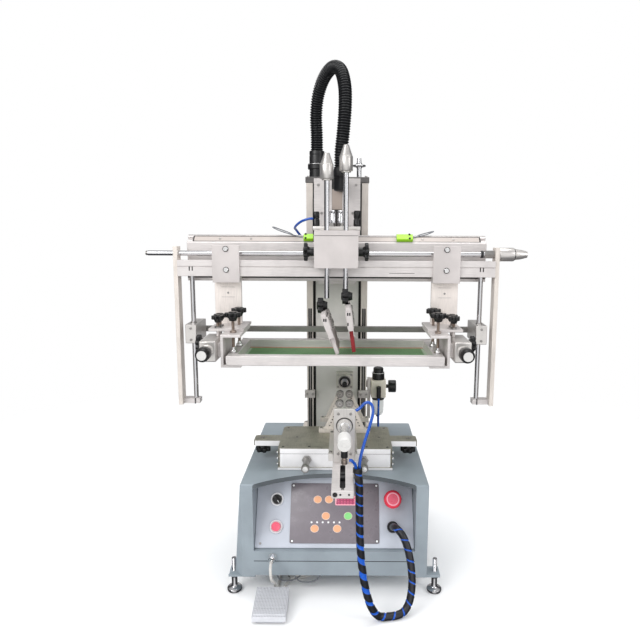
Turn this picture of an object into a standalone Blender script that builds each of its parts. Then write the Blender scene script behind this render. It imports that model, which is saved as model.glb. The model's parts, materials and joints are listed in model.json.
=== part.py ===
"""Bottle screen printing machine, a table-top machine for round bottles.

Metres, +Z up. The operator stands at -Y and +X is to the operator's right. The origin lies on the surface
that the machine stands on, under the middle of its bounding box.
"""

import math

import bmesh
import bpy
from mathutils import Euler, Matrix, Vector

# Clearances
SEAT = 0.0003
BORE_PLAY = 0.0004
OVERLAP = 0.001

# Cabinet
FRONT_Y = -0.117
CABINET_HALF = 0.205
CABINET_DEPTH = 0.408
CABINET_BOTTOM = 0.042
CABINET_TOP = 0.260
FOLD = 0.0025
STILE_WIDTH = 0.0275
LEG_WIDTH = 0.030
SKIRT_RISE = 0.006
APRON_TOP = 0.105
GROOVE_Z = 0.081
GROOVE_WIDTH = 0.0016
GROOVE_DEPTH = 0.0012
LIP_HEIGHT = 0.010
ARC_SAGITTA = 0.060
EAR_REACH = 0.030
EAR_LENGTH = 0.034
EAR_THICKNESS = 0.006
EAR_INSET = 0.003

# Operating panel, sloping back inside the front opening
PANEL_SETBACK = 0.012
PANEL_TILT = math.radians(29.0)
PANEL_THICKNESS = 0.002
PANEL_PLAY = 0.001
PANEL_LENGTH = 0.162
MEMBRANE_LENGTH = 0.129
MEMBRANE_THICKNESS = 0.0012
MEMBRANE_START = 0.0105
MEMBRANE_CORNER = 0.004
OPERATING_PANEL_HALF = CABINET_HALF - STILE_WIDTH - PANEL_PLAY
MEMBRANE_INSET = 0.0765
MEMBRANE_HALF = OPERATING_PANEL_HALF - MEMBRANE_INSET
CONTROLS_LEFT_INSET = 0.0455
CONTROLS_RIGHT_INSET = 0.0465
CONTROLS_LEFT_X = CONTROLS_LEFT_INSET - OPERATING_PANEL_HALF
CONTROLS_RIGHT_X = OPERATING_PANEL_HALF - CONTROLS_RIGHT_INSET
UPPER_CONTROLS = 0.104
LOWER_CONTROLS = 0.0455
BEZEL_RADIUS = 0.0150
BEZEL_HEIGHT = 0.003
SELECTOR_RADIUS = 0.0105
SELECTOR_HEIGHT = 0.013
BUTTON_RADIUS = 0.0100
BUTTON_HEIGHT = 0.009
STOP_RADIUS = 0.0200
STOP_HEIGHT = 0.030
STOP_COLLAR_RADIUS = 0.0150
GROMMET_RADIUS = 0.0125
GROMMET_HEIGHT = 0.010

# Levelling feet
FOOT_REACH = 0.020
FOOT_X = CABINET_HALF + FOOT_REACH
FOOT_INSET = 0.020
FOOT_RADIUS = 0.0165
FOOT_PAD_HEIGHT = 0.008
FOOT_NECK_RADIUS = 0.0065
FOOT_STUD_RADIUS = 0.005
FOOT_STUD_TOP = 0.078
FOOT_NUT_RADIUS = 0.0095
FOOT_NUT_HEIGHT = 0.008

# Work table
TABLE_HALF = 0.1315
TABLE_FRONT = FRONT_Y + 0.081
TABLE_BACK = FRONT_Y + 0.234
TABLE_TOP = 0.310
TABLE_PLATE = 0.013
TABLE_CORNER = 0.010
WING_REACH = 0.194
WING_FRONT = FRONT_Y + 0.131
WING_BACK = FRONT_Y + 0.170
WING_CORNER = 0.006
BLOCK_LIP = 0.004
BLOCK_LIP_HEIGHT = 0.006
TONGUE_HALF = 0.034
TONGUE_BACK = FRONT_Y + 0.300
WING_KNOB_X = 0.174
WING_KNOB_RADIUS = 0.0180
WING_KNOB_HEIGHT = 0.021
WING_STUD_RADIUS = 0.004
PLUNGER_X = 0.065
PLUNGER_Z = 0.284
PLUNGER_RADIUS = 0.0075
PLUNGER_LENGTH = 0.055
PLUNGER_TIP_RADIUS = 0.009
PLUNGER_TIP = 0.014

# Bottle fixture: slide, tailstock, roller stands and spindle on one axis
AXIS_X = 0.021
AXIS_Z = 0.410
ARM_X = 0.018
GUIDE_HALF = 0.0315
GUIDE_BASE = 0.003
GUIDE_HEIGHT = 0.016
GUIDE_FRONT = FRONT_Y + 0.010
GUIDE_BACK = FRONT_Y + 0.160
ARM_HALF = 0.021
ARM_FRONT = FRONT_Y - 0.174
ARM_BACK = FRONT_Y + 0.168
ARM_TOP = 0.3296
ARM_SLOT_HALF = 0.005
ARM_SLOT_DEPTH = 0.008
ARM_SLOT_BACK = FRONT_Y - 0.056
ARM_SLOT_FRONT = FRONT_Y - 0.164
TAIL_HALF = 0.022
TAIL_FRONT = FRONT_Y - 0.047
TAIL_THICKNESS = 0.010
TAIL_TOP = 0.445
TAIL_CORNER = 0.004
TAIL_FOOT = 0.032
TAIL_FOOT_HEIGHT = 0.012
TAIL_BOSS_RADIUS = 0.0155
TAIL_BOSS_LENGTH = 0.006
TAIL_BARREL_RADIUS = 0.009
TAIL_CAP_RADIUS = 0.0128
TAIL_CAP_LENGTH = 0.040
TAIL_LENGTH = 0.1097
TAIL_BORE_LENGTH = 0.097
TAIL_FITTING_RADIUS = 0.0065
TAIL_FITTING_BOTTOM = 0.368
TAIL_FITTING_FROM_FRONT = 0.016
CUP_RADIUS = 0.0165
CUP_ROD_RADIUS = 0.005
CUP_BACK = FRONT_Y + 0.026
CUP_LENGTH = 0.034
CUP_RECESS = 0.009
CUP_ROD_HELD = 0.090
STAND_FRONT_Y = FRONT_Y + 0.193
STAND_REAR_Y = FRONT_Y + 0.275
STAND_BAR_HALF = 0.063
STAND_BAR_DEPTH = 0.014
STAND_BAR_HEIGHT = 0.011
STAND_ARM_THICKNESS = 0.006
STAND_FOOT_OUT = 0.050
STAND_FOOT_IN = 0.028
STAND_SHOULDER = 0.009
STAND_HOLE_RADIUS = 0.0022
ROLLER_RADIUS = 0.0098
ROLLER_WIDTH = 0.008
ROLLER_X = 0.0120
ROLLER_Z = 0.385
ROLLER_PIN_RADIUS = 0.0032
SPINDLE_PLATE_HALF = 0.0225
SPINDLE_PLATE_FRONT = FRONT_Y + 0.315
SPINDLE_PLATE_UP = 0.019
SPINDLE_PLATE_DOWN = 0.024
SPINDLE_RING_RADIUS = 0.017
SPINDLE_RING_LENGTH = 0.018
SPINDLE_RADIUS = 0.0100
SPINDLE_NOSE_RADIUS = 0.0065
SPINDLE_NOSE = FRONT_Y + 0.270
SPINDLE_END = FRONT_Y + 0.320

# Column
COLUMN_FRONT = FRONT_Y + 0.325
COLUMN_DEPTH = 0.060
COLUMN_HALF = 0.079
COLUMN_TOP = 0.921
POST_INNER = 0.0625
PANEL_HALF = 0.056
SLOT_DEPTH = 0.018
CORE_SETBACK = 0.008
FLANGE_MARGIN = 0.014
FLANGE_HEIGHT = 0.008
TOP_PLATE_THICKNESS = 0.015
TOP_PLATE_OVERHANG = 0.002
CLAMP_INNER = 0.058
CLAMP_OUTER = 0.085
CLAMP_HEIGHT = 0.020
CLAMP_THICKNESS = 0.008
CLAMP_Z = 0.370
LIFT_WHEEL_X = 0.0555
LIFT_WHEEL_Y = FRONT_Y + 0.350
LIFT_WHEEL_RADIUS = 0.0175
LIFT_WHEEL_TOP = 0.985
LIFT_SHAFT_RADIUS = 0.006
HOSE_RADIUS = 0.016
HOSE_SOCKET_X = -0.053
HOSE_SOCKET_Y = FRONT_Y + 0.358
HOSE_SOCKET_RADIUS = 0.0195
HOSE_SOCKET_FLANGE = 0.0235
HOSE_SOCKET_TOP = 1.003
REGULATOR_X = 0.112
REGULATOR_Y = FRONT_Y + 0.347
REGULATOR_HALF = 0.020
REGULATOR_BODY_TOP = 0.405
REGULATOR_BODY_BOTTOM = 0.357
REGULATOR_BAND_RADIUS = 0.0165
REGULATOR_BAND_TOP = 0.423
REGULATOR_KNOB_RADIUS = 0.0135
REGULATOR_KNOB_TOP = 0.437
BOWL_BOTTOM = 0.300
BOWL_RADIUS = 0.0155
BOWL_FOOT_RADIUS = 0.0105
GAUGE_RADIUS = 0.0165
GAUGE_Z = 0.385
GAUGE_INNER = 0.139
GAUGE_OUTER = 0.160
REGULATOR_ELBOW_Y = FRONT_Y + 0.318
REGULATOR_ELBOW_Z = 0.385
REGULATOR_ELBOW_BOTTOM = 0.360
REGULATOR_ELBOW_RADIUS = 0.0060

# Lifting head
PLATE_FRONT = FRONT_Y + 0.295
PLATE_THICKNESS = 0.012
PLATE_HALF = 0.058
PLATE_TOP = 0.930
PLATE_NECK_Z = 0.735
PLATE_NECK_HALF = 0.048
PLATE_BOTTOM = 0.667
PLATE_GROOVE_HALF = 0.013
PLATE_GROOVE_DEPTH = 0.002
GIB_INNER = 0.0568
GIB_OUTER = 0.0618
GIB_TOP = 0.880
GIB_BOTTOM = 0.740
GIB_REACH = 0.033
BEAM_HALF = 0.366
BEAM_FRONT = FRONT_Y + 0.245
BEAM_BOTTOM = 0.679
BEAM_SHOULDER = 0.772
BEAM_TOP = 0.7905
BEAM_SLOT_HALF = 0.0045
BEAM_SLOT_DEPTH = 0.005
BEAM_RECESS_TOP = 0.742
BEAM_RECESS_BOTTOM = 0.6905
BEAM_RECESS_DEPTH = 0.004
RAIL_HALF = 0.355
RAIL_Z = 0.713
RAIL_HEIGHT = 0.015
RAIL_THICKNESS = 0.010
YOKE_HALF = 0.051
YOKE_FRONT = FRONT_Y + 0.161
YOKE_DEPTH = 0.025
YOKE_BOTTOM = 0.716
YOKE_EDGE = 0.004
BRIDGE_HALF = 0.040
BRIDGE_THICKNESS = 0.012
BRIDGE_FOOT = 0.012
YOKE_KNOB_RADIUS = 0.0215
YOKE_KNOB_THICKNESS = 0.013
YOKE_KNOB_STEM = 0.013
YOKE_KNOB_STEM_RADIUS = 0.0105
YOKE_KNOB_Z = 0.7535
STROKE_ROD_RADIUS = 0.006
STROKE_ROD_Y = FRONT_Y + 0.1735
STROKE_ROD_X = 0.022
CYLINDER_RADIUS = 0.0135
CYLINDER_X = 0.0155
CYLINDER_Y = FRONT_Y + 0.215
CYLINDER_TOP = 0.850
CYLINDER_BASE_HALF = 0.057
CYLINDER_BASE_HEIGHT = 0.009
CYLINDER_BASE_DEPTH = 0.030
FLOW_CONTROL_X = 0.0485
FLOW_CONTROL_RADIUS = 0.0068
FLOW_CONTROL_TOP = 0.838
ELBOW_X = 0.010
ELBOW_Y = FRONT_Y + 0.226
ELBOW_TOP = 0.950
ELBOW_Z = 0.912
ELBOW_RADIUS = 0.0175
ELBOW_ARM_RADIUS = 0.0135
SENSOR_X = {"left": -0.069, "right": 0.166}
SENSOR_LENGTH = {"left": 0.024, "right": 0.040}
SENSOR_WIDTH = 0.018
SENSOR_THICKNESS = 0.010

# Squeegee and flood bar: a round rod through the yoke, a cone on top and a tilted holder below
CONE_RADIUS = 0.0155
CONE_TIP_RADIUS = 0.0072
CONE_LENGTH = 0.025
CONE_BARREL = 0.026
CONE_COLLAR_RADIUS = 0.0115
CONE_COLLAR = 0.010
HOLDER_LENGTH = 0.140
HOLDER_THICKNESS = 0.0150
HOLDER_CREST = 0.008
JAW_THICKNESS = 0.0115
BLADE_LENGTH = 0.132
BLADE_THICKNESS = 0.0085
BLADE_HELD = 0.012
TILT_KNOB_RADIUS = 0.0192
TILT_KNOB_WIDTH = 0.026
SQUEEGEE = {
    "rod_x": STROKE_ROD_X, "top": 0.994, "rod_bottom": 0.650, "pivot": (0.0248, 0.650), "tilt": math.radians(8.0),
    "clamp": (0.018, 0.068), "jaw": 0.084, "tip_z": 0.530, "knob": (0.0114, 0.0382),
}
FLOOD = {
    "rod_x": -STROKE_ROD_X, "top": 0.976, "rod_bottom": 0.626, "pivot": (-0.0330, 0.628), "tilt": math.radians(20.0),
    "clamp": (0.012, 0.053), "jaw": 0.083, "tip_z": 0.525, "knob": (-0.0460, -0.0203),
}

# Screen carriage
BAR_FRONT = FRONT_Y + 0.191
BAR_THICKNESS = 0.015
BAR_TOP = 0.732
BAR_BOTTOM = 0.694
BAR_GROOVE_Z = 0.7165
BAR_GROOVE = 0.002
END_BAR_INNER = 0.3765
END_BAR_THICKNESS = 0.010
END_BAR_FRONT = FRONT_Y + 0.196
END_BAR_DEPTH = 0.030
END_BAR_TOP = 0.7635
END_BAR_BOTTOM = 0.377
DRIVE_ROD_RADIUS = 0.006
DRIVE_ROD_Y = FRONT_Y + 0.211
DRIVE_ROD_Z = 0.7475
DRIVE_ROD_HALF = 0.455
DRIVE_NUT_RADIUS = 0.0162
DRIVE_NUT_END = 0.4228
DRIVE_TIP_RADIUS = 0.0080
DRIVE_COLLAR_RADIUS = 0.0105
DRIVE_COLLAR_INNER = 0.353
GUIDE_ROD_RADIUS = 0.0056
GUIDE_ROD_X = 0.349
GUIDE_ROD_Y = FRONT_Y + 0.221
GUIDE_ROD_TOP = 0.725
BRACKET_HEIGHT = 0.012
BRACKET_HALF_DEPTH = 0.012
BRACKET_INNER = 0.338
BEARING_X = 0.110
BEARING_HALF = 0.022
BEARING_HALF_HEIGHT = 0.016
BEARING_BACK = FRONT_Y + 0.244
RAIL_PLAY = 0.0005
SLIDER_HALF = 0.0135
SLIDER_TOP = 0.578
SLIDER_BOTTOM = 0.532
SLIDER_FRONT = FRONT_Y + 0.190
SLIDER_BACK = FRONT_Y + 0.288
CROSS_BAR_HALF = 0.3625
CROSS_BAR_BOTTOM = 0.544
CROSS_BAR_TOP = 0.558
CROSS_BAR_THICKNESS = 0.012
HANGER_X = 0.2600
HANGER_HALF = 0.032
HANGER_PLATE_TOP = 0.767
HANGER_PLATE_BOTTOM = 0.680
HANGER_PLATE = 0.006
HANGER_ARM_TOP = 0.728
HANGER_ARM = 0.008
HANGER_FOOT = 0.006
HANGER_FOOT_FRONT = FRONT_Y + 0.128
HANGER_FOOT_BACK = FRONT_Y + 0.238
HANGER_FOOT_INNER = 0.2110
HANGER_BOLT_X = 0.272
HANGER_BOLT_YS = (FRONT_Y + 0.138, FRONT_Y + 0.164)
HANGER_KNOB_RADIUS = 0.0115
HANGER_KNOB_HEIGHT = 0.017
HANGER_KNOB_Z = 0.593
CHANNEL_OUTER = 0.2553
CHANNEL_WEB = 0.006
CHANNEL_WIDTH = 0.0445
CHANNEL_TOP = 0.573
CHANNEL_BOTTOM = 0.499
CHANNEL_FLANGE = 0.006
CHANNEL_FRONT = FRONT_Y + 0.081
CHANNEL_BACK = FRONT_Y + 0.221
CLAMP_SCREW_X = 0.2320
CLAMP_SCREW_YS = (FRONT_Y + 0.112, FRONT_Y + 0.187)
CLAMP_SCREW_RADIUS = 0.0036
CLAMP_PAD_RADIUS = 0.0080
CLAMP_PAD_HEIGHT = 0.006
CLAMP_KNOB_Z = 0.602
CLAMP_KNOB_RADIUS = 0.0150
CLAMP_KNOB_HEIGHT = 0.020
ADJUSTER_INNER = 0.264
ADJUSTER_OUTER = 0.302
ADJUSTER_BOTTOM = 0.513
ADJUSTER_TOP = 0.560
ADJUSTER_FRONT = FRONT_Y + 0.075
ADJUSTER_BACK = FRONT_Y + 0.172
ADJUSTER_NECK_HALF = 0.030
ADJUSTER_Z = 0.539
ADJUSTER_SHAFT_RADIUS = 0.0115
ADJUSTER_KNOB_FRONT = FRONT_Y + 0.020
ADJUSTER_KNOB_RADIUS = 0.0155
ADJUSTER_KNOB_LENGTH = 0.030
LOCK_KNOB_Y = FRONT_Y + 0.147
LOCK_KNOB_Z = 0.543
LOCK_KNOB_STEM = 0.007
LOCK_KNOB_RADIUS = 0.0190
LOCK_KNOB_HEIGHT = 0.018

# Screen
SCREEN_HALF = 0.2425
SCREEN_FRONT = FRONT_Y + 0.071
SCREEN_DEPTH = 0.217
SCREEN_BAR = 0.022
SCREEN_BOTTOM = 0.5055
SCREEN_HEIGHT = 0.022
MESH_THICKNESS = 0.0012

# Foot pedal
PEDAL_X = -0.133
PEDAL_FRONT = FRONT_Y - 0.100
PEDAL_WIDTH = 0.070
PEDAL_DEPTH = 0.080
PEDAL_FRONT_TOP = 0.019
PEDAL_BACK_TOP = 0.033
PEDAL_SKIRT = 0.007
PEDAL_WALL = 0.002
PEDAL_RIBS = 9
PEDAL_RIB = 0.0012
PEDAL_RIB_WIDTH = 0.003
PEDAL_BASE = 0.004
PEDAL_BASE_MARGIN = 0.0075
PEDAL_PIN_INSET = 0.012
PEDAL_PIN_Z = 0.018
PEDAL_PIN_RADIUS = 0.0022
PEDAL_LUG_X = 0.023
PEDAL_LUG_WIDTH = 0.005
PEDAL_LUG_RADIUS = 0.0048
PEDAL_GLAND_X = -0.124
PEDAL_GLAND_HALF = 0.006
PEDAL_GLAND_HEIGHT = 0.010

# Leads and tubes
BUNDLE_RADIUS = 0.008
AIR_TUBE_RADIUS = 0.003
PEDAL_CORD_RADIUS = 0.003
SOCKET_X = -0.1355
SOCKET_Z = 0.094
SOCKET_RADIUS = 0.0078
SOCKET_LENGTH = 0.026
COIL_X = -0.085
COIL_Y = FRONT_Y + 0.100
COIL_RADIUS = 0.036
COIL_HALF_WIDTH = 0.0065
COIL_HEIGHT = 0.019

AIR_BUNDLE_ROUTE = [
    (0.1300, -0.0955, 0.1517), (0.1302, -0.1120, 0.1607), (0.1355, -0.1290, 0.1660), (0.1460, -0.1425, 0.1590),
    (0.1555, -0.1530, 0.1390), (0.1625, -0.1660, 0.1080), (0.1650, -0.1765, 0.0700), (0.1600, -0.1850, 0.0360),
    (0.1480, -0.1915, 0.0150), (0.1310, -0.1960, 0.0088), (0.1120, -0.2000, 0.0088), (0.0930, -0.2050, 0.0140),
    (0.0770, -0.2110, 0.0400), (0.0640, -0.2170, 0.0900), (0.0560, -0.2230, 0.1500), (0.0525, -0.2290, 0.2100),
    (0.0510, -0.2350, 0.2650), (0.0500, -0.2400, 0.3150), (0.0470, -0.2430, 0.3500),
]
AIR_LOOP_ROUTE = [
    (0.0503, -0.2410, 0.3519), (0.0502, -0.2408, 0.3600), (0.0530, -0.2335, 0.3740), (0.0610, -0.2140, 0.3960),
    (0.0710, -0.1900, 0.4180), (0.0780, -0.1720, 0.4370), (0.0775, -0.1635, 0.4510), (0.0710, -0.1605, 0.4580),
    (0.0620, -0.1595, 0.4560), (0.0525, -0.1590, 0.4460), (0.0444, -0.1590, 0.4405),
]
CYLINDER_TUBE_ROUTE = [
    (0.0434, -0.2449, 0.3509), (0.0428, -0.2460, 0.3570), (0.0408, -0.2495, 0.3640), (0.0375, -0.2540, 0.3700),
    (0.0345, -0.2574, 0.3744), (0.0299, -0.2580, 0.3750),
]
REGULATOR_TUBE_ROUTE = [
    (0.1120, 0.2010, 0.3595), (0.1119, 0.2008, 0.3450), (0.1115, 0.2003, 0.3250), (0.1113, 0.2002, 0.3050),
    (0.1116, 0.2006, 0.2850), (0.1120, 0.2010, 0.2606),
]
PEDAL_CORD_ROUTE = [
    (-0.1355, -0.1438, 0.0940), (-0.1355, -0.1530, 0.0940), (-0.1352, -0.1625, 0.0905), (-0.1343, -0.1655, 0.0805),
    (-0.1335, -0.1620, 0.0685), (-0.1325, -0.1530, 0.0570), (-0.1315, -0.1420, 0.0475), (-0.1305, -0.1315, 0.0380),
    (-0.1300, -0.1245, 0.0275), (-0.1298, -0.1185, 0.0170), (-0.1297, -0.1110, 0.0080), (-0.1293, -0.1015, 0.0036),
    (-0.1288, -0.0900, 0.0032), (-0.1280, -0.0760, 0.0032), (-0.1262, -0.0640, 0.0032), (-0.1215, -0.0528, 0.0032),
    (-0.1157, -0.0468, 0.0032),
]
PEDAL_LEAD_ROUTE = [
    (-0.1043, -0.0552, 0.0032), (-0.1100, -0.0670, 0.0032), (-0.1132, -0.0800, 0.0032), (-0.1145, -0.0950, 0.0032),
    (-0.1165, -0.1080, 0.0032), (-0.1205, -0.1190, 0.0032), (-0.1236, -0.1280, 0.0032), (-0.1240, -0.1360, 0.0032),
    (-0.1240, -0.1442, 0.0032),
]
HOSE_ROUTE = [
    (-0.0530, 0.2410, 1.0040), (-0.0532, 0.2411, 1.0400), (-0.0545, 0.2380, 1.0900), (-0.0490, 0.2270, 1.1350),
    (-0.0340, 0.2060, 1.1720), (-0.0120, 0.1760, 1.1900), (0.0080, 0.1450, 1.1760), (0.0180, 0.1240, 1.1350),
    (0.0190, 0.1140, 1.0850), (0.0150, 0.1100, 1.0300), (0.0102, 0.1090, 0.9850), (0.0100, 0.1090, 0.9510),
]
HEAD_TUBE_ROUTE = [
    (-0.0556, 0.0980, 0.8300), (-0.0660, 0.0985, 0.8295), (-0.0830, 0.1060, 0.8240), (-0.0970, 0.1240, 0.8150),
    (-0.1035, 0.1480, 0.8080), (-0.1025, 0.1680, 0.8040), (-0.0955, 0.1830, 0.7930), (-0.0845, 0.1850, 0.7790),
    (-0.0725, 0.1845, 0.7675), (-0.0598, 0.1840, 0.7640),
]

FINISHES = {
    "cabinet_paint": ((0.150, 0.190, 0.225), 0.40, 0.0),
    "panel_paint": ((0.420, 0.450, 0.520), 0.45, 0.0),
    "membrane": ((0.150, 0.125, 0.135), 0.45, 0.0),
    "white_metal": ((0.750, 0.750, 0.740), 0.35, 0.6),
    "aluminium": ((0.620, 0.620, 0.610), 0.35, 0.9),
    "khaki_plate": ((0.300, 0.290, 0.250), 0.45, 0.7),
    "chrome": ((0.700, 0.700, 0.710), 0.12, 1.0),
    "beige_metal": ((0.600, 0.540, 0.470), 0.40, 0.5),
    "grey_green": ((0.560, 0.590, 0.540), 0.50, 0.2),
    "black_plastic": ((0.015, 0.015, 0.017), 0.40, 0.0),
    "red_plastic": ((0.700, 0.030, 0.050), 0.35, 0.0),
    "pink_plastic": ((0.850, 0.250, 0.300), 0.35, 0.0),
    "green_plastic": ((0.300, 0.650, 0.020), 0.40, 0.0),
    "blue_tube": ((0.010, 0.110, 0.650), 0.30, 0.0),
    "squeegee_rubber": ((0.280, 0.020, 0.030), 0.50, 0.0),
    "screen_green": ((0.090, 0.330, 0.120), 0.45, 0.0),
    "grey_plastic": ((0.700, 0.700, 0.710), 0.45, 0.0),
}

BODY_PLACES = {
    "head": (0.0, PLATE_FRONT, PLATE_BOTTOM),
    "carriage": (0.0, BAR_FRONT, RAIL_Z),
    "squeegee": (STROKE_ROD_X, STROKE_ROD_Y, YOKE_BOTTOM),
    "flood": (-STROKE_ROD_X, STROKE_ROD_Y, YOKE_BOTTOM),
    "cup": (AXIS_X, TAIL_FRONT, AXIS_Z),
    "spindle": (AXIS_X, SPINDLE_PLATE_FRONT, AXIS_Z),
    "treadle": (PEDAL_X, PEDAL_FRONT + PEDAL_DEPTH - PEDAL_PIN_INSET, PEDAL_PIN_Z),
}
BODY_PARENTS = {"carriage": "head", "squeegee": "head", "flood": "head"}

SIDES = (("left", -1), ("right", 1))
LEVEL = (0.0, 0.0, 0.0)
FACING_FRONT = (math.radians(90), 0.0, 0.0)
FACING_BACK = (math.radians(-90), 0.0, 0.0)
UPSIDE_DOWN = (math.radians(180), 0.0, 0.0)
ALONG_X = (math.radians(90), 0.0, math.radians(90))


def clear_scene():
    for old in list(bpy.data.objects):
        bpy.data.objects.remove(old, do_unlink=True)


def make_collection(name):
    collection = bpy.data.collections.new(name)
    bpy.context.scene.collection.children.link(collection)
    return collection


def make_finishes():
    for name, (colour, roughness, metallic) in FINISHES.items():
        material = bpy.data.materials.new(name)
        material.use_nodes = True
        shader = material.node_tree.nodes["Principled BSDF"]
        shader.inputs["Base Color"].default_value = (*colour, 1.0)
        shader.inputs["Roughness"].default_value = roughness
        shader.inputs["Metallic"].default_value = metallic
        material.diffuse_color = (*colour, 1.0)


def make_axes():
    """An empty at each moving body's joint, so that turning or sliding it moves the body."""
    for name, position in BODY_PLACES.items():
        empty = bpy.data.objects.new(name + "_axis", None)
        parts_collection.objects.link(empty)
        parent = BODY_PARENTS.get(name)
        empty.location = position
        if parent:
            empty.parent = bpy.data.objects[parent + "_axis"]
            empty.location = Vector(position) - Vector(BODY_PLACES[parent])


def place(mesh, name, finish, at, turn=LEVEL, body="root"):
    """An object of the assembly, its origin at the world point given and its parent the body's empty."""
    made = bpy.data.objects.new(name, mesh)
    parts_collection.objects.link(made)
    mesh.materials.clear()
    mesh.materials.append(bpy.data.materials[finish])
    made.rotation_euler = turn
    made.location = at
    if body != "root":
        made.parent = bpy.data.objects[body + "_axis"]
        made.location = Vector(at) - Vector(BODY_PLACES[body])
    return made


def helper(made):
    """Turns an object into a tool of a Boolean, which is not a piece of the machine."""
    parts_collection.objects.unlink(made)
    tools_collection.objects.link(made)
    made.name = "tool_" + made.name
    made.hide_render = True
    made.display_type = "WIRE"
    return made


def boolean(target, tools, operation):
    for tool in tools:
        modifier = target.modifiers.new(operation.lower(), "BOOLEAN")
        modifier.operation = operation
        modifier.object = helper(tool)
    return target


def join(target, *tools):
    return boolean(target, tools, "UNION")


def cut(target, *tools):
    return boolean(target, tools, "DIFFERENCE")


def soften(made, width, segments=1, angle=50.0):
    modifier = made.modifiers.new("edges", "BEVEL")
    modifier.width = width
    modifier.segments = segments
    modifier.limit_method = "ANGLE"
    modifier.angle_limit = math.radians(angle)
    return made


def block(name, x, y, z, finish="aluminium", body="root", edge=0.0, turn=LEVEL):
    """A box between the low and high values of x, y and z, before it is turned about its middle."""
    size = Vector((x[1] - x[0], y[1] - y[0], z[1] - z[0]))
    middle = Vector((x[0] + x[1], y[0] + y[1], z[0] + z[1])) / 2
    made = bmesh.new()
    bmesh.ops.create_cube(made, size=1.0, matrix=Matrix.Diagonal((*size, 1.0)))
    mesh = bpy.data.meshes.new(name)
    made.to_mesh(mesh)
    made.free()
    piece = place(mesh, name, finish, middle, turn, body)
    if edge:
        soften(piece, edge)
    return piece


def rod(name, start, end, radius, finish="chrome", body="root", end_radius=None, sides=20):
    """A round bar from one point to another, a cone where the second radius differs."""
    start, end = Vector(start), Vector(end)
    run = end - start
    made = bmesh.new()
    bmesh.ops.create_cone(
        made, cap_ends=True, segments=sides, radius1=radius,
        radius2=radius if end_radius is None else end_radius, depth=run.length,
    )
    mesh = bpy.data.meshes.new(name)
    made.to_mesh(mesh)
    made.free()
    mesh.shade_smooth()
    mesh.set_sharp_from_angle(angle=math.radians(40))
    turn = run.to_track_quat("Z", "Y").to_euler()
    return place(mesh, name, finish, (start + end) / 2, turn, body)


def turned(name, profile, at, finish="chrome", body="root", turn=LEVEL, steps=20):
    """A turned shape: (radius, height) points from the top of the axis down the outside, and back to the axis."""
    mesh = bpy.data.meshes.new(name)
    made = bmesh.new()
    points = [made.verts.new((radius, 0.0, height)) for radius, height in profile]
    for first, second in zip(points, points[1:]):
        made.edges.new((first, second))
    if profile[0][0] > 0:
        made.edges.new((points[-1], points[0]))
    made.to_mesh(mesh)
    made.free()
    piece = place(mesh, name, finish, at, turn, body)
    screw = piece.modifiers.new("turning", "SCREW")
    screw.steps = steps
    screw.render_steps = steps
    screw.use_merge_vertices = True
    screw.merge_threshold = 0.00001
    screw.use_smooth_shade = True
    return piece


def plate(name, outline, thickness, at, finish="aluminium", body="root", turn=LEVEL):
    """A flat piece from its outline in its own XY plane, with its thickness centred on that plane."""
    curve = bpy.data.curves.new(name, "CURVE")
    curve.dimensions = "2D"
    curve.fill_mode = "BOTH"
    curve.extrude = thickness / 2
    spline = curve.splines.new("POLY")
    spline.points.add(len(outline) - 1)
    for point, (across, up) in zip(spline.points, outline):
        point.co = (across, up, 0.0, 1.0)
    spline.use_cyclic_u = True
    return meshed(curve, name, finish, at, turn, body)


def extruded_x(name, outline, x, finish="aluminium", body="root"):
    """A bar along X with the section given as (y, z) points in the world."""
    return plate(name, outline, x[1] - x[0], ((x[0] + x[1]) / 2, 0.0, 0.0), finish, body, ALONG_X)


def upright(name, outline, y, finish="aluminium", body="root"):
    """A plate that faces the operator, with its outline given as (x, z) points in the world."""
    return plate(name, outline, y[1] - y[0], (0.0, (y[0] + y[1]) / 2, 0.0), finish, body, FACING_FRONT)


def flat(name, outline, z, finish="aluminium", body="root"):
    """A level plate with its outline given as (x, y) points in the world."""
    return plate(name, outline, z[1] - z[0], (0.0, 0.0, (z[0] + z[1]) / 2), finish, body)


def tube(name, route, radius, finish, body="root", ring=2, spacing=2.5):
    """A round bar along a smooth curve through the route's points, sampled every few diameters."""
    curve = bpy.data.curves.new(name, "CURVE")
    curve.dimensions = "3D"
    curve.bevel_depth = radius
    curve.bevel_resolution = ring
    curve.use_fill_caps = True
    points = smooth_route(route, spacing * 2 * radius)
    spline = curve.splines.new("POLY")
    spline.points.add(len(points) - 1)
    for point, where in zip(spline.points, points):
        point.co = (*where, 1.0)
    return meshed(curve, name, finish, (0.0, 0.0, 0.0), LEVEL, body)


def meshed(curve, name, finish, at, turn, body):
    """The curve made a mesh with its caps welded on."""
    guide = bpy.data.objects.new(name + "_curve", curve)
    parts_collection.objects.link(guide)
    bpy.context.view_layer.update()
    graph = bpy.context.evaluated_depsgraph_get()
    mesh = bpy.data.meshes.new_from_object(guide.evaluated_get(graph))
    bpy.data.objects.remove(guide, do_unlink=True)
    made = bmesh.new()
    made.from_mesh(mesh)
    bmesh.ops.remove_doubles(made, verts=made.verts, dist=0.00001)
    bmesh.ops.recalc_face_normals(made, faces=made.faces)
    made.to_mesh(mesh)
    made.free()
    mesh.name = name
    return place(mesh, name, finish, at, turn, body)


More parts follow.
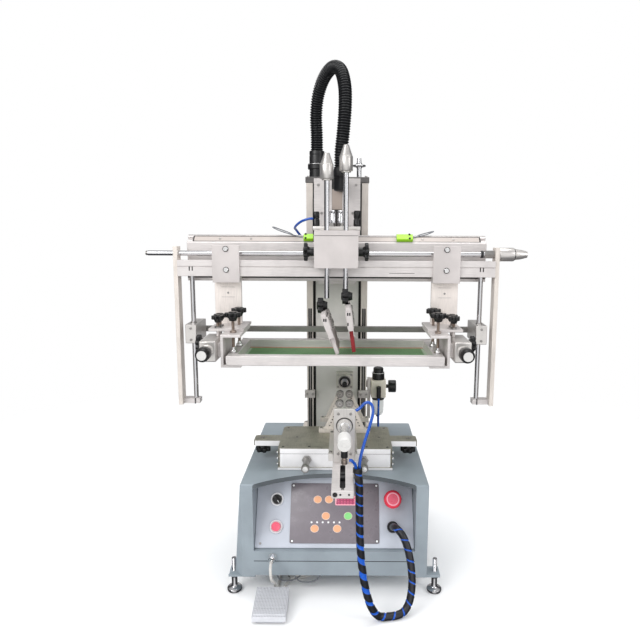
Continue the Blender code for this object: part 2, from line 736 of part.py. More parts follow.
def smooth_route(route, step):
    """Points at even steps along a Catmull-Rom curve through the route."""
    knots = [Vector(point) for point in route]
    knots = [2 * knots[0] - knots[1], *knots, 2 * knots[-1] - knots[-2]]
    fine = []
    for first, second, third, fourth in zip(knots, knots[1:], knots[2:], knots[3:]):
        for part in range(12):
            t = part / 12
            line = 2 * second + (third - first) * t
            bend = (2 * first - 5 * second + 4 * third - fourth) * t**2
            twist = (3 * second - first - 3 * third + fourth) * t**3
            fine.append((line + bend + twist) / 2)
    fine.append(knots[-2])
    reach = [0.0]
    for first, second in zip(fine, fine[1:]):
        reach.append(reach[-1] + (second - first).length)
    count = max(2, round(reach[-1] / step))
    points = []
    index = 0
    for number in range(count + 1):
        target = reach[-1] * number / count
        while index < len(fine) - 2 and reach[index + 1] < target:
            index += 1
        share = (target - reach[index]) / (reach[index + 1] - reach[index])
        points.append(fine[index].lerp(fine[index + 1], min(1.0, share)))
    return points


def rounded(x, y, radius, steps=3):
    """The outline of a rectangle with round corners."""
    centres = [
        (x[1] - radius, y[1] - radius, 0), (x[0] + radius, y[1] - radius, 90),
        (x[0] + radius, y[0] + radius, 180), (x[1] - radius, y[0] + radius, 270),
    ]
    points = []
    for across, up, start in centres:
        for step in range(steps + 1):
            angle = math.radians(start + 90 * step / steps)
            points.append((across + radius * math.cos(angle), up + radius * math.sin(angle)))
    return points


def lobed(radius, lobes=6, depth=0.2, steps=3):
    """The outline of a star knob: round lobes with a valley between them, its depth a share of the radius."""
    points = []
    for step in range(lobes * steps):
        angle = 2 * math.pi * step / (lobes * steps)
        valley = (0.5 - 0.5 * math.cos(lobes * angle)) ** 2
        reach = radius * (1 - depth * valley)
        points.append((reach * math.cos(angle), reach * math.sin(angle)))
    return points


def star_knob(name, at, turn, radius, height, stud, stud_radius, body="root", finish="black_plastic"):
    """A star knob whose stud leaves it along its own -Z; the point given is the knob's underside."""
    frame = Matrix.Translation(at) @ Euler(turn).to_matrix().to_4x4()
    head = plate(
        name, lobed(radius), 0.6 * height, frame @ Vector((0, 0, 0.7 * height)), finish, body, turn,
    )
    neck = rod(
        name + "_neck", frame @ Vector((0, 0, 0)), frame @ Vector((0, 0, 0.5 * height)), 0.5 * radius,
        finish, body, 0.62 * radius, sides=12,
    )
    shank = rod(
        name + "_stud", frame @ Vector((0, 0, -stud)), frame @ Vector((0, 0, 0.3 * height)), stud_radius,
        finish, body, sides=10,
    )
    return join(head, neck, shank)


def span(side, near, far):
    """The range of X between two distances from the middle plane, on one side."""
    return tuple(sorted((side * near, side * far)))


def around(middle, half):
    return middle - half, middle + half


def make_cabinet():
    """The sheet-metal housing: corner legs, ears for the feet and a sloping recess under an arc in the top."""
    back = FRONT_Y + CABINET_DEPTH
    cabinet = block(
        "cabinet", (-CABINET_HALF, CABINET_HALF), (FRONT_Y, back), (CABINET_BOTTOM, CABINET_TOP),
        "cabinet_paint", edge=FOLD,
    )
    opening = CABINET_HALF - STILE_WIDTH
    recess_top = CABINET_TOP - LIP_HEIGHT
    slope_top = FRONT_Y + PANEL_SETBACK + (recess_top - APRON_TOP) * math.tan(PANEL_TILT)
    reach = 0.02
    recess = extruded_x("recess", [
        (FRONT_Y - reach, APRON_TOP), (FRONT_Y + PANEL_SETBACK, APRON_TOP),
        (slope_top, recess_top), (FRONT_Y - reach, recess_top),
    ], (-opening, opening))
    arc_radius = (opening**2 + ARC_SAGITTA**2) / (2 * ARC_SAGITTA)
    arc_y = FRONT_Y + ARC_SAGITTA - arc_radius
    arc = rod("arc", (0, arc_y, recess_top - LIP_HEIGHT), (0, arc_y, CABINET_TOP + reach), arc_radius, sides=96)
    leg = CABINET_HALF - LEG_WIDTH
    skirt = (CABINET_BOTTOM - reach, CABINET_BOTTOM + SKIRT_RISE)
    front_skirt = block("front_skirt", (-leg, leg), (FRONT_Y - reach, back + reach), skirt)
    side_skirt = block(
        "side_skirt", (-CABINET_HALF - reach, CABINET_HALF + reach), (FRONT_Y + LEG_WIDTH, back - LEG_WIDTH), skirt,
    )
    groove = block(
        "groove", (-opening, opening), (FRONT_Y - reach, FRONT_Y + GROOVE_DEPTH),
        (GROOVE_Z, GROOVE_Z + GROOVE_WIDTH),
    )
    cut(cabinet, recess, arc, front_skirt, side_skirt, groove)
    for side_name, side in SIDES:
        for end_name, near in (("front", FRONT_Y + EAR_INSET), ("back", back - EAR_INSET - EAR_LENGTH)):
            ear = block(
                f"ear_{end_name}_{side_name}", span(side, CABINET_HALF - FOLD, CABINET_HALF + EAR_REACH),
                (near, near + EAR_LENGTH), (CABINET_BOTTOM, CABINET_BOTTOM + EAR_THICKNESS),
            )
            join(cabinet, ear)
            foot_y = FRONT_Y + FOOT_INSET if end_name == "front" else back - FOOT_INSET
            hole = rod(
                f"ear_hole_{end_name}_{side_name}", (side * FOOT_X, foot_y, CABINET_BOTTOM - reach),
                (side * FOOT_X, foot_y, CABINET_BOTTOM + reach), FOOT_STUD_RADIUS + BORE_PLAY, sides=16,
            )
            cut(cabinet, hole)


def make_feet():
    """Levelling feet: a steel disc, a nut under each ear and a threaded stud through it."""
    nut_top = CABINET_BOTTOM - SEAT
    nut_bottom = nut_top - FOOT_NUT_HEIGHT
    profile = [
        (0, FOOT_STUD_TOP), (FOOT_STUD_RADIUS, FOOT_STUD_TOP), (FOOT_STUD_RADIUS, nut_top),
        (FOOT_NUT_RADIUS, nut_top), (FOOT_NUT_RADIUS, nut_bottom), (FOOT_NECK_RADIUS, nut_bottom),
        (FOOT_NECK_RADIUS, 2 * FOOT_PAD_HEIGHT), (FOOT_RADIUS, FOOT_PAD_HEIGHT), (FOOT_RADIUS, 0), (0, 0),
    ]
    for side_name, side in SIDES:
        for end_name, y in (("front", FRONT_Y + FOOT_INSET), ("back", FRONT_Y + CABINET_DEPTH - FOOT_INSET)):
            turned(f"foot_{end_name}_{side_name}", profile, (side * FOOT_X, y, 0.0), "chrome", steps=16)


def on_panel(x, rise, out):
    """A world point on the sloping panel: so far up its slope, and so far out from the slope."""
    return Vector((
        x,
        FRONT_Y + PANEL_SETBACK + rise * math.sin(PANEL_TILT) - out * math.cos(PANEL_TILT),
        APRON_TOP + rise * math.cos(PANEL_TILT) + out * math.sin(PANEL_TILT),
    ))


def make_panel():
    half = OPERATING_PANEL_HALF
    middle = on_panel(0.0, PANEL_PLAY + PANEL_LENGTH / 2, SEAT + PANEL_THICKNESS / 2)
    block(
        "control_panel", (-half, half), around(middle.y, PANEL_THICKNESS / 2), around(middle.z, PANEL_LENGTH / 2),
        "panel_paint", turn=(-PANEL_TILT, 0.0, 0.0),
    )
    facing = (math.radians(90) - PANEL_TILT, 0.0, 0.0)
    face = SEAT + PANEL_THICKNESS + SEAT
    centre = on_panel(0.0, MEMBRANE_START + MEMBRANE_LENGTH / 2, face + MEMBRANE_THICKNESS / 2)
    outline = rounded(
        (-MEMBRANE_HALF, MEMBRANE_HALF), (-MEMBRANE_LENGTH / 2, MEMBRANE_LENGTH / 2), MEMBRANE_CORNER,
    )
    plate("membrane_panel", outline, MEMBRANE_THICKNESS, centre, "membrane", turn=facing)

    selector = turned("selector_switch", [
        (0, SELECTOR_HEIGHT / 2), (SELECTOR_RADIUS, SELECTOR_HEIGHT / 2), (SELECTOR_RADIUS, BEZEL_HEIGHT),
        (BEZEL_RADIUS - BEZEL_HEIGHT / 2, BEZEL_HEIGHT), (BEZEL_RADIUS, BEZEL_HEIGHT / 2), (BEZEL_RADIUS, 0), (0, 0),
    ], on_panel(CONTROLS_LEFT_X, UPPER_CONTROLS, face), "black_plastic", turn=facing)
    handle_at = on_panel(CONTROLS_LEFT_X, UPPER_CONTROLS, face + SELECTOR_HEIGHT * 0.6)
    handle = block(
        "selector_handle", around(CONTROLS_LEFT_X, SELECTOR_RADIUS / 3), around(handle_at.y, SELECTOR_HEIGHT * 0.4),
        around(handle_at.z, SELECTOR_RADIUS - OVERLAP), "black_plastic", turn=(-PANEL_TILT, 0.0, 0.0),
    )
    join(selector, handle)

    turned("push_button", [
        (0, BUTTON_HEIGHT), (BUTTON_RADIUS * 0.7, BUTTON_HEIGHT * 0.93), (BUTTON_RADIUS, BUTTON_HEIGHT * 0.75),
        (BUTTON_RADIUS, BEZEL_HEIGHT), (BEZEL_RADIUS - BEZEL_HEIGHT / 2, BEZEL_HEIGHT),
        (BEZEL_RADIUS, BEZEL_HEIGHT / 2), (BEZEL_RADIUS, 0), (0, 0),
    ], on_panel(CONTROLS_LEFT_X, LOWER_CONTROLS, face), "pink_plastic", turn=facing)
    turned("emergency_stop", [
        (0, STOP_HEIGHT), (STOP_RADIUS * 0.6, STOP_HEIGHT * 0.97), (STOP_RADIUS * 0.92, STOP_HEIGHT * 0.87),
        (STOP_RADIUS, STOP_HEIGHT * 0.72), (STOP_RADIUS * 0.92, STOP_HEIGHT * 0.56),
        (STOP_RADIUS * 0.58, STOP_HEIGHT * 0.48), (STOP_RADIUS * 0.58, STOP_HEIGHT * 0.14),
        (STOP_COLLAR_RADIUS, STOP_HEIGHT * 0.14), (STOP_COLLAR_RADIUS, 0), (0, 0),
    ], on_panel(CONTROLS_RIGHT_X, UPPER_CONTROLS, face), "red_plastic", turn=facing)
    turned("bundle_grommet", [
        (0, GROMMET_HEIGHT), (GROMMET_RADIUS * 0.88, GROMMET_HEIGHT), (GROMMET_RADIUS, GROMMET_HEIGHT * 0.8),
        (GROMMET_RADIUS, 0), (0, 0),
    ], on_panel(CONTROLS_RIGHT_X, LOWER_CONTROLS, face), "black_plastic", turn=facing, steps=20)


def make_work_table():
    """A block on the cabinet and a plate with two wings, two index plungers and a star knob under each wing."""
    bottom = CABINET_TOP + SEAT
    table = flat(
        "work_table", rounded((-TABLE_HALF, TABLE_HALF), (TABLE_FRONT, TABLE_BACK), TABLE_CORNER),
        (bottom, TABLE_TOP), "khaki_plate",
    )
    plate_z = (TABLE_TOP - TABLE_PLATE, TABLE_TOP)
    wings = flat(
        "wings", rounded((-WING_REACH, WING_REACH), (WING_FRONT, WING_BACK), WING_CORNER), plate_z,
    )
    tongue = block(
        "tongue", around(AXIS_X, TONGUE_HALF), (TABLE_BACK - TABLE_CORNER, TONGUE_BACK), plate_z,
    )
    lip = block(
        "lip", (-TABLE_HALF, TABLE_HALF), (TABLE_FRONT - BLOCK_LIP, TABLE_FRONT + TABLE_CORNER),
        (bottom, bottom + BLOCK_LIP_HEIGHT),
    )
    join(table, wings, tongue, lip)
    wing_y = (WING_FRONT + WING_BACK) / 2
    for side_name, side in SIDES:
        plunger = turned("plunger_" + side_name, [
            (0, PLUNGER_LENGTH), (PLUNGER_TIP_RADIUS - OVERLAP, PLUNGER_LENGTH),
            (PLUNGER_TIP_RADIUS, PLUNGER_LENGTH - OVERLAP), (PLUNGER_TIP_RADIUS, PLUNGER_LENGTH - PLUNGER_TIP),
            (PLUNGER_RADIUS, PLUNGER_LENGTH - PLUNGER_TIP - OVERLAP), (PLUNGER_RADIUS, -OVERLAP), (0, -OVERLAP),
        ], (side * PLUNGER_X, TABLE_FRONT, PLUNGER_Z), turn=FACING_FRONT, steps=20)
        knob = star_knob(
            "wing_knob_" + side_name, (side * WING_KNOB_X, wing_y, plate_z[0] - OVERLAP), UPSIDE_DOWN,
            WING_KNOB_RADIUS, WING_KNOB_HEIGHT, TABLE_PLATE / 2, WING_STUD_RADIUS,
        )
        join(table, plunger, knob)


def make_slide():
    """A channel on the table and the slotted arm that runs in it, which carries the tailstock."""
    base = TABLE_TOP + SEAT
    guide = block(
        "slide_guide", around(ARM_X, GUIDE_HALF), (GUIDE_FRONT, GUIDE_BACK), (base, base + GUIDE_HEIGHT), "white_metal",
    )
    channel = block(
        "channel", around(ARM_X, ARM_HALF + BORE_PLAY), (GUIDE_FRONT - GUIDE_BASE, GUIDE_BACK + GUIDE_BASE),
        (base + GUIDE_BASE, base + 2 * GUIDE_HEIGHT),
    )
    cut(guide, channel)
    arm = block(
        "slide_arm", around(ARM_X, ARM_HALF), (ARM_FRONT, ARM_BACK), (base + GUIDE_BASE + SEAT, ARM_TOP),
        "white_metal", edge=OVERLAP,
    )
    slot = flat(
        "slot", rounded(around(ARM_X, ARM_SLOT_HALF), (ARM_SLOT_FRONT, ARM_SLOT_BACK), ARM_SLOT_HALF * 0.98),
        (ARM_TOP - ARM_SLOT_DEPTH, ARM_TOP + ARM_SLOT_DEPTH),
    )
    cut(arm, slot)


def make_tailstock():
    """The plate that stands on the arm, the air cylinder on its front and the bottle cup behind it."""
    foot = ARM_TOP + SEAT
    back = TAIL_FRONT + TAIL_THICKNESS
    tail = upright(
        "tailstock_plate",
        rounded(around(AXIS_X, TAIL_HALF), (foot, TAIL_TOP), TAIL_CORNER), (TAIL_FRONT, back), "aluminium",
    )
    tail_foot = block(
        "tail_foot", around(AXIS_X, TAIL_HALF - TAIL_CORNER), (back - OVERLAP, back + TAIL_FOOT),
        (foot, foot + TAIL_FOOT_HEIGHT),
    )
    bore = CUP_ROD_RADIUS + BORE_PLAY
    join(tail, tail_foot)
    cut(tail, rod("tail_bore", (AXIS_X, TAIL_FRONT - 0.01, AXIS_Z), (AXIS_X, back + 0.01, AXIS_Z), bore))

    front = TAIL_FRONT - SEAT
    cap_start = TAIL_LENGTH - TAIL_CAP_LENGTH
    cylinder = turned("tailstock_cylinder", [
        (0, TAIL_LENGTH), (TAIL_CAP_RADIUS - OVERLAP, TAIL_LENGTH), (TAIL_CAP_RADIUS, TAIL_LENGTH - OVERLAP),
        (TAIL_CAP_RADIUS, cap_start), (TAIL_BARREL_RADIUS, cap_start), (TAIL_BARREL_RADIUS, TAIL_BOSS_LENGTH),
        (TAIL_BOSS_RADIUS - OVERLAP, TAIL_BOSS_LENGTH), (TAIL_BOSS_RADIUS, TAIL_BOSS_LENGTH - OVERLAP),
        (TAIL_BOSS_RADIUS, 0), (bore, 0), (bore, TAIL_BORE_LENGTH), (0, TAIL_BORE_LENGTH),
    ], (AXIS_X, front, AXIS_Z), "aluminium", turn=FACING_FRONT)
    fitting_y = front - TAIL_LENGTH + TAIL_FITTING_FROM_FRONT
    fitting = rod(
        "tail_fitting", (AXIS_X, fitting_y, AXIS_Z - TAIL_CAP_RADIUS + 2 * OVERLAP),
        (AXIS_X, fitting_y, TAIL_FITTING_BOTTOM), TAIL_FITTING_RADIUS, sides=16,
    )
    join(cylinder, fitting)

    rod_end = TAIL_FRONT - CUP_ROD_HELD - CUP_BACK
    turned("tailstock_cup", [
        (0, -CUP_RECESS), (CUP_RADIUS * 0.55, -CUP_RECESS), (CUP_RADIUS * 0.8, 0), (CUP_RADIUS * 0.95, 0),
        (CUP_RADIUS, -OVERLAP * 2), (CUP_RADIUS, -CUP_LENGTH * 0.6), (CUP_RADIUS * 0.6, -CUP_LENGTH),
        (CUP_ROD_RADIUS, -CUP_LENGTH), (CUP_ROD_RADIUS, rod_end), (0, rod_end),
    ], (AXIS_X, CUP_BACK, AXIS_Z), "black_plastic", "cup", FACING_BACK)


def make_roller_stand(name, y):
    """A cross bar, two leaning arms and two ball-bearing rollers that a bottle turns on."""
    base = TABLE_TOP + SEAT
    bar = block(
        name, around(AXIS_X, STAND_BAR_HALF), around(y, STAND_BAR_DEPTH / 2), (base, base + STAND_BAR_HEIGHT),
        "beige_metal",
    )
    low = base + STAND_BAR_HEIGHT - OVERLAP
    arm_y = around(y, STAND_ARM_THICKNESS / 2)
    for side_name, side in SIDES:
        centre = AXIS_X + side * ROLLER_X
        crown = []
        for degrees in range(0, 181, 45):
            angle = math.radians(degrees)
            crown.append((
                centre + side * STAND_SHOULDER * math.cos(angle), ROLLER_Z + STAND_SHOULDER * math.sin(angle),
            ))
        outline = [
            (AXIS_X + side * STAND_FOOT_IN, low), (AXIS_X + side * STAND_FOOT_OUT, low), *crown,
        ]
        arm = upright(f"{name}_{side_name}", outline, arm_y, "beige_metal")
        roller = rod(
            f"{name}_roller_{side_name}", (centre, arm_y[0] + OVERLAP, ROLLER_Z),
            (centre, arm_y[0] - ROLLER_WIDTH, ROLLER_Z), ROLLER_RADIUS, sides=20,
        )
        pin = rod(
            f"{name}_pin_{side_name}", (centre, arm_y[0], ROLLER_Z),
            (centre, arm_y[0] - ROLLER_WIDTH - OVERLAP, ROLLER_Z), ROLLER_PIN_RADIUS, sides=12,
        )
        join(bar, arm, roller, pin)
        for share in (0.35, 0.65):
            across = AXIS_X + side * ((STAND_FOOT_IN + STAND_FOOT_OUT) / 2 * (1 - share) + ROLLER_X * share)
            height = low + (ROLLER_Z - low) * share
            cut(bar, rod(
                f"{name}_hole_{side_name}", (across, arm_y[0] - 0.01, height), (across, arm_y[1] + 0.01, height),
                STAND_HOLE_RADIUS, sides=10,
            ))


def make_spindle():
    """The bearing plate on the column and the driven nose that turns the bottle."""
    seat = COLUMN_FRONT + CORE_SETBACK - SEAT
    housing = block(
        "spindle_housing", around(AXIS_X, SPINDLE_PLATE_HALF), (SPINDLE_PLATE_FRONT, seat),
        (AXIS_Z - SPINDLE_PLATE_DOWN, AXIS_Z + SPINDLE_PLATE_UP), "aluminium",
    )
    ring = rod(
        "spindle_ring", (AXIS_X, SPINDLE_PLATE_FRONT + OVERLAP, AXIS_Z),
        (AXIS_X, SPINDLE_PLATE_FRONT - SPINDLE_RING_LENGTH, AXIS_Z), SPINDLE_RING_RADIUS,
    )
    join(housing, ring)
    bore = SPINDLE_RADIUS + BORE_PLAY
    ring_front = SPINDLE_PLATE_FRONT - SPINDLE_RING_LENGTH
    cut(housing, rod("spindle_bore", (AXIS_X, ring_front - 0.01, AXIS_Z), (AXIS_X, seat + 0.01, AXIS_Z), bore))
    length = SPINDLE_END - SPINDLE_NOSE
    shoulder = SPINDLE_END - ring_front + 0.004
    turned("spindle", [
        (0, length), (SPINDLE_NOSE_RADIUS * 0.7, length), (SPINDLE_NOSE_RADIUS, length - 0.003),
        (SPINDLE_NOSE_RADIUS, shoulder + 0.002), (SPINDLE_RADIUS, shoulder), (SPINDLE_RADIUS, 0), (0, 0),
    ], (AXIS_X, SPINDLE_END, AXIS_Z), "chrome", "spindle", FACING_FRONT)


def make_column():
    """An extruded column with a guide slot down each side of its front, a base flange and two clamp blocks."""
    back = COLUMN_FRONT + COLUMN_DEPTH
    core = COLUMN_FRONT + CORE_SETBACK
    slot = COLUMN_FRONT + SLOT_DEPTH
    right = [
        (COLUMN_HALF, back), (COLUMN_HALF, COLUMN_FRONT), (POST_INNER, COLUMN_FRONT), (POST_INNER, slot),
        (PANEL_HALF, slot), (PANEL_HALF, core),
    ]
    left = [(-x, y) for x, y in reversed(right)]
    base = CABINET_TOP + SEAT
    column = flat("column", right + left, (base, COLUMN_TOP), "aluminium")
    flange = block(
        "flange", around(0.0, COLUMN_HALF + FLANGE_MARGIN), (COLUMN_FRONT - OVERLAP, back + FLANGE_MARGIN),
        (base, base + FLANGE_HEIGHT),
    )
    join(column, flange)
    for side_name, side in SIDES:
        join(column, block(
            "column_clamp_" + side_name, span(side, CLAMP_INNER, CLAMP_OUTER),
            (COLUMN_FRONT - CLAMP_THICKNESS, COLUMN_FRONT + OVERLAP), around(CLAMP_Z, CLAMP_HEIGHT / 2),
        ))


def make_column_top():
    """The plate on the column, with the rear socket of the hose and the lift handwheel."""
    base = COLUMN_TOP + SEAT
    top = base + TOP_PLATE_THICKNESS
    plate_top = block(
        "column_top_plate", around(0.0, COLUMN_HALF + TOP_PLATE_OVERHANG),
        (COLUMN_FRONT - TOP_PLATE_OVERHANG, COLUMN_FRONT + COLUMN_DEPTH + TOP_PLATE_OVERHANG), (base, top),
        "khaki_plate", edge=OVERLAP,
    )
    socket = turned("hose_socket", [
        (0, HOSE_SOCKET_TOP), (HOSE_SOCKET_RADIUS, HOSE_SOCKET_TOP), (HOSE_SOCKET_RADIUS, HOSE_SOCKET_TOP - 0.034),
        (HOSE_SOCKET_FLANGE, HOSE_SOCKET_TOP - 0.036), (HOSE_SOCKET_FLANGE, HOSE_SOCKET_TOP - 0.044),
        (HOSE_SOCKET_RADIUS, HOSE_SOCKET_TOP - 0.046), (HOSE_SOCKET_RADIUS, top - OVERLAP), (0, top - OVERLAP),
    ], (HOSE_SOCKET_X, HOSE_SOCKET_Y, 0.0), "black_plastic")
    join(plate_top, socket)
    wheel_low = LIFT_WHEEL_TOP - 0.036
    turned("lift_handwheel", [
        (0, LIFT_WHEEL_TOP), (LIFT_WHEEL_RADIUS * 0.5, LIFT_WHEEL_TOP), (LIFT_WHEEL_RADIUS * 0.62, LIFT_WHEEL_TOP - 0.010),
        (LIFT_WHEEL_RADIUS, LIFT_WHEEL_TOP - 0.014), (LIFT_WHEEL_RADIUS, LIFT_WHEEL_TOP - 0.024),
        (LIFT_WHEEL_RADIUS * 0.6, wheel_low + 0.008), (LIFT_WHEEL_RADIUS * 0.6, wheel_low),
        (LIFT_SHAFT_RADIUS, wheel_low), (LIFT_SHAFT_RADIUS, top + SEAT), (0, top + SEAT),
    ], (LIFT_WHEEL_X, LIFT_WHEEL_Y, 0.0), "chrome")


def make_regulator():
    """The air regulator on the side of the column: knob, body, bowl, gauge and its elbow."""
    x, y = REGULATOR_X, REGULATOR_Y
    regulator = block(
        "air_regulator", around(x, REGULATOR_HALF), around(y, REGULATOR_HALF),
        (REGULATOR_BODY_BOTTOM, REGULATOR_BODY_TOP), "beige_metal", edge=0.002,
    )
    knob = turned("regulator_knob", [
        (0, REGULATOR_KNOB_TOP), (REGULATOR_KNOB_RADIUS, REGULATOR_KNOB_TOP),
        (REGULATOR_KNOB_RADIUS, REGULATOR_BAND_TOP + 0.002), (REGULATOR_BAND_RADIUS, REGULATOR_BAND_TOP),
        (REGULATOR_BAND_RADIUS, REGULATOR_BODY_TOP - OVERLAP), (0, REGULATOR_BODY_TOP - OVERLAP),
    ], (x, y, 0.0), "black_plastic")
    bowl = turned("regulator_bowl", [
        (0, REGULATOR_BODY_BOTTOM + OVERLAP), (BOWL_RADIUS, REGULATOR_BODY_BOTTOM + OVERLAP),
        (BOWL_RADIUS, REGULATOR_BODY_BOTTOM - 0.012), (BOWL_FOOT_RADIUS, BOWL_BOTTOM + 0.006),
        (BOWL_FOOT_RADIUS * 0.5, BOWL_BOTTOM), (0, BOWL_BOTTOM),
    ], (x, y, 0.0), "grey_plastic", steps=20)
    stem = rod("gauge_stem", (x, y, GAUGE_Z), (GAUGE_INNER + OVERLAP, y, GAUGE_Z), 0.005, sides=12)
    gauge = rod("gauge", (GAUGE_INNER, y, GAUGE_Z), (GAUGE_OUTER, y, GAUGE_Z), GAUGE_RADIUS)
    bracket = block(
        "regulator_bracket", (COLUMN_HALF + SEAT, x - REGULATOR_HALF + OVERLAP * 3), around(y, 0.010),
        around(REGULATOR_BODY_TOP - 0.012, 0.008),
    )
    elbow_z = REGULATOR_ELBOW_Z
    barb = rod(
        "regulator_barb", (x, y - REGULATOR_HALF + OVERLAP, elbow_z), (x, REGULATOR_ELBOW_Y, elbow_z),
        REGULATOR_ELBOW_RADIUS, sides=16,
    )
    drop = rod(
        "regulator_drop", (x, REGULATOR_ELBOW_Y, elbow_z + REGULATOR_ELBOW_RADIUS),
        (x, REGULATOR_ELBOW_Y, REGULATOR_ELBOW_BOTTOM), REGULATOR_ELBOW_RADIUS, sides=16,
    )
    join(regulator, knob, bowl, stem, gauge, bracket, barb, drop)


def make_head_plate():
    """The aluminium plate that rides up and down the column, with a gib in each slot."""
    back = PLATE_FRONT + PLATE_THICKNESS
    head = block(
        "head_plate", (-PLATE_HALF, PLATE_HALF), (PLATE_FRONT, back), (PLATE_NECK_Z, PLATE_TOP), "aluminium", "head",
    )
    neck = block(
        "plate_neck", (-PLATE_NECK_HALF, PLATE_NECK_HALF), (PLATE_FRONT, back), (PLATE_BOTTOM, PLATE_NECK_Z + OVERLAP),
        body="head",
    )
    join(head, neck)
    cut(head, block(
        "plate_groove", (-PLATE_GROOVE_HALF, PLATE_GROOVE_HALF),
        (PLATE_FRONT - PLATE_GROOVE_DEPTH, PLATE_FRONT + PLATE_GROOVE_DEPTH), (BEAM_TOP + 0.020, PLATE_TOP + 0.020),
        body="head",
    ))
    for side_name, side in SIDES:
        join(head, block(
            "gib_" + side_name, span(side, GIB_INNER, GIB_OUTER), (back - OVERLAP, back + GIB_REACH),
            (GIB_BOTTOM, GIB_TOP), body="head",
        ))


def make_beam():
    """The long profile across the head, with a slot in its sloping edge, a recess and the carriage rail."""
    back = PLATE_FRONT - SEAT
    rise = BEAM_TOP - BEAM_SHOULDER
    slope = Vector((rise, rise)).normalized()
    inward = Vector((slope.y, -slope.x))
    middle = Vector((BEAM_FRONT, BEAM_SHOULDER)) + Vector((rise, rise)) / 2
    slot_low = middle - slope * BEAM_SLOT_HALF
    slot_high = middle + slope * BEAM_SLOT_HALF
    recess = BEAM_FRONT + BEAM_RECESS_DEPTH
    outline = [
        (BEAM_FRONT, BEAM_BOTTOM), (back, BEAM_BOTTOM), (back, BEAM_TOP), (BEAM_FRONT + rise, BEAM_TOP),
        tuple(slot_high), tuple(slot_high + inward * BEAM_SLOT_DEPTH), tuple(slot_low + inward * BEAM_SLOT_DEPTH),
        tuple(slot_low), (BEAM_FRONT, BEAM_SHOULDER), (BEAM_FRONT, BEAM_RECESS_TOP), (recess, BEAM_RECESS_TOP),
        (recess, BEAM_RECESS_BOTTOM), (BEAM_FRONT, BEAM_RECESS_BOTTOM),
    ]
    beam = extruded_x("beam", outline, (-BEAM_HALF, BEAM_HALF), "aluminium", "head")
    rail = block(
        "rail", (-RAIL_HALF, RAIL_HALF), (recess - RAIL_THICKNESS, recess + OVERLAP),
        around(RAIL_Z, RAIL_HEIGHT / 2), body="head",
    )
    join(beam, rail)


def make_yoke():
    """The block that the two stroke rods slide through, held over the beam by a bridge plate."""
    back = YOKE_FRONT + YOKE_DEPTH
    top = BEAM_TOP + SEAT
    yoke = upright(
        "squeegee_block", rounded((-YOKE_HALF, YOKE_HALF), (YOKE_BOTTOM, top + BRIDGE_THICKNESS), YOKE_EDGE),
        (YOKE_FRONT, back), "panel_paint", "head",
    )
    bridge = block(
        "bridge", (-BRIDGE_HALF, BRIDGE_HALF), (back - OVERLAP, PLATE_FRONT - SEAT), (top, top + BRIDGE_THICKNESS),
        body="head",
    )
    join(yoke, bridge)
    for side_name, side in SIDES:
        x = side * STROKE_ROD_X
        cut(yoke, rod(
            "stroke_bore_" + side_name, (x, STROKE_ROD_Y, YOKE_BOTTOM - 0.01),
            (x, STROKE_ROD_Y, top + BRIDGE_THICKNESS + 0.01), STROKE_ROD_RADIUS + BORE_PLAY, body="head",
        ))
        stem_end = YOKE_HALF + YOKE_KNOB_STEM
        stem = rod(
            "yoke_stem_" + side_name, (side * (YOKE_HALF - OVERLAP), STROKE_ROD_Y, YOKE_KNOB_Z),
            (side * (stem_end + OVERLAP), STROKE_ROD_Y, YOKE_KNOB_Z), YOKE_KNOB_STEM_RADIUS, body="head",
        )
        knob = plate(
            "yoke_knob_" + side_name, lobed(YOKE_KNOB_RADIUS, 8, 0.1), YOKE_KNOB_THICKNESS,
            (side * (stem_end + YOKE_KNOB_THICKNESS / 2), STROKE_ROD_Y, YOKE_KNOB_Z), "black_plastic", "head", ALONG_X,
        )
        join(yoke, stem, knob)


def make_stroke_cylinders():
    """Twin compact cylinders on the bridge plate, with a flow control beside each."""
    base = BEAM_TOP + SEAT + BRIDGE_THICKNESS + SEAT
    deck = base + CYLINDER_BASE_HEIGHT
    cylinders = block(
        "stroke_cylinders", (-CYLINDER_BASE_HALF, CYLINDER_BASE_HALF), around(CYLINDER_Y, CYLINDER_BASE_DEPTH / 2),
        (base, deck), "chrome", "head",
    )
    for side_name, side in SIDES:
        x = side * CYLINDER_X
        barrel = turned("barrel_" + side_name, [
            (0, CYLINDER_TOP), (CYLINDER_RADIUS - 0.002, CYLINDER_TOP), (CYLINDER_RADIUS, CYLINDER_TOP - 0.002),
            (CYLINDER_RADIUS, deck - OVERLAP), (0, deck - OVERLAP),
        ], (x, CYLINDER_Y, 0.0), body="head")
        flow_x = side * FLOW_CONTROL_X
        flow = turned("flow_control_" + side_name, [
            (0, FLOW_CONTROL_TOP), (FLOW_CONTROL_RADIUS * 0.5, FLOW_CONTROL_TOP),
            (FLOW_CONTROL_RADIUS * 0.5, FLOW_CONTROL_TOP - 0.006), (FLOW_CONTROL_RADIUS, FLOW_CONTROL_TOP - 0.006),
            (FLOW_CONTROL_RADIUS, deck - OVERLAP), (0, deck - OVERLAP),
        ], (flow_x, CYLINDER_Y, 0.0), body="head", steps=12)
        join(cylinders, barrel, flow)


def make_hose_elbow():
    """The front end of the hose: a socket that turns back to the head plate."""
    elbow = rod(
        "hose_elbow", (ELBOW_X, ELBOW_Y, ELBOW_Z - ELBOW_RADIUS), (ELBOW_X, ELBOW_Y, ELBOW_TOP), ELBOW_RADIUS,
        "black_plastic", "head",
    )
    arm = rod(
        "elbow_arm", (ELBOW_X, ELBOW_Y, ELBOW_Z), (ELBOW_X, PLATE_FRONT - SEAT, ELBOW_Z),
        ELBOW_ARM_RADIUS, body="head",
    )
    join(elbow, arm)


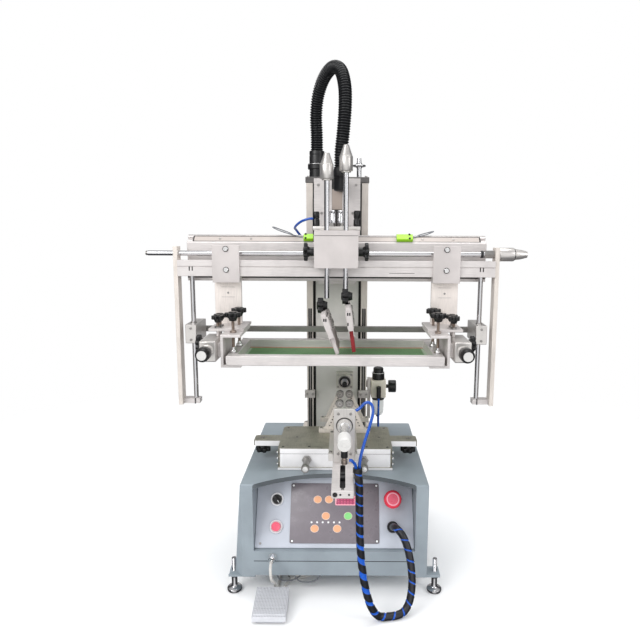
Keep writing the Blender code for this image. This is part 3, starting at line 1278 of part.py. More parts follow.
def make_sensors():
    """The travel sensors clamped in the slot of the beam's sloping edge."""
    turn = (math.radians(45), 0.0, 0.0)
    rise = BEAM_TOP - BEAM_SHOULDER
    out = (SEAT + SENSOR_THICKNESS / 2) * math.sqrt(0.5)
    y = BEAM_FRONT + rise / 2 - out
    z = BEAM_SHOULDER + rise / 2 + out
    for side_name, _ in SIDES:
        block(
            "limit_sensor_" + side_name, around(SENSOR_X[side_name], SENSOR_LENGTH[side_name] / 2),
            around(y, SENSOR_WIDTH / 2), around(z, SENSOR_THICKNESS / 2), "green_plastic", "head", OVERLAP, turn,
        )


def make_stroke_set(name, sizes):
    """A rod with its cone, the tilted holder with its knob, and the blade clamped in the holder's jaw."""
    x, y = sizes["rod_x"], STROKE_ROD_Y
    top = sizes["top"]
    barrel = top - CONE_LENGTH
    collar = barrel - CONE_BARREL
    made = turned(name + "_rod", [
        (0, top), (CONE_TIP_RADIUS, top), (CONE_RADIUS, barrel), (CONE_RADIUS, collar), (CONE_COLLAR_RADIUS, collar),
        (CONE_COLLAR_RADIUS, collar - CONE_COLLAR), (STROKE_ROD_RADIUS, collar - CONE_COLLAR),
        (STROKE_ROD_RADIUS, sizes["rod_bottom"] - 0.012), (0, sizes["rod_bottom"] - 0.012),
    ], (x, y, 0.0), "chrome", name)
    pivot = Vector((sizes["pivot"][0], y, sizes["pivot"][1]))
    down = Vector((math.sin(sizes["tilt"]), 0.0, -math.cos(sizes["tilt"])))
    turn = (0.0, -sizes["tilt"], 0.0)

    def leaf(part, start, end, thickness, length, edge=0.0, finish="white_metal"):
        middle = pivot + down * (start + end) / 2
        return block(
            f"{name}_{part}", around(middle.x, thickness / 2), around(middle.y, length / 2),
            around(middle.z, (end - start) / 2), finish, name, edge, turn,
        )

    clamp_start, clamp_end = sizes["clamp"]
    knob = plate(
        name + "_knob", lobed(TILT_KNOB_RADIUS, 6, 0.12), sizes["knob"][1] - sizes["knob"][0],
        (sum(sizes["knob"]) / 2, y, pivot.z), "black_plastic", name, ALONG_X,
    )
    neck = leaf("neck", -0.004, clamp_start + OVERLAP, HOLDER_THICKNESS * 0.8, 0.030)
    crest = leaf("crest", clamp_start, clamp_start + HOLDER_CREST, HOLDER_THICKNESS * 0.7, HOLDER_LENGTH)
    clamp = leaf("clamp", clamp_start + HOLDER_CREST - OVERLAP, clamp_end, HOLDER_THICKNESS, HOLDER_LENGTH, OVERLAP * 2)
    jaw = leaf("jaw", clamp_end - OVERLAP * 3, sizes["jaw"], JAW_THICKNESS, HOLDER_LENGTH)
    join(made, knob, neck, crest, clamp, jaw)
    held_from = sizes["jaw"] - BLADE_HELD
    slot_half = BLADE_THICKNESS / 2 + SEAT
    cut(made, leaf("slot", held_from - SEAT, sizes["jaw"] + 0.01, 2 * slot_half, HOLDER_LENGTH + 0.01))
    tip = (pivot.z - sizes["tip_z"]) / math.cos(sizes["tilt"])
    finish = "squeegee_rubber" if name == "squeegee" else "white_metal"
    leaf("blade", held_from, tip, BLADE_THICKNESS, BLADE_LENGTH, 0.0, finish)


def make_carriage_bar():
    """The grooved front bar with the two bearing blocks that run on the beam's rail."""
    half = END_BAR_INNER - SEAT
    back = BAR_FRONT + BAR_THICKNESS
    bar = block(
        "carriage_bar", (-half, half), (BAR_FRONT, back), (BAR_BOTTOM, BAR_TOP), "aluminium", "carriage",
    )
    cut(bar, block(
        "bar_groove", (-half - 0.01, half + 0.01), (BAR_FRONT - BAR_GROOVE, BAR_FRONT + BAR_GROOVE),
        around(BAR_GROOVE_Z, BAR_GROOVE / 2), body="carriage",
    ))
    for side_name, side in SIDES:
        bearing_z = around(RAIL_Z, BEARING_HALF_HEIGHT)
        join(bar, block(
            "bearing_" + side_name, around(side * BEARING_X, BEARING_HALF), (back - OVERLAP, BEARING_BACK), bearing_z,
            body="carriage",
        ))
    rail_front = BEAM_FRONT + BEAM_RECESS_DEPTH - RAIL_THICKNESS
    cut(bar, block(
        "bearing_way", (-RAIL_HALF, RAIL_HALF), (rail_front - RAIL_PLAY, BEARING_BACK + 0.01),
        around(RAIL_Z, RAIL_HEIGHT / 2 + RAIL_PLAY), body="carriage",
    ))


def make_drive_rod():
    """The long round bar across the carriage, with its collar and cone nut at the right end."""
    inner = END_BAR_INNER - SEAT
    outer = END_BAR_INNER + END_BAR_THICKNESS + SEAT
    turned("drive_rod", [
        (0, DRIVE_ROD_HALF), (DRIVE_TIP_RADIUS, DRIVE_ROD_HALF), (DRIVE_NUT_RADIUS, DRIVE_NUT_END),
        (DRIVE_NUT_RADIUS, outer), (DRIVE_ROD_RADIUS, outer), (DRIVE_ROD_RADIUS, inner), (DRIVE_COLLAR_RADIUS, inner),
        (DRIVE_COLLAR_RADIUS, DRIVE_COLLAR_INNER), (DRIVE_ROD_RADIUS, DRIVE_COLLAR_INNER),
        (DRIVE_ROD_RADIUS, -DRIVE_ROD_HALF), (0, -DRIVE_ROD_HALF),
    ], (0.0, DRIVE_ROD_Y, DRIVE_ROD_Z), "chrome", "carriage", (0.0, math.radians(90), 0.0))


def make_end_frame(side_name, side):
    """An end bar with its guide rod, the two brackets that hold the rod and the slider block on it."""
    end_bar = block(
        "end_frame_" + side_name, span(side, END_BAR_INNER, END_BAR_INNER + END_BAR_THICKNESS),
        (END_BAR_FRONT, END_BAR_FRONT + END_BAR_DEPTH), (END_BAR_BOTTOM, END_BAR_TOP), "beige_metal", "carriage",
    )
    bracket_x = span(side, BRACKET_INNER, END_BAR_INNER + OVERLAP)
    bracket_y = around(GUIDE_ROD_Y, BRACKET_HALF_DEPTH)
    tools = []
    for number, low in enumerate((END_BAR_BOTTOM, GUIDE_ROD_TOP - BRACKET_HEIGHT)):
        tools.append(block(
            f"bracket_{number}_{side_name}", bracket_x, bracket_y, (low, low + BRACKET_HEIGHT), body="carriage",
        ))
    x = side * GUIDE_ROD_X
    tools.append(rod(
        "guide_rod_" + side_name, (x, GUIDE_ROD_Y, END_BAR_BOTTOM + OVERLAP), (x, GUIDE_ROD_Y, GUIDE_ROD_TOP - OVERLAP),
        GUIDE_ROD_RADIUS, body="carriage", sides=20,
    ))
    tools.append(block(
        "slider_" + side_name, around(x, SLIDER_HALF), (SLIDER_FRONT, SLIDER_BACK), (SLIDER_BOTTOM, SLIDER_TOP),
        body="carriage", edge=OVERLAP,
    ))
    join(end_bar, *tools)
    cut(end_bar, rod(
        "drive_bore_" + side_name, (side * (END_BAR_INNER - 0.01), DRIVE_ROD_Y, DRIVE_ROD_Z),
        (side * (END_BAR_INNER + 0.02), DRIVE_ROD_Y, DRIVE_ROD_Z), DRIVE_ROD_RADIUS + BORE_PLAY, body="carriage",
    ))


def make_cross_bar():
    front = SLIDER_BACK + SEAT
    block(
        "cross_bar", (-CROSS_BAR_HALF, CROSS_BAR_HALF), (front, front + CROSS_BAR_THICKNESS),
        (CROSS_BAR_BOTTOM, CROSS_BAR_TOP), "beige_metal", "carriage",
    )


def make_hanger(side_name, side):
    """The plate in front of the carriage bar, folded under it to the arm behind, and the foot on the clamp."""
    plate_x = around(side * HANGER_X, HANGER_HALF)
    front = BAR_FRONT - SEAT - HANGER_PLATE
    arm_front = BAR_FRONT + BAR_THICKNESS + SEAT
    foot_bottom = CHANNEL_TOP + SEAT
    foot_top = foot_bottom + HANGER_FOOT
    hanger = block(
        "hanger_" + side_name, plate_x, (front, front + HANGER_PLATE), (HANGER_PLATE_BOTTOM, HANGER_PLATE_TOP),
        "aluminium", "carriage",
    )
    fold = block(
        "hanger_fold_" + side_name, plate_x, (front + OVERLAP, arm_front + OVERLAP),
        (HANGER_PLATE_BOTTOM, BAR_BOTTOM - SEAT), body="carriage",
    )
    arm = block(
        "hanger_arm_" + side_name, plate_x, (arm_front, arm_front + HANGER_ARM), (foot_top - OVERLAP, HANGER_ARM_TOP),
        body="carriage",
    )
    foot = block(
        "hanger_foot_" + side_name, span(side, HANGER_FOOT_INNER, HANGER_X + HANGER_HALF),
        (HANGER_FOOT_FRONT, HANGER_FOOT_BACK), (foot_bottom, foot_top), body="carriage",
    )
    join(hanger, fold, arm, foot)
    for number, y in enumerate(HANGER_BOLT_YS):
        join(hanger, star_knob(
            f"hanger_knob_{number}_{side_name}", (side * HANGER_BOLT_X, y, HANGER_KNOB_Z), LEVEL, HANGER_KNOB_RADIUS,
            HANGER_KNOB_HEIGHT, HANGER_KNOB_Z - ADJUSTER_TOP - SEAT, CLAMP_SCREW_RADIUS, "carriage",
        ))
    screw_y = CLAMP_SCREW_YS[1]
    cut(hanger, rod(
        "hanger_hole_" + side_name, (side * CLAMP_SCREW_X, screw_y, foot_bottom - 0.01),
        (side * CLAMP_SCREW_X, screw_y, foot_top + 0.01), CLAMP_SCREW_RADIUS + BORE_PLAY, body="carriage", sides=16,
    ))


def make_frame_clamp(side_name, side):
    """A channel round the screen frame's side bar, its two clamp screws and the adjuster block outside it."""
    web_inner = CHANNEL_OUTER - CHANNEL_WEB
    clamp = block(
        "frame_clamp_" + side_name, span(side, CHANNEL_OUTER - CHANNEL_WIDTH, CHANNEL_OUTER),
        (CHANNEL_FRONT, CHANNEL_BACK), (CHANNEL_BOTTOM, CHANNEL_TOP), "white_metal", "carriage",
    )
    cut(clamp, block(
        "channel_room_" + side_name, span(side, CHANNEL_OUTER - 2 * CHANNEL_WIDTH, web_inner),
        (CHANNEL_FRONT - 0.01, CHANNEL_BACK + 0.01),
        (CHANNEL_BOTTOM + CHANNEL_FLANGE, CHANNEL_TOP - CHANNEL_FLANGE), body="carriage",
    ))
    pad_bottom = SCREEN_BOTTOM + SCREEN_HEIGHT + SEAT
    for number, y in enumerate(CLAMP_SCREW_YS):
        x = side * CLAMP_SCREW_X
        pad = rod(
            f"clamp_pad_{number}_{side_name}", (x, y, pad_bottom), (x, y, pad_bottom + CLAMP_PAD_HEIGHT),
            CLAMP_PAD_RADIUS, body="carriage", sides=16,
        )
        knob = star_knob(
            f"clamp_knob_{number}_{side_name}", (x, y, CLAMP_KNOB_Z), LEVEL, CLAMP_KNOB_RADIUS, CLAMP_KNOB_HEIGHT,
            CLAMP_KNOB_Z - pad_bottom - CLAMP_PAD_HEIGHT / 2, CLAMP_SCREW_RADIUS, "carriage",
        )
        join(clamp, pad, knob)
    middle_y = (ADJUSTER_FRONT + ADJUSTER_BACK) / 2
    neck = block(
        "adjuster_neck_" + side_name, span(side, CHANNEL_OUTER - OVERLAP, ADJUSTER_INNER + OVERLAP),
        around(middle_y, ADJUSTER_NECK_HALF), (ADJUSTER_BOTTOM + 0.008, ADJUSTER_TOP - 0.008), body="carriage",
    )
    adjuster = block(
        "adjuster_" + side_name, span(side, ADJUSTER_INNER, ADJUSTER_OUTER), (ADJUSTER_FRONT, ADJUSTER_BACK),
        (ADJUSTER_BOTTOM, ADJUSTER_TOP), body="carriage", edge=0.002,
    )
    x = side * (ADJUSTER_INNER + ADJUSTER_OUTER) / 2
    shaft = rod(
        "adjuster_shaft_" + side_name, (x, ADJUSTER_FRONT + OVERLAP, ADJUSTER_Z),
        (x, ADJUSTER_KNOB_FRONT + ADJUSTER_KNOB_LENGTH / 2, ADJUSTER_Z), ADJUSTER_SHAFT_RADIUS, body="carriage",
    )
    knob = turned("adjuster_knob_" + side_name, [
        (0, ADJUSTER_KNOB_LENGTH), (ADJUSTER_KNOB_RADIUS - 0.002, ADJUSTER_KNOB_LENGTH),
        (ADJUSTER_KNOB_RADIUS, ADJUSTER_KNOB_LENGTH - 0.002), (ADJUSTER_KNOB_RADIUS, 0), (0, 0),
    ], (x, ADJUSTER_KNOB_FRONT + ADJUSTER_KNOB_LENGTH, ADJUSTER_Z), body="carriage", turn=FACING_FRONT)
    lock_turn = (0.0, math.radians(90) * side, 0.0)
    lock = star_knob(
        "lock_knob_" + side_name, (side * (ADJUSTER_OUTER + LOCK_KNOB_STEM), LOCK_KNOB_Y, LOCK_KNOB_Z), lock_turn,
        LOCK_KNOB_RADIUS, LOCK_KNOB_HEIGHT, LOCK_KNOB_STEM + OVERLAP, CLAMP_SCREW_RADIUS, "carriage",
    )
    join(clamp, neck, adjuster, shaft, knob, lock)


def make_screen():
    """The aluminium screen frame and the stretched mesh in its lower opening."""
    top = SCREEN_BOTTOM + SCREEN_HEIGHT
    back = SCREEN_FRONT + SCREEN_DEPTH
    frame = block(
        "screen_frame", (-SCREEN_HALF, SCREEN_HALF), (SCREEN_FRONT, back), (SCREEN_BOTTOM, top), "white_metal",
        "carriage", OVERLAP,
    )
    inner_x = SCREEN_HALF - SCREEN_BAR
    inner_y = (SCREEN_FRONT + SCREEN_BAR, back - SCREEN_BAR)
    cut(frame, block("screen_opening", (-inner_x, inner_x), inner_y, (SCREEN_BOTTOM - 0.01, top + 0.01), body="carriage"))
    block(
        "screen_mesh", (-inner_x + SEAT, inner_x - SEAT), (inner_y[0] + SEAT, inner_y[1] - SEAT),
        (SCREEN_BOTTOM + SEAT, SCREEN_BOTTOM + SEAT + MESH_THICKNESS), "screen_green", "carriage",
    )


def make_pedal():
    """A foot switch: a base plate with two hinge lugs and a pin, and the ribbed treadle over it."""
    back = PEDAL_FRONT + PEDAL_DEPTH
    half = PEDAL_WIDTH / 2
    pin_y = back - PEDAL_PIN_INSET
    base_back = back - PEDAL_BASE_MARGIN
    base = block(
        "pedal_base", around(PEDAL_X, half - PEDAL_BASE_MARGIN), (PEDAL_FRONT + PEDAL_BASE_MARGIN, base_back),
        (0.0, PEDAL_BASE), "grey_plastic",
    )
    for side_name, side in SIDES:
        lug_x = around(PEDAL_X + side * PEDAL_LUG_X, PEDAL_LUG_WIDTH / 2)
        join(
            base,
            block(
                "lug_" + side_name, lug_x, around(pin_y, PEDAL_LUG_RADIUS * 0.92),
                (PEDAL_BASE - OVERLAP, PEDAL_PIN_Z),
            ),
            rod("lug_eye_" + side_name, (lug_x[0], pin_y, PEDAL_PIN_Z), (lug_x[1], pin_y, PEDAL_PIN_Z), PEDAL_LUG_RADIUS),
        )
    pin = rod(
        "pedal_pin", (PEDAL_X - half + SEAT, pin_y, PEDAL_PIN_Z), (PEDAL_X + half - SEAT, pin_y, PEDAL_PIN_Z),
        PEDAL_PIN_RADIUS, sides=12,
    )
    gland = block(
        "pedal_gland", around(PEDAL_GLAND_X, PEDAL_GLAND_HALF), (base_back - 2 * PEDAL_GLAND_HALF, base_back),
        (0.0, PEDAL_GLAND_HEIGHT),
    )
    join(base, pin, gland)

    def section(wall, skirt):
        return [
            (PEDAL_FRONT + wall, skirt), (back - wall, skirt), (back - wall, PEDAL_BACK_TOP - wall),
            (PEDAL_FRONT + wall, PEDAL_FRONT_TOP - wall),
        ]

    treadle = extruded_x("pedal_treadle", section(0.0, PEDAL_SKIRT), around(PEDAL_X, half), "grey_plastic", "treadle")
    room = extruded_x(
        "pedal_room", section(PEDAL_WALL, PEDAL_SKIRT - 0.01), around(PEDAL_X, half - PEDAL_WALL), body="treadle",
    )
    eye = rod(
        "pedal_eye", (PEDAL_X - half - 0.01, pin_y, PEDAL_PIN_Z), (PEDAL_X + half + 0.01, pin_y, PEDAL_PIN_Z),
        PEDAL_PIN_RADIUS + BORE_PLAY, body="treadle", sides=12,
    )
    cut(treadle, room, eye)
    rise = (PEDAL_BACK_TOP - PEDAL_FRONT_TOP) / PEDAL_DEPTH
    for number in range(PEDAL_RIBS):
        y = PEDAL_FRONT + PEDAL_DEPTH * (number + 0.5) / PEDAL_RIBS
        z = PEDAL_FRONT_TOP + rise * (y - PEDAL_FRONT)
        join(treadle, block(
            f"pedal_rib_{number}", around(PEDAL_X, half - PEDAL_WALL), around(y, PEDAL_RIB_WIDTH / 2),
            (z - PEDAL_RIB, z + PEDAL_RIB), body="treadle", turn=(math.atan(rise), 0.0, 0.0),
        ))


def make_leads():
    """The pedal's socket and lead with its coil, the spiral-wrapped bundle, the air tubes and the hose."""
    turned("pedal_socket", [
        (0, SOCKET_LENGTH), (SOCKET_RADIUS * 0.8, SOCKET_LENGTH), (SOCKET_RADIUS, SOCKET_LENGTH - 0.003),
        (SOCKET_RADIUS, 0.004), (SOCKET_RADIUS * 1.2, 0.004), (SOCKET_RADIUS * 1.2, 0), (0, 0),
    ], (SOCKET_X, FRONT_Y - SEAT, SOCKET_Z), "chrome", turn=FACING_FRONT, steps=16)
    tube("pedal_cord", PEDAL_CORD_ROUTE, PEDAL_CORD_RADIUS, "grey_plastic", ring=1)
    tube("pedal_lead", PEDAL_LEAD_ROUTE, PEDAL_CORD_RADIUS, "grey_plastic", ring=1)
    inner, outer = COIL_RADIUS - COIL_HALF_WIDTH, COIL_RADIUS + COIL_HALF_WIDTH
    turned("pedal_coil", [
        (outer - 0.002, COIL_HEIGHT), (outer, COIL_HEIGHT - 0.002), (outer, 0.002), (outer - 0.002, SEAT),
        (inner + 0.002, SEAT), (inner, 0.002), (inner, COIL_HEIGHT - 0.002), (inner + 0.002, COIL_HEIGHT),
    ], (COIL_X, COIL_Y, 0.0), "grey_plastic", steps=28)
    tube("air_bundle", AIR_BUNDLE_ROUTE, BUNDLE_RADIUS, "blue_tube", spacing=1.6)
    tube("air_loop", AIR_LOOP_ROUTE, AIR_TUBE_RADIUS, "blue_tube", ring=1)
    tube("cylinder_tube", CYLINDER_TUBE_ROUTE, AIR_TUBE_RADIUS, "blue_tube", ring=1)
    tube("regulator_tube", REGULATOR_TUBE_ROUTE, AIR_TUBE_RADIUS, "blue_tube", ring=1)
    tube("head_tube", HEAD_TUBE_ROUTE, AIR_TUBE_RADIUS, "blue_tube", "head", ring=1)
    tube("cable_hose", HOSE_ROUTE, HOSE_RADIUS, "grey_plastic", spacing=0.8)


def main():
    make_finishes()
    make_axes()
    make_cabinet()
    make_feet()
    make_panel()
    make_work_table()
    make_slide()
    make_tailstock()
    make_roller_stand("roller_stand_front", STAND_FRONT_Y)
    make_roller_stand("roller_stand_rear", STAND_REAR_Y)
    make_spindle()
    make_column()
    make_column_top()
    make_regulator()
    make_head_plate()
    make_beam()
    make_yoke()
    make_stroke_cylinders()
    make_hose_elbow()
    make_sensors()
    make_stroke_set("squeegee", SQUEEGEE)
    make_stroke_set("flood", FLOOD)
    make_carriage_bar()
    make_drive_rod()
    for side_name, side in SIDES:
        make_end_frame(side_name, side)
        make_hanger(side_name, side)
        make_frame_clamp(side_name, side)
    make_cross_bar()
    make_screen()
    make_pedal()
    make_leads()


clear_scene()
parts_collection = make_collection("bottle_screen_printing_machine")
tools_collection = make_collection("cutters")
main()
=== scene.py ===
"""Looks of a bottle screen printing machine: finishes, fine shapes, tubes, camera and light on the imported
frame."""

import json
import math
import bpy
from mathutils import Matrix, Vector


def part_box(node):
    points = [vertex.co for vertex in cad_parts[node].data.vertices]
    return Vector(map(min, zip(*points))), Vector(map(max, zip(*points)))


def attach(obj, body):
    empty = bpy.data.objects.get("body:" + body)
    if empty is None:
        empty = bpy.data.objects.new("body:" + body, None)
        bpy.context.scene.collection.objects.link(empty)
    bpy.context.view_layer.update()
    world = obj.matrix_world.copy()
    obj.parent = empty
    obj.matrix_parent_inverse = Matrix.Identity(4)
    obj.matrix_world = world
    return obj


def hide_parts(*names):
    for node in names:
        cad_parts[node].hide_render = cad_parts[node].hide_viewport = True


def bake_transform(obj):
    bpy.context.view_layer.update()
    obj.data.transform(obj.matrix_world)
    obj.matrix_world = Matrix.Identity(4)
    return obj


bl_info = {
    "name": "Bottle Screen Printing Machine",
    "version": (1, 0, 0),
    "blender": (4, 5, 0),
    "location": "View3D > Sidebar > Printing Machine",
    "description": "Builds the visible surfaces of a bottle screen printing machine on its packed frame",
    "category": "Object",
}

import bmesh
import bpy
import numpy as np
from mathutils import Euler, Matrix, Vector

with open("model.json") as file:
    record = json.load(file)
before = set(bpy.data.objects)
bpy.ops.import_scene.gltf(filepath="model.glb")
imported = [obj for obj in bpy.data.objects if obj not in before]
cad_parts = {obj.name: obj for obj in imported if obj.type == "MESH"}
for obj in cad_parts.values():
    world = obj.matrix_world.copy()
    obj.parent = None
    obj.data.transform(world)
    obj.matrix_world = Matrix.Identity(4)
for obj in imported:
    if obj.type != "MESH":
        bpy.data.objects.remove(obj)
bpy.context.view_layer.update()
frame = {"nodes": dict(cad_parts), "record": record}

# Places shared with the frame or by several pieces, in metres
FRONT = -0.117
PANEL_START_Y = FRONT + 0.012
PANEL_START_Z = 0.105
PANEL_TILT = math.radians(29.0)
PANEL_FACE = 0.0026
AXIS_X = 0.021
AXIS_Z = 0.41
FILM_FACE = 0.0036
TABLE_KNOB_X = 0.174
PLUNGER_X = 0.065
TOP_PLATE_FACE = 0.9362
REGULATOR_PLACE = (0.112, 0.23)
SQUEEGEE_Y = 0.0565
CYLINDER_FOOT = 0.8121
HANGER_SCREW_X = 0.272
CLAMP_SCREW_X = 0.232
GUIDE_ROD_PLACE = (0.349, 0.104)
GUIDE_ROD_RADIUS = 0.0056
SIDES = (("left", -1), ("right", 1))

# Directions: up, and out towards the operator
UP = (0, 0, 1)
TO_FRONT = (0, -1, 0)

# Camera worked out from the photograph: its place, its fall below the horizon and its roll
CAMERA_PLACE = (0.021, -1.296, 0.806)
CAMERA_FALL = math.radians(8.93)
CAMERA_ROLL = math.radians(0.27)
CAMERA_LENS = 32.57
CAMERA_SENSOR = 36.0
CAMERA_SHIFT_X = -0.039


def linear(colour):
    """A display colour as the light that it stands for."""
    return tuple(c / 12.92 if c <= 0.04045 else ((c + 0.055) / 1.055) ** 2.4 for c in colour)


# Materials


class Value:
    """One output of a material's node. Python's operators on it add Math nodes to the same tree."""

    def __init__(self, shader, socket):
        self.shader = shader
        self.socket = socket

    def math(self, operation, *others):
        return self.shader.node("ShaderNodeMath", {"operation": operation}, dict(enumerate([self, *others])))

    def __add__(self, other):
        return self.math("ADD", other)

    def __sub__(self, other):
        return self.math("SUBTRACT", other)

    def __mul__(self, other):
        return self.math("MULTIPLY", other)

    def __truediv__(self, other):
        return self.math("DIVIDE", other)

    def __pow__(self, other):
        return self.math("POWER", other)

    def __lt__(self, other):
        return self.math("LESS_THAN", other)

    def __gt__(self, other):
        return self.math("GREATER_THAN", other)

    def __rsub__(self, other):
        return self.shader.node("ShaderNodeMath", {"operation": "SUBTRACT"}, {0: other, 1: self})

    __radd__ = __add__
    __rmul__ = __mul__

    def fraction(self):
        return self.math("FRACT")

    def size(self):
        return self.math("ABSOLUTE")

    def wave(self):
        return self.math("SINE")

    def between(self, low, high):
        """0 below low, 1 above high and a smooth step from one to the other."""
        return self.shader.node(
            "ShaderNodeMapRange", {"interpolation_type": "SMOOTHSTEP"}, {
                "Value": self, "From Min": low, "From Max": high,
            },
        )


class Shader:
    """A material and the one method that adds its nodes."""

    def __init__(self, name, **sockets):
        self.material = bpy.data.materials.new(name)
        self.material.use_nodes = True
        self.tree = self.material.node_tree
        self.surface = self.tree.nodes["Principled BSDF"]
        self.set(**sockets)

    def set(self, **sockets):
        for name, value in sockets.items():
            self.feed(self.surface.inputs[name.replace("_", " ").title().replace("Ior", "IOR")], value)
        return self

    def feed(self, socket, value):
        if isinstance(value, Value):
            self.tree.links.new(value.socket, socket)
        elif isinstance(value, tuple) and len(value) == 3 and socket.type == "RGBA":
            socket.default_value = (*value, 1.0)
        else:
            socket.default_value = value

    def node(self, kind, settings=None, inputs=None, output=0):
        made = self.tree.nodes.new(kind)
        for name, value in (settings or {}).items():
            setattr(made, name, value)
        for name, value in (inputs or {}).items():
            self.feed(made.inputs[name], value)
        return Value(self, made.outputs[output])

    def place(self, scale=(1.0, 1.0, 1.0)):
        """The point of the object, in metres, stretched by a scale on each axis."""
        point = self.node("ShaderNodeTexCoord", output="Object")
        return self.node("ShaderNodeMapping", {}, {"Vector": point, "Scale": scale})

    def axes(self):
        split = self.node("ShaderNodeSeparateXYZ", {}, {0: self.place()}).socket.node
        return [Value(self, split.outputs[index]) for index in range(3)]

    def noise(self, scale, detail=3.0, stretch=(1.0, 1.0, 1.0), roughness=0.55):
        inputs = {"Vector": self.place(stretch), "Scale": scale, "Detail": detail, "Roughness": roughness}
        return self.node("ShaderNodeTexNoise", {}, inputs)

    def mix(self, factor, first, second):
        made = self.tree.nodes.new("ShaderNodeMix")
        made.data_type = "RGBA"
        for socket, value in zip((made.inputs[0], made.inputs[6], made.inputs[7]), (factor, first, second)):
            self.feed(socket, value)
        return Value(self, made.outputs[2])

    def bump(self, height, distance, strength=1.0):
        return self.node("ShaderNodeBump", {}, {"Height": height, "Distance": distance, "Strength": strength})


def shade(colour, amount):
    return tuple(max(0.0, min(1.0, c * amount)) for c in colour)


def powder_coat(name, colour, grain=0.00006):
    """Paint with the fine orange peel of powder coating, uneven by a few percent and dusty in patches."""
    made = Shader(name, specular_ior_level=0.5)
    peel = made.noise(900.0, 2.0)
    patches = made.noise(9.0, 4.0)
    tone = made.mix(patches.between(0.35, 0.68), linear(shade(colour, 0.955)), linear(shade(colour, 1.03)))
    specks = made.noise(1600.0, 1.0).between(0.68, 0.74)
    made.set(
        base_color=made.mix(specks * 0.35, tone, linear(shade(colour, 0.82))),
        roughness=patches * 0.1 + 0.36, normal=made.bump(peel, grain),
    )
    return made.material


def brushed(name, colour, along="X", metallic=0.82, roughness=0.34, depth=0.00001):
    """Metal brushed or extruded along one axis: long fine scratches in its tone, its gloss and its relief."""
    made = Shader(name, metallic=metallic)
    stretch = tuple(0.018 if axis == along else 1.0 for axis in "XYZ")
    lines = made.noise(1500.0, 3.0, stretch)
    smears = made.noise(22.0, 3.0)
    tone = made.mix(lines.between(0.3, 0.7), linear(shade(colour, 0.93)), linear(shade(colour, 1.03)))
    made.set(
        base_color=made.mix(smears.between(0.42, 0.8) * 0.5, tone, linear(shade(colour, 0.86))),
        roughness=lines * 0.16 + smears * 0.08 + (roughness - 0.1), normal=made.bump(lines, depth),
    )
    return made.material


def polished(name, colour, roughness=0.1, scuff=0.1):
    """Chrome or ground steel: nearly a mirror, with faint rings and a few dull smears."""
    made = Shader(name, metallic=1.0)
    rings = made.noise(2200.0, 1.0, (1.0, 1.0, 1.0))
    smears = made.noise(40.0, 4.0).between(0.45, 0.75)
    made.set(
        base_color=made.mix(smears * 0.4, linear(colour), linear(shade(colour, 0.88))),
        roughness=smears * scuff + roughness, normal=made.bump(rings, 0.000004),
    )
    return made.material


def ground_plate(name, colour):
    """The table's plate: ground in crossing arcs, stained with oil in patches."""
    made = Shader(name, metallic=0.55)
    arcs = made.noise(700.0, 2.0, (1.0, 0.05, 1.0))
    cross = made.noise(600.0, 2.0, (0.05, 1.0, 1.0))
    stains = made.noise(26.0, 5.0, roughness=0.65)
    tone = made.mix(stains.between(0.38, 0.72), linear(colour), linear(shade(colour, 0.8)))
    made.set(
        base_color=made.mix((arcs + cross).between(0.85, 1.2) * 0.5, tone, linear(shade(colour, 1.14))),
        roughness=stains * 0.22 + 0.28, normal=made.bump(arcs + cross, 0.00001),
    )
    return made.material


def moulded(name, colour, roughness=0.38, grain=0.00003, scale=1400.0):
    """Moulded plastic: a fine spark-eroded grain, slightly glossier where hands rub it."""
    made = Shader(name, specular_ior_level=0.5)
    grains = made.noise(scale, 2.0)
    rubbed = made.noise(60.0, 3.0).between(0.4, 0.7)
    made.set(
        base_color=made.mix(rubbed * 0.35, linear(colour), linear(shade(colour, 1.12))),
        roughness=roughness - rubbed * 0.08, normal=made.bump(grains, grain),
    )
    return made.material


def ribbed_tread(name, colour, pitch):
    """Moulded plastic whose top has fine ribs along Y: their relief is a sine of X, and painted shade darkens the
    grooves.
    """
    made = Shader(name, specular_ior_level=0.5)
    x, _, _ = made.axes()
    ribs = (x * (2 * math.pi / pitch)).wave()
    grains = made.noise(1400.0, 2.0)
    # Painted shade: the base colour follows the ribs and is darker in their grooves
    made.set(
        base_color=made.mix(ribs.between(-0.9, 0.1), linear(shade(colour, 0.86)), linear(colour)),
        roughness=grains * 0.08 + 0.4, normal=made.bump(ribs, 0.0005),
    )
    return made.material


def rubber(name, colour):
    made = Shader(name, specular_ior_level=0.35)
    dust = made.noise(120.0, 4.0).between(0.48, 0.75)
    made.set(
        base_color=made.mix(dust * 0.3, linear(colour), linear(shade(colour, 1.7))),
        roughness=0.48 + dust * 0.2, normal=made.bump(made.noise(900.0, 2.0), 0.00003),
    )
    return made.material


def glossy_tube(name, colour):
    """Polyurethane air tube: clear-coated, a little darker where it has been handled."""
    made = Shader(name, coat_weight=0.4, coat_roughness=0.12)
    handled = made.noise(80.0, 3.0).between(0.4, 0.7)
    made.set(
        base_color=made.mix(handled * 0.5, linear(colour), linear(shade(colour, 0.8))),
        roughness=handled * 0.1 + 0.22, normal=made.bump(made.noise(300.0, 1.0), 0.00003),
    )
    return made.material


def wrapped_bundle(name, band, core):
    """Spiral wrap over blue tubes, told apart by the height that the surface was given, kept as an
    attribute."""
    made = Shader(name, coat_weight=0.3, coat_roughness=0.15)
    raised = made.node("ShaderNodeAttribute", {"attribute_name": "band"}, output="Fac").between(0.35, 0.65)
    grain = made.noise(700.0, 2.0)
    dust = made.noise(60.0, 4.0).between(0.45, 0.7)
    dark = made.mix(dust * 0.35, linear(band), linear(shade(band, 1.8)))
    bright = made.mix(grain.between(0.3, 0.7) * 0.4, linear(core), linear(shade(core, 0.7)))
    made.set(
        base_color=made.mix(raised, bright, dark), roughness=0.28 + raised * 0.12,
        normal=made.bump(grain, 0.00003),
    )
    return made.material


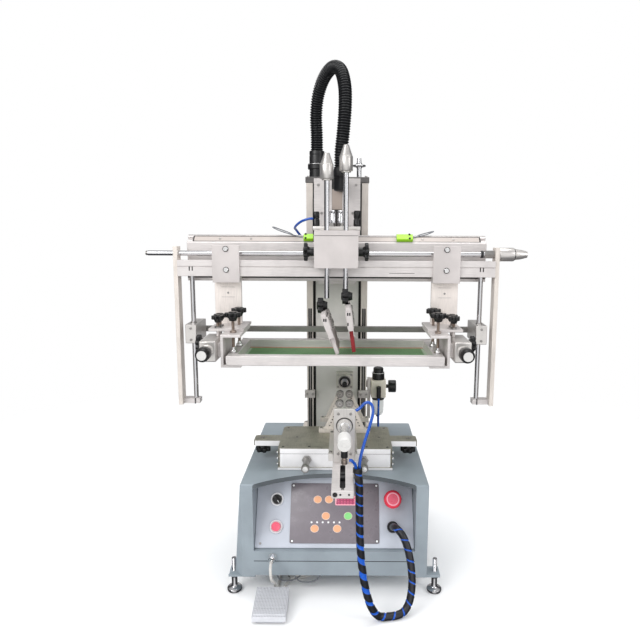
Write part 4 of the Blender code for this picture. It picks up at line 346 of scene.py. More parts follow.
def woven_mesh(name, stencil, thread):
    """Stretched screen mesh: a fine square weave filled with stencil, with a clear border along its frame."""
    made = Shader(name, specular_ior_level=0.4, sheen_weight=0.1)
    x, y, _ = made.axes()
    weave = (x * 5200.0).wave() * (y * 5200.0).wave()
    edge_x = x.size().between(0.212, 0.214)
    edge_y = (y - (FRONT + 0.1795)).size().between(0.08, 0.0815)
    border = edge_x.math("MAXIMUM", edge_y)
    stains = made.noise(40.0, 4.0).between(0.4, 0.75)
    film = made.mix(stains * 0.5, linear(stencil), linear(shade(stencil, 0.78)))
    made.set(
        base_color=made.mix(border, film, linear(thread)), roughness=0.4 + weave * 0.08,
        normal=made.bump(weave, 0.00002),
    )
    return made.material


def clear_bowl(name):
    made = Shader(name, base_color=linear((0.93, 0.94, 0.93)), roughness=0.08, ior=1.45)
    scratches = made.noise(500.0, 2.0, (1.0, 1.0, 0.05))
    made.set(alpha=0.55 + scratches * 0.12, normal=made.bump(scratches, 0.00001))
    return made.material


def lit_display(name, colour):
    """The little window of a counter: columns of faint segments that glow through a tinted film."""
    made = Shader(name, roughness=0.15, coat_weight=0.6)
    x, _, z = made.axes()
    columns = (x * 900.0).wave().between(-0.2, 0.6)
    rows = (z * 1500.0).wave().between(-0.4, 0.5)
    made.set(base_color=made.mix(
        columns * rows * 0.55, linear(shade(colour, 0.72)), linear(shade(colour, 1.15)),
    ))
    return made.material


def colour_of(key):
    return tuple(getattr(bpy.context.scene.printer_finish, key))


def make_finishes():
    """Every material, by the name that the pieces ask for."""
    aluminium = colour_of("aluminium")
    black = colour_of("black_plastic")
    return {
        "cabinet": powder_coat("cabinet_powder_coat", colour_of("cabinet_paint")),
        "panel": powder_coat("panel_paint_fine", colour_of("panel_paint"), 0.00003),
        "block": powder_coat("block_satin", (0.79, 0.764, 0.755), 0.00003),
        "membrane": moulded("membrane_film", colour_of("membrane"), 0.34, 0.00002, 2200.0),
        "metal_x": brushed("aluminium_along_x", aluminium, "X"),
        "metal_y": brushed("aluminium_along_y", aluminium, "Y"),
        "metal_z": brushed("aluminium_along_z", shade(aluminium, 0.98), "Z"),
        "white_metal": brushed("anodised_pale", (0.872, 0.85, 0.842), "X", 0.35, 0.42),
        "grey_metal": brushed("aluminium_grey", (0.6, 0.59, 0.58), "X", 0.85, 0.36),
        "beige": brushed("beige_metal_bar", colour_of("beige_metal"), "Z", 0.25, 0.42),
        # A darker copy of the cabinet paint: painted shade on the lip under the top's arched front edge
        "cabinet_painted_shade": powder_coat("cabinet_lip_shade", shade(colour_of("cabinet_paint"), 0.62)),
        "warm_white": powder_coat("housing_warm_white", (0.8, 0.785, 0.75), 0.00003),
        "hanger_arm": brushed("hanger_arm_metal", (0.945, 0.91, 0.885), "Z", 0.15, 0.45),
        "brown_plate": powder_coat("brown_plate_paint", (0.69, 0.635, 0.6), 0.00003),
        "slope_band": powder_coat("slope_band_paint", (0.755, 0.715, 0.69), 0.00002),
        "front_white": powder_coat("front_face_white", (0.93, 0.925, 0.928), 0.00002),
        "cap_white": moulded("cap_moulding", (0.815, 0.81, 0.8), 0.42, 0.00001),
        "cream": powder_coat("regulator_cream", (0.92, 0.89, 0.83), 0.00002),
        "key_rim": moulded("key_pale_rim", (0.93, 0.85, 0.8), 0.4, 0.00001),
        "copper_grey": brushed("clamp_screw_steel", (0.72, 0.66, 0.62), "Z", 0.85, 0.3),
        "plate": ground_plate("ground_table_plate", colour_of("khaki_plate")),
        "top_plate": ground_plate("column_top_metal", (0.43, 0.42, 0.415)),
        "column_panel": powder_coat("column_panel_paint", colour_of("column_panel")),
        # Near black for dark screws, seals, gauge ticks and thin joints, and for painted shade in slots, grooves,
        # gaps and the mouths of holes
        "dark_marks_and_painted_shade": moulded("slot_shadow", (0.16, 0.15, 0.15), 0.6),
        "chrome": polished("chrome_rod", (0.86, 0.86, 0.87)),
        "silver": polished("turned_silver", (0.91, 0.91, 0.91), 0.24, 0.06),
        "steel": polished("screw_steel", (0.66, 0.65, 0.64), 0.28, 0.12),
        "black": moulded("black_plastic_moulded", black, 0.34),
        "black_soft": moulded("black_fittings", (0.11, 0.11, 0.115), 0.42),
        "hose": moulded("hose_rubber", (0.085, 0.09, 0.1), 0.34, 0.00002),
        "red": moulded("red_button", (0.89, 0.23, 0.31), 0.24, 0.00001),
        # Pale red for the display's printed border, and for a painted highlight on the emergency stop's dome
        "pale_red": moulded("button_face", (0.95, 0.64, 0.7), 0.26, 0.00001),
        "pink": moulded("push_button_face", (0.88, 0.36, 0.45), 0.3, 0.00001),
        "bezel": polished("bezel_pale", (0.93, 0.93, 0.94), 0.3, 0.05),
        "orange": moulded("key_orange", (0.905, 0.665, 0.51), 0.4, 0.00001),
        "green_key": moulded("key_green", (0.54, 0.85, 0.52), 0.4, 0.00001),
        "white_mark": moulded("mark_white", (0.94, 0.94, 0.94), 0.45, 0.00001),
        "display": lit_display("counter_display", (0.9, 0.37, 0.54)),
        "tube": glossy_tube("air_tube_blue", colour_of("air_tube")),
        "bundle": wrapped_bundle("bundle_spiral_wrap", (0.1, 0.1, 0.12), shade(colour_of("air_tube"), 1.15)),
        "lime": moulded("sensor_lime", (0.62, 0.86, 0.16), 0.3),
        "red_rubber": rubber("squeegee_blade_rubber", (0.52, 0.13, 0.15)),
        "mesh": woven_mesh("screen_mesh_stencil", colour_of("stencil"), (0.62, 0.72, 0.6)),
        "tape": moulded("mesh_edge_tape", (0.8, 0.5, 0.4), 0.5),
        "pedal": moulded("pedal_moulding", colour_of("pedal_plastic"), 0.4),
        "tread": ribbed_tread("pedal_tread", colour_of("pedal_plastic"), 0.0032),
        "cord": rubber("pedal_lead_sheath", (0.8, 0.79, 0.77)),
        "grey_lead": rubber("sensor_lead_sheath", (0.46, 0.47, 0.49)),
        "clear": clear_bowl("regulator_clear_bowl"),
    }


# Surfaces worked out with numpy


def shell(rings, caps=True):
    """Points on a grid of rings, each closed round on itself, joined by quads; the first and last ring get
    a lid."""
    rows, columns = rings.shape[:2]
    index = np.arange(rows * columns).reshape(rows, columns)
    below, above = index[:-1], index[1:]
    quads = np.stack([below, np.roll(below, -1, 1), np.roll(above, -1, 1), above], 2).reshape(-1, 4)
    lids = [index[0][::-1].tolist(), index[-1].tolist()] if caps else []
    return rings.reshape(-1, 3), quads, lids


def looped(rings):
    """A shell whose last ring joins its first, as a ring or a washer does."""
    points, quads, _ = shell(np.concatenate([rings, rings[:1]]), caps=False)
    count = rings.shape[0] * rings.shape[1]
    return points[:count], quads % count, []


def prism(outline, low, high, edge=0.0004, steps=2):
    """An outline of (u, v) points carried along w, with both rims rounded by a quarter circle of radius edge.

    Each corner moves in along its mitre, n1 + n2 over 1 + n1.n2, so that every side moves by the same amount.
    """
    outline = np.asarray(outline, float)
    after = np.roll(outline, -1, 0)
    if (outline[:, 0] * after[:, 1] - after[:, 0] * outline[:, 1]).sum() < 0:
        outline = outline[::-1]
        after = np.roll(outline, -1, 0)
    side = after - outline
    side /= np.linalg.norm(side, axis=1, keepdims=True)
    normal = np.stack([side[:, 1], -side[:, 0]], 1)
    total = normal + np.roll(normal, 1, 0)
    mitre = total / np.maximum((total * normal).sum(1, keepdims=True), 0.3)
    angle = np.linspace(0, math.pi / 2, steps + 1)
    inset = edge * (1 - np.sin(angle))
    rise = edge * (1 - np.cos(angle))
    insets = np.concatenate([inset, inset[::-1]])
    heights = np.concatenate([low + rise, high - rise[::-1]])
    flat = outline[None] - mitre[None] * insets[:, None, None]
    tall = np.broadcast_to(heights[:, None, None], (*flat.shape[:2], 1))
    return shell(np.concatenate([flat, tall], 2))


def rectangle(u, v, radius=0.0, steps=4):
    """The outline of a rectangle between two values of u and of v, its corners round."""
    if not radius:
        return np.array([(u[0], v[0]), (u[1], v[0]), (u[1], v[1]), (u[0], v[1])])
    angle = np.radians(np.arange(4)[:, None] * 90 + np.linspace(0, 90, steps + 1)[None])
    centres = np.array([
        (u[1] - radius, v[1] - radius), (u[0] + radius, v[1] - radius),
        (u[0] + radius, v[0] + radius), (u[1] - radius, v[0] + radius),
    ])
    return (centres[:, None] + radius * np.stack([np.cos(angle), np.sin(angle)], 2)).reshape(-1, 2)


def facing_front(surface):
    """A surface drawn in (across, up, depth) stood up to face the operator."""
    points, quads, lids = surface
    return points[:, [0, 2, 1]], quads, lids


def box(x, y, z, edge=0.0004, corner=0.0):
    """A block between two values on each axis, its upright corners round and its rims softened."""
    low, high = sorted(z)
    return prism(rectangle(sorted(x), sorted(y), corner), low, high, edge)


def plate_y(x, z, y, corner=0.0, edge=0.0004):
    """A plate that faces the operator, with round corners in its face."""
    low, high = sorted(y)
    return facing_front(prism(rectangle(sorted(x), sorted(z), corner), low, high, edge))


def turned(profile, at, towards=UP, steps=48, flutes=0, depth=0.0, fluted=(1e9, -1e9)):
    """(radius, height) points turned about an axis through at.

    Between the heights in fluted, the radius is times 1 + depth (|cos(flutes angle / 2)| - 1/2).
    """
    profile = np.asarray(profile, float)
    radius = np.maximum(profile[:, 0], 0.00002)
    angle = np.linspace(0, 2 * math.pi, steps, endpoint=False)
    wave = np.ones((len(radius), steps))
    within = (profile[:, 1] >= fluted[0]) & (profile[:, 1] <= fluted[1])
    wave[within] += depth * (np.abs(np.cos(flutes * angle / 2)) - 0.5)
    across = radius[:, None] * wave
    tall = np.broadcast_to(profile[:, 1:2], across.shape)
    rings = np.stack([across * np.cos(angle), across * np.sin(angle), tall], 2)
    return aimed(shell(rings), at, towards)


def mark(radius, at, towards=UP, steps=24, rim=0.0001, height=0.0002):
    """A flat round mark, or a dark disc of painted shade for a hole's mouth: a thin disc whose rim slopes."""
    return turned([(radius, 0), (radius - rim, height), (0, height)], at, towards, steps)


def ring(radius, bar, at, towards=UP, steps=48, sides=12):
    """A torus: a circle of radius bar carried round a circle."""
    round_angle = np.linspace(0, 2 * math.pi, sides, endpoint=False)
    angle = np.linspace(0, 2 * math.pi, steps, endpoint=False)
    across = (radius + bar * np.cos(round_angle))[:, None]
    tall = np.broadcast_to((bar * np.sin(round_angle))[:, None], (sides, steps))
    rings = np.stack([across * np.cos(angle), across * np.sin(angle), tall], 2)
    return aimed(looped(rings), at, towards)


def aimed(surface, at, towards, spin=0.0):
    """A surface turned so that its Z points along towards, then moved to at."""
    points, quads, lids = surface
    turn = Vector(towards).to_track_quat("Z", "Y").to_matrix() @ Matrix.Rotation(spin, 3, "Z")
    return points @ np.array(turn).T + np.array(at), quads, lids


def rod(start, end, radius, edge=0.0004, steps=40):
    """A round bar from one point to another, its ends chamfered."""
    start, end = Vector(start), Vector(end)
    length = (end - start).length
    profile = [
        (0, 0), (radius - edge, 0), (radius, edge), (radius, length - edge), (radius - edge, length),
        (0, length),
    ]
    return turned(profile, start, end - start, steps)


def threaded(start, end, radius, pitch=0.00125, depth=0.0005, steps=24):
    """A threaded bar: its radius falls and rises once in each pitch."""
    start, end = Vector(start), Vector(end)
    length = (end - start).length
    count = max(2, round(length / pitch)) * 2
    heights = np.linspace(0, length, count + 1)
    radii = radius - depth * (np.arange(count + 1) % 2)
    profile = np.stack([np.concatenate([[0], radii, [0]]), np.concatenate([[0], heights, [length]])], 1)
    return turned(profile, start, end - start, steps)


def cap_screw(at, towards, radius=0.003, height=0.0022):
    """A socket-head screw: a low cylinder with a sunken socket."""
    profile = [
        (0, height * 0.35), (radius * 0.5, height * 0.35), (radius * 0.52, height), (radius * 0.85, height),
        (radius, height * 0.8), (radius, -0.0006), (0, -0.0006),
    ]
    return turned(profile, at, towards, 20)


def lobes(radius, count, depth, steps=12):
    """The outline of a star knob, round lobes with narrow valleys: r = R (1 - depth (1/2 - cos(n a) / 2)
    squared)."""
    angle = np.linspace(0, 2 * math.pi, count * steps, endpoint=False)
    reach = radius * (1 - depth * (0.5 - 0.5 * np.cos(count * angle)) ** 2)
    return np.stack([reach * np.cos(angle), reach * np.sin(angle)], 1)


def star_knob(at, towards, radius, height, spin=0.0, count=6):
    """The head of a star knob, its boss below and the round cap let into its top."""
    head = aimed(prism(lobes(radius, count, 0.3), 0.42 * height, height, 0.1 * radius, 3), at, towards, spin)
    boss = turned([
        (0, 0), (0.46 * radius, 0), (0.5 * radius, 0.12 * height), (0.66 * radius, 0.48 * height),
        (0, 0.5 * height),
    ], at, towards, 28)
    cap = turned([
        (0, 0.9 * height), (0.5 * radius, 0.9 * height), (0.5 * radius, 1.04 * height),
        (0.44 * radius, 1.1 * height), (0, 1.12 * height),
    ], at, towards, 28)
    return [head, boss, cap]


def smooth_path(route, count):
    """A Catmull-Rom curve through the route's points, at even steps of its length."""
    knots = np.asarray(route, float)
    knots = np.concatenate([2 * knots[:1] - knots[1:2], knots, 2 * knots[-1:] - knots[-2:-1]])
    t = np.linspace(0, 1, 24, endpoint=False)[None, :, None]
    first, second, third, fourth = (knots[i:len(knots) - 3 + i][:, None] for i in range(4))
    fine = (2 * second + (third - first) * t + (2 * first - 5 * second + 4 * third - fourth) * t**2
            + (3 * second - first - 3 * third + fourth) * t**3) / 2
    fine = np.concatenate([fine.reshape(-1, 3), knots[-2:-1]])
    reach = np.concatenate([[0], np.cumsum(np.linalg.norm(np.diff(fine, axis=0), axis=1))])
    steps = np.linspace(0, reach[-1], count)
    return np.stack([np.interp(steps, reach, fine[:, axis]) for axis in range(3)], 1), reach[-1]


def carried(path, radius, sides):
    """A circle of the radius given, one number or one for each point and angle, carried along a path.

    The circle's first axis is the tangent crossed with the normal of the plane that fits the path best.
    """
    path = np.asarray(path, float)
    tangent = np.gradient(path, axis=0)
    tangent /= np.linalg.norm(tangent, axis=1, keepdims=True)
    plane = np.linalg.svd(path - path.mean(0))[2][2]
    across = np.cross(tangent, plane)
    across /= np.linalg.norm(across, axis=1, keepdims=True)
    up = np.cross(across, tangent)
    angle = np.linspace(0, 2 * math.pi, sides, endpoint=False)
    if np.ndim(radius) == 1:
        radius = radius[:, None]
    reach = np.broadcast_to(radius, (len(path), sides))
    rings = path[:, None] + reach[..., None] * (
        across[:, None] * np.cos(angle)[None, :, None] + up[:, None] * np.sin(angle)[None, :, None]
    )
    return shell(rings)


def on_panel(surface):
    """A surface drawn in (x, rise, out) laid on the sloping panel."""
    points, quads, lids = surface
    x, rise, out = points.T
    y = PANEL_START_Y + rise * math.sin(PANEL_TILT) - out * math.cos(PANEL_TILT)
    z = PANEL_START_Z + rise * math.cos(PANEL_TILT) + out * math.sin(PANEL_TILT)
    return np.stack([x, y, z], 1), quads, lids


# Objects


def wear(finish, *surfaces):
    """Surfaces with the finish that they wear, nested lists laid flat."""
    worn = []
    for surface in surfaces:
        if isinstance(surface, list):
            worn += wear(finish, *surface)
        else:
            worn.append((finish, surface))
    return worn


def steel_screw(*place_and_size):
    return wear("steel", cap_screw(*place_and_size))


def build(name, worn, body, replaces=(), sharp=38.0):
    """One object from surfaces and their finishes, riding on a body and standing for the frame's nodes
    named."""
    finishes = list(dict.fromkeys(finish for finish, _ in worn))
    points, faces, slots = [], [], []
    start = 0
    for finish, (place, quads, lids) in worn:
        points.append(place)
        faces += (quads + start).tolist()
        faces += [[corner + start for corner in lid] for lid in lids]
        slots += [finishes.index(finish)] * (len(quads) + len(lids))
        start += len(place)
    mesh = bpy.data.meshes.new(name)
    mesh.from_pydata(np.concatenate(points), [], faces)
    mesh.polygons.foreach_set("material_index", slots)
    for finish in finishes:
        mesh.materials.append(finish_of[finish])
    return finished(mesh, name, body, replaces, sharp)


def finished(mesh, name, body, replaces, sharp):
    made = bmesh.new()
    made.from_mesh(mesh)
    bmesh.ops.recalc_face_normals(made, faces=made.faces)
    made.to_mesh(mesh)
    made.free()
    mesh.shade_smooth()
    mesh.set_sharp_from_angle(angle=math.radians(sharp))
    piece = bpy.data.objects.new(name, mesh)
    bpy.context.scene.collection.objects.link(piece)
    if body:
        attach(piece, body)
    if replaces:
        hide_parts(*([replaces] if isinstance(replaces, str) else replaces))
    return piece


def inside(points, space):
    """Which points lie in a box, given as its spans on X, Y and Z; None stands for the whole of an axis."""
    held = np.ones(len(points), bool)
    for axis, span in enumerate(space):
        if span is not None:
            held &= (points[:, axis] > min(span)) & (points[:, axis] < max(span))
    return held


def machined(node, finish, areas=(), drop=(), edge=0.0005, name=None):
    """A frame node's own shape with its flat faces made whole and its edges rounded, in place of the node.

    areas gives boxes of the shape another finish, and drop leaves out boxes that a finer piece fills.
    """
    mesh = frame["nodes"][node].data.copy()
    mesh.materials.clear()
    made = bmesh.new()
    made.from_mesh(mesh)
    bmesh.ops.remove_doubles(made, verts=made.verts, dist=0.00001)
    bmesh.ops.dissolve_limit(made, angle_limit=math.radians(0.5), verts=made.verts, edges=made.edges)
    centres = np.array([face.calc_center_median() for face in made.faces])
    slots = np.zeros(len(centres), int)
    finishes = [finish]
    for other, space in areas:
        if other not in finishes:
            finishes.append(other)
        slots[inside(centres, space)] = finishes.index(other)
    made.faces.ensure_lookup_table()
    for face, index in zip(made.faces, slots.tolist()):
        face.material_index = index
    gone = np.any(
        [inside(centres, space) for space in drop], axis=0,
    ) if drop else np.zeros(len(centres), bool)
    bmesh.ops.delete(made, geom=[made.faces[index] for index in np.flatnonzero(gone)], context="FACES")
    made.to_mesh(mesh)
    made.free()
    for other in finishes:
        mesh.materials.append(finish_of[other])
    piece = finished(mesh, name or node + "_surface", body_of(node), node, 35.0)
    if edge:
        bevel = piece.modifiers.new("edges", "BEVEL")
        bevel.width = edge
        bevel.segments = 2
        bevel.limit_method = "ANGLE"
        bevel.angle_limit = math.radians(40)
        normals = piece.modifiers.new("flat_faces", "WEIGHTED_NORMAL")
        normals.keep_sharp = True
    return piece


def both_sides(finish, x, y, z):
    """An area on the right-hand side and its mirror image on the left."""
    return [(finish, ((side * x[0], side * x[1]), y, z)) for side in (1, -1)]


finish_of = {}


# Routes of the tubes, as the frame has them: points in metres from the first end to the last
HOSE_ROUTE = [
    (-0.053, 0.241, 1.004), (-0.0532, 0.2411, 1.04), (-0.0545, 0.238, 1.09), (-0.049, 0.227, 1.135),
    (-0.034, 0.206, 1.172), (-0.012, 0.176, 1.19), (0.008, 0.145, 1.176), (0.018, 0.124, 1.135),
    (0.019, 0.114, 1.085), (0.015, 0.11, 1.03), (0.0102, 0.109, 0.985), (0.01, 0.109, 0.951),
]
BUNDLE_ROUTE = [
    (0.13, -0.0955, 0.1517), (0.1302, -0.112, 0.1607), (0.1355, -0.129, 0.166), (0.146, -0.1425, 0.159),
    (0.1555, -0.153, 0.139), (0.1625, -0.166, 0.108), (0.165, -0.1765, 0.07), (0.16, -0.185, 0.036),
    (0.148, -0.1915, 0.015), (0.131, -0.196, 0.0088), (0.112, -0.2, 0.0088), (0.093, -0.205, 0.014),
    (0.077, -0.211, 0.04), (0.064, -0.217, 0.09), (0.056, -0.223, 0.15), (0.0525, -0.229, 0.21),
    (0.051, -0.235, 0.265), (0.05, -0.24, 0.315), (0.047, -0.243, 0.35),
]
LOOP_ROUTE = [
    (0.0503, -0.241, 0.3519), (0.0502, -0.2408, 0.36), (0.053, -0.2335, 0.374), (0.061, -0.214, 0.396),
    (0.071, -0.19, 0.418), (0.078, -0.172, 0.437), (0.0775, -0.1635, 0.451), (0.071, -0.1605, 0.458),
    (0.062, -0.1595, 0.456), (0.0525, -0.159, 0.446), (0.0444, -0.159, 0.4405),
]
CYLINDER_ROUTE = [
    (0.0434, -0.2449, 0.3509), (0.0428, -0.246, 0.357), (0.0408, -0.2495, 0.364), (0.0375, -0.254, 0.37),
    (0.0345, -0.2574, 0.3744), (0.0299, -0.258, 0.375),
]
REGULATOR_ROUTE = [
    (0.112, 0.201, 0.3595), (0.1119, 0.2008, 0.345), (0.1115, 0.2003, 0.325), (0.1113, 0.2002, 0.305),
    (0.1116, 0.2006, 0.285), (0.112, 0.201, 0.2606),
]
PEDAL_ROUTE = [
    (-0.1355, -0.1438, 0.094), (-0.1355, -0.153, 0.094), (-0.1352, -0.1625, 0.0905),
    (-0.1343, -0.1655, 0.0805),
    (-0.1335, -0.162, 0.0685), (-0.1325, -0.153, 0.057), (-0.1315, -0.142, 0.0475), (-0.1305, -0.1315, 0.038),
    (-0.13, -0.1245, 0.0275), (-0.1298, -0.1185, 0.017), (-0.1297, -0.111, 0.008), (-0.1293, -0.1015, 0.0036),
    (-0.1288, -0.09, 0.0032), (-0.128, -0.076, 0.0032), (-0.1268, -0.06, 0.0032), (-0.1256, -0.042, 0.0032),
    (-0.1246, -0.027, 0.0032),
]
COIL_CENTRE = (-0.085, -0.017)
COIL_RADII = (0.0392, 0.033, 0.033, 0.0392, 0.0392)
COIL_HEIGHTS = (0.0032, 0.0032, 0.0093, 0.0093, 0.0154)
COIL_TURNS = 4.694
LEAD_ROUTE = [
    (-0.084, -0.0585, 0.014), (-0.096, -0.065, 0.01), (-0.1055, -0.0745, 0.006), (-0.1115, -0.086, 0.0038),
    (-0.114, -0.098, 0.0032), (-0.1165, -0.1085, 0.0032), (-0.1205, -0.119, 0.0032),
    (-0.1236, -0.128, 0.0032),
    (-0.124, -0.136, 0.0032), (-0.124, -0.1442, 0.0032),
]
HEAD_TUBE_ROUTE = [
    (-0.0556, 0.098, 0.83), (-0.066, 0.0985, 0.8295), (-0.083, 0.106, 0.824), (-0.097, 0.124, 0.815),
    (-0.1035, 0.148, 0.808), (-0.1025, 0.168, 0.804), (-0.0955, 0.183, 0.793), (-0.0845, 0.185, 0.779),
    (-0.0725, 0.1845, 0.7675), (-0.0598, 0.184, 0.764),
]
TUBE_RADIUS = 0.003
BUNDLE_RADIUS = 0.008
HOSE_RADIUS = 0.016


def make_hose():
    """The corrugated cable hose: a circle carried along the route.

    Its radius at length s is R - h (1 - v), where v is (1/2 - 1/2 cos(2 pi s / pitch)) to the power 0.6.
    """
    count = 1400
    path, length = smooth_path(HOSE_ROUTE, count)
    along = np.linspace(0, length, count)
    sizes = bpy.context.scene.printer_tubes
    pitch = length / round(length / sizes.hose_pitch)
    valley = (0.5 - 0.5 * np.cos(2 * math.pi * along / pitch)) ** 0.6
    radius = HOSE_RADIUS - sizes.hose_groove * (1 - valley)
    hose = build(
        "hose_rings", wear("hose", carried(path, radius, 40)), None, "cable_hose", 60,
    )
    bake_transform(hose)


def make_bundle():
    """The spiral-wrapped air bundle: r = R on the wrap's band and less between its turns, where the tubes
    show.

    The band is a helix along the route, and its gap opens midway and closes again.
    """
    count, sides = 900, 48
    path, length = smooth_path(BUNDLE_ROUTE, count)
    along = np.linspace(0, length, count)[:, None]
    angle = np.linspace(0, 2 * math.pi, sides, endpoint=False)[None]
    share = along / length
    middle = np.exp(-((share - 0.62) / 0.13) ** 2)
    gap = (0.11 + 0.29 * middle) * np.clip(share / 0.14, 0.35, 1)
    pitch = bpy.context.scene.printer_tubes.wrap_pitch * (1 + 0.7 * middle)
    turns = np.cumsum(np.gradient(along, axis=0) / pitch, axis=0)
    turn = (turns - angle / (2 * math.pi)) % 1.0
    edge = np.clip((np.minimum(turn, 1 - turn) - gap / 2) / 0.05, 0, 1)
    raised = edge * edge * (3 - 2 * edge)
    tubes = 0.0004 * np.abs(np.sin(2.5 * angle + along * 60))
    radius = BUNDLE_RADIUS - (1 - raised) * (0.0009 + tubes)
    points, quads, lids = carried(path, radius, sides)
    bundle = build(
        "air_bundle_wrap", wear("bundle", (points, quads, lids)), "base", "air_bundle", 60,
    )
    band = bundle.data.attributes.new("band", "FLOAT", "POINT")
    band.data.foreach_set("value", raised.ravel())
    end = Vector(BUNDLE_ROUTE[-1])
    collar = [rod(end - Vector((0.0004, 0.0003, 0.006)), end + Vector((0, 0, 0.003)), BUNDLE_RADIUS + 0.0012)]
    on_it = [build(
        "bundle_end_collar", wear("black_soft", *collar), "base",
    ), make_tube("cylinder_tube", CYLINDER_ROUTE)]


def make_tube(node, route):
    """A blue air tube in place of its node; the one too short to be a cord of its own is built with the bundle."""
    path, length = smooth_path(route, 40 * len(route))
    tube = build(
        node + "_skin", wear("tube", carried(path, TUBE_RADIUS, 20)), body_of(node), node, 60,
    )
    return tube


def lead(name, route, radius, body):
    """A thin grey lead that leaves the machine and goes back into it."""
    path, length = smooth_path(route, 121)
    piece = build(name, wear("grey_lead", carried(path, radius, 12)), body)


def body_of(node):
    return next(body for body, nodes in frame["record"]["behaviour"]["bodies"].items() if node in nodes)


def make_pedal_cord():
    """The pedal's cord in one length: from its socket to the floor, wound clockwise into a coil, and on to
    the pedal.

    The coil is a circle whose radius and height pass from one turn's values to the next in the last fifth
    of the turn.
    """
    turn = np.arange(0, COIL_TURNS, 1 / 24)
    whole = turn.astype(int)
    step = np.clip((turn - whole - 0.8) / 0.2, 0, 1)
    step = step * step * (3 - 2 * step)
    after = np.minimum(whole + 1, len(COIL_RADII) - 1)
    radii, heights = np.array(COIL_RADII), np.array(COIL_HEIGHTS)
    reach = radii[whole] * (1 - step) + radii[after] * step
    height = heights[whole] * (1 - step) + heights[after] * step
    angle = math.pi - 2 * math.pi * turn
    coil = np.stack(
        [COIL_CENTRE[0] + reach * np.cos(angle), COIL_CENTRE[1] + reach * np.sin(angle), height], 1,
    )
    path, length = smooth_path(PEDAL_ROUTE + coil.tolist() + LEAD_ROUTE, 1500)
    landed = int(np.argmax(path[:, 2] < 0.004))
    tubes = [carried(path[:landed + 2], TUBE_RADIUS, 16), carried(path[landed:], TUBE_RADIUS, 16)]
    cord = build("pedal_cord_skin", wear("cord", tubes), "base", None, 60)
    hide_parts("pedal_cord", "pedal_coil", "pedal_lead")


def make_tubes():
    make_tube("air_loop", LOOP_ROUTE)
    make_tube("regulator_tube", REGULATOR_ROUTE)
    make_tube("head_tube", HEAD_TUBE_ROUTE)
    make_pedal_cord()


# Fixed pieces: cabinet, operating panel, table, column and what stands on them


def hex_nut(at, towards, radius, height, spin=0.0):
    angle = np.linspace(0, 2 * math.pi, 6, endpoint=False) + spin
    outline = np.stack([radius * np.cos(angle), radius * np.sin(angle)], 1)
    return aimed(prism(outline, 0, height, 0.08 * radius), at, towards)


def ellipse(centre, half_width, half_height, steps=40):
    angle = np.linspace(0, 2 * math.pi, steps, endpoint=False)
    return np.stack([centre[0] + half_width * np.cos(angle), centre[1] + half_height * np.sin(angle)], 1)


def make_cabinet():
    """The sheet-metal housing with its edges rounded as folded steel is, its four feet, and two leads under it."""
    # Painted shade: the lip under the top's arched front edge wears a darker copy of the paint
    lip = ((-0.178, 0.178), (-0.1165, -0.05), (0.241, 0.259))
    machined("cabinet", "cabinet", [
        # painted shade: a dark strip along the groove in the cabinet's front apron
        ("cabinet_painted_shade", lip), ("dark_marks_and_painted_shade", (None, (-0.1168, -0.1), (0.0805, 0.0831))),
    ], edge=0.001)
    loops = [
        [(-0.136, -0.09, 0.043), (-0.123, -0.093, 0.023), (-0.104, -0.092, 0.019), (-0.084, -0.09, 0.024),
         (-0.068, -0.088, 0.043)],
        [(-0.096, -0.096, 0.043), (-0.08, -0.098, 0.023), (-0.059, -0.097, 0.018), (-0.039, -0.094, 0.024),
         (-0.026, -0.092, 0.043)],
    ]
    for index, loop in enumerate(loops):
        lead(f"cabinet_lead_{index}", loop, 0.0016, "base")
    for node in ("foot_front_left", "foot_front_right", "foot_back_left", "foot_back_right"):
        low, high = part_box(node)
        x, y = (low.x + high.x) / 2, (low.y + high.y) / 2
        pad = turned([
            (0, 0.0022), (0.0158, 0.0022), (0.0165, 0.003), (0.0165, 0.0065), (0.015, 0.008), (0.009, 0.0098),
            (0.0068, 0.0125), (0.0064, 0.016), (0.0064, 0.0337), (0, 0.0337),
        ], (x, y, 0))
        sole = turned([(0, 0), (0.0148, 0), (0.0155, 0.0008), (0.0155, 0.0024), (0, 0.0024)], (x, y, 0))
        nut = hex_nut((x, y, 0.0337), UP, 0.0095, 0.008, 0.3)
        stud = threaded((x, y, 0.041), (x, y, high.z), 0.005)
        build(
            node + "_turned", wear("chrome", pad, nut, stud) + wear("black_soft", sole), "base", node,
        )


def on_face(x, rise, profile, **more):
    """A turned shape that stands on the sloping panel's face."""
    return on_panel(turned(profile, (x, rise, PANEL_FACE), **more))


def bezel(x, rise, radius=0.015, height=0.0035):
    return on_face(x, rise, [
        (radius * 0.7, 0), (radius, 0), (radius, height * 0.5), (radius * 0.93, height),
        (radius * 0.8, height),
        (radius * 0.74, height * 0.7), (0, height * 0.7),
    ])


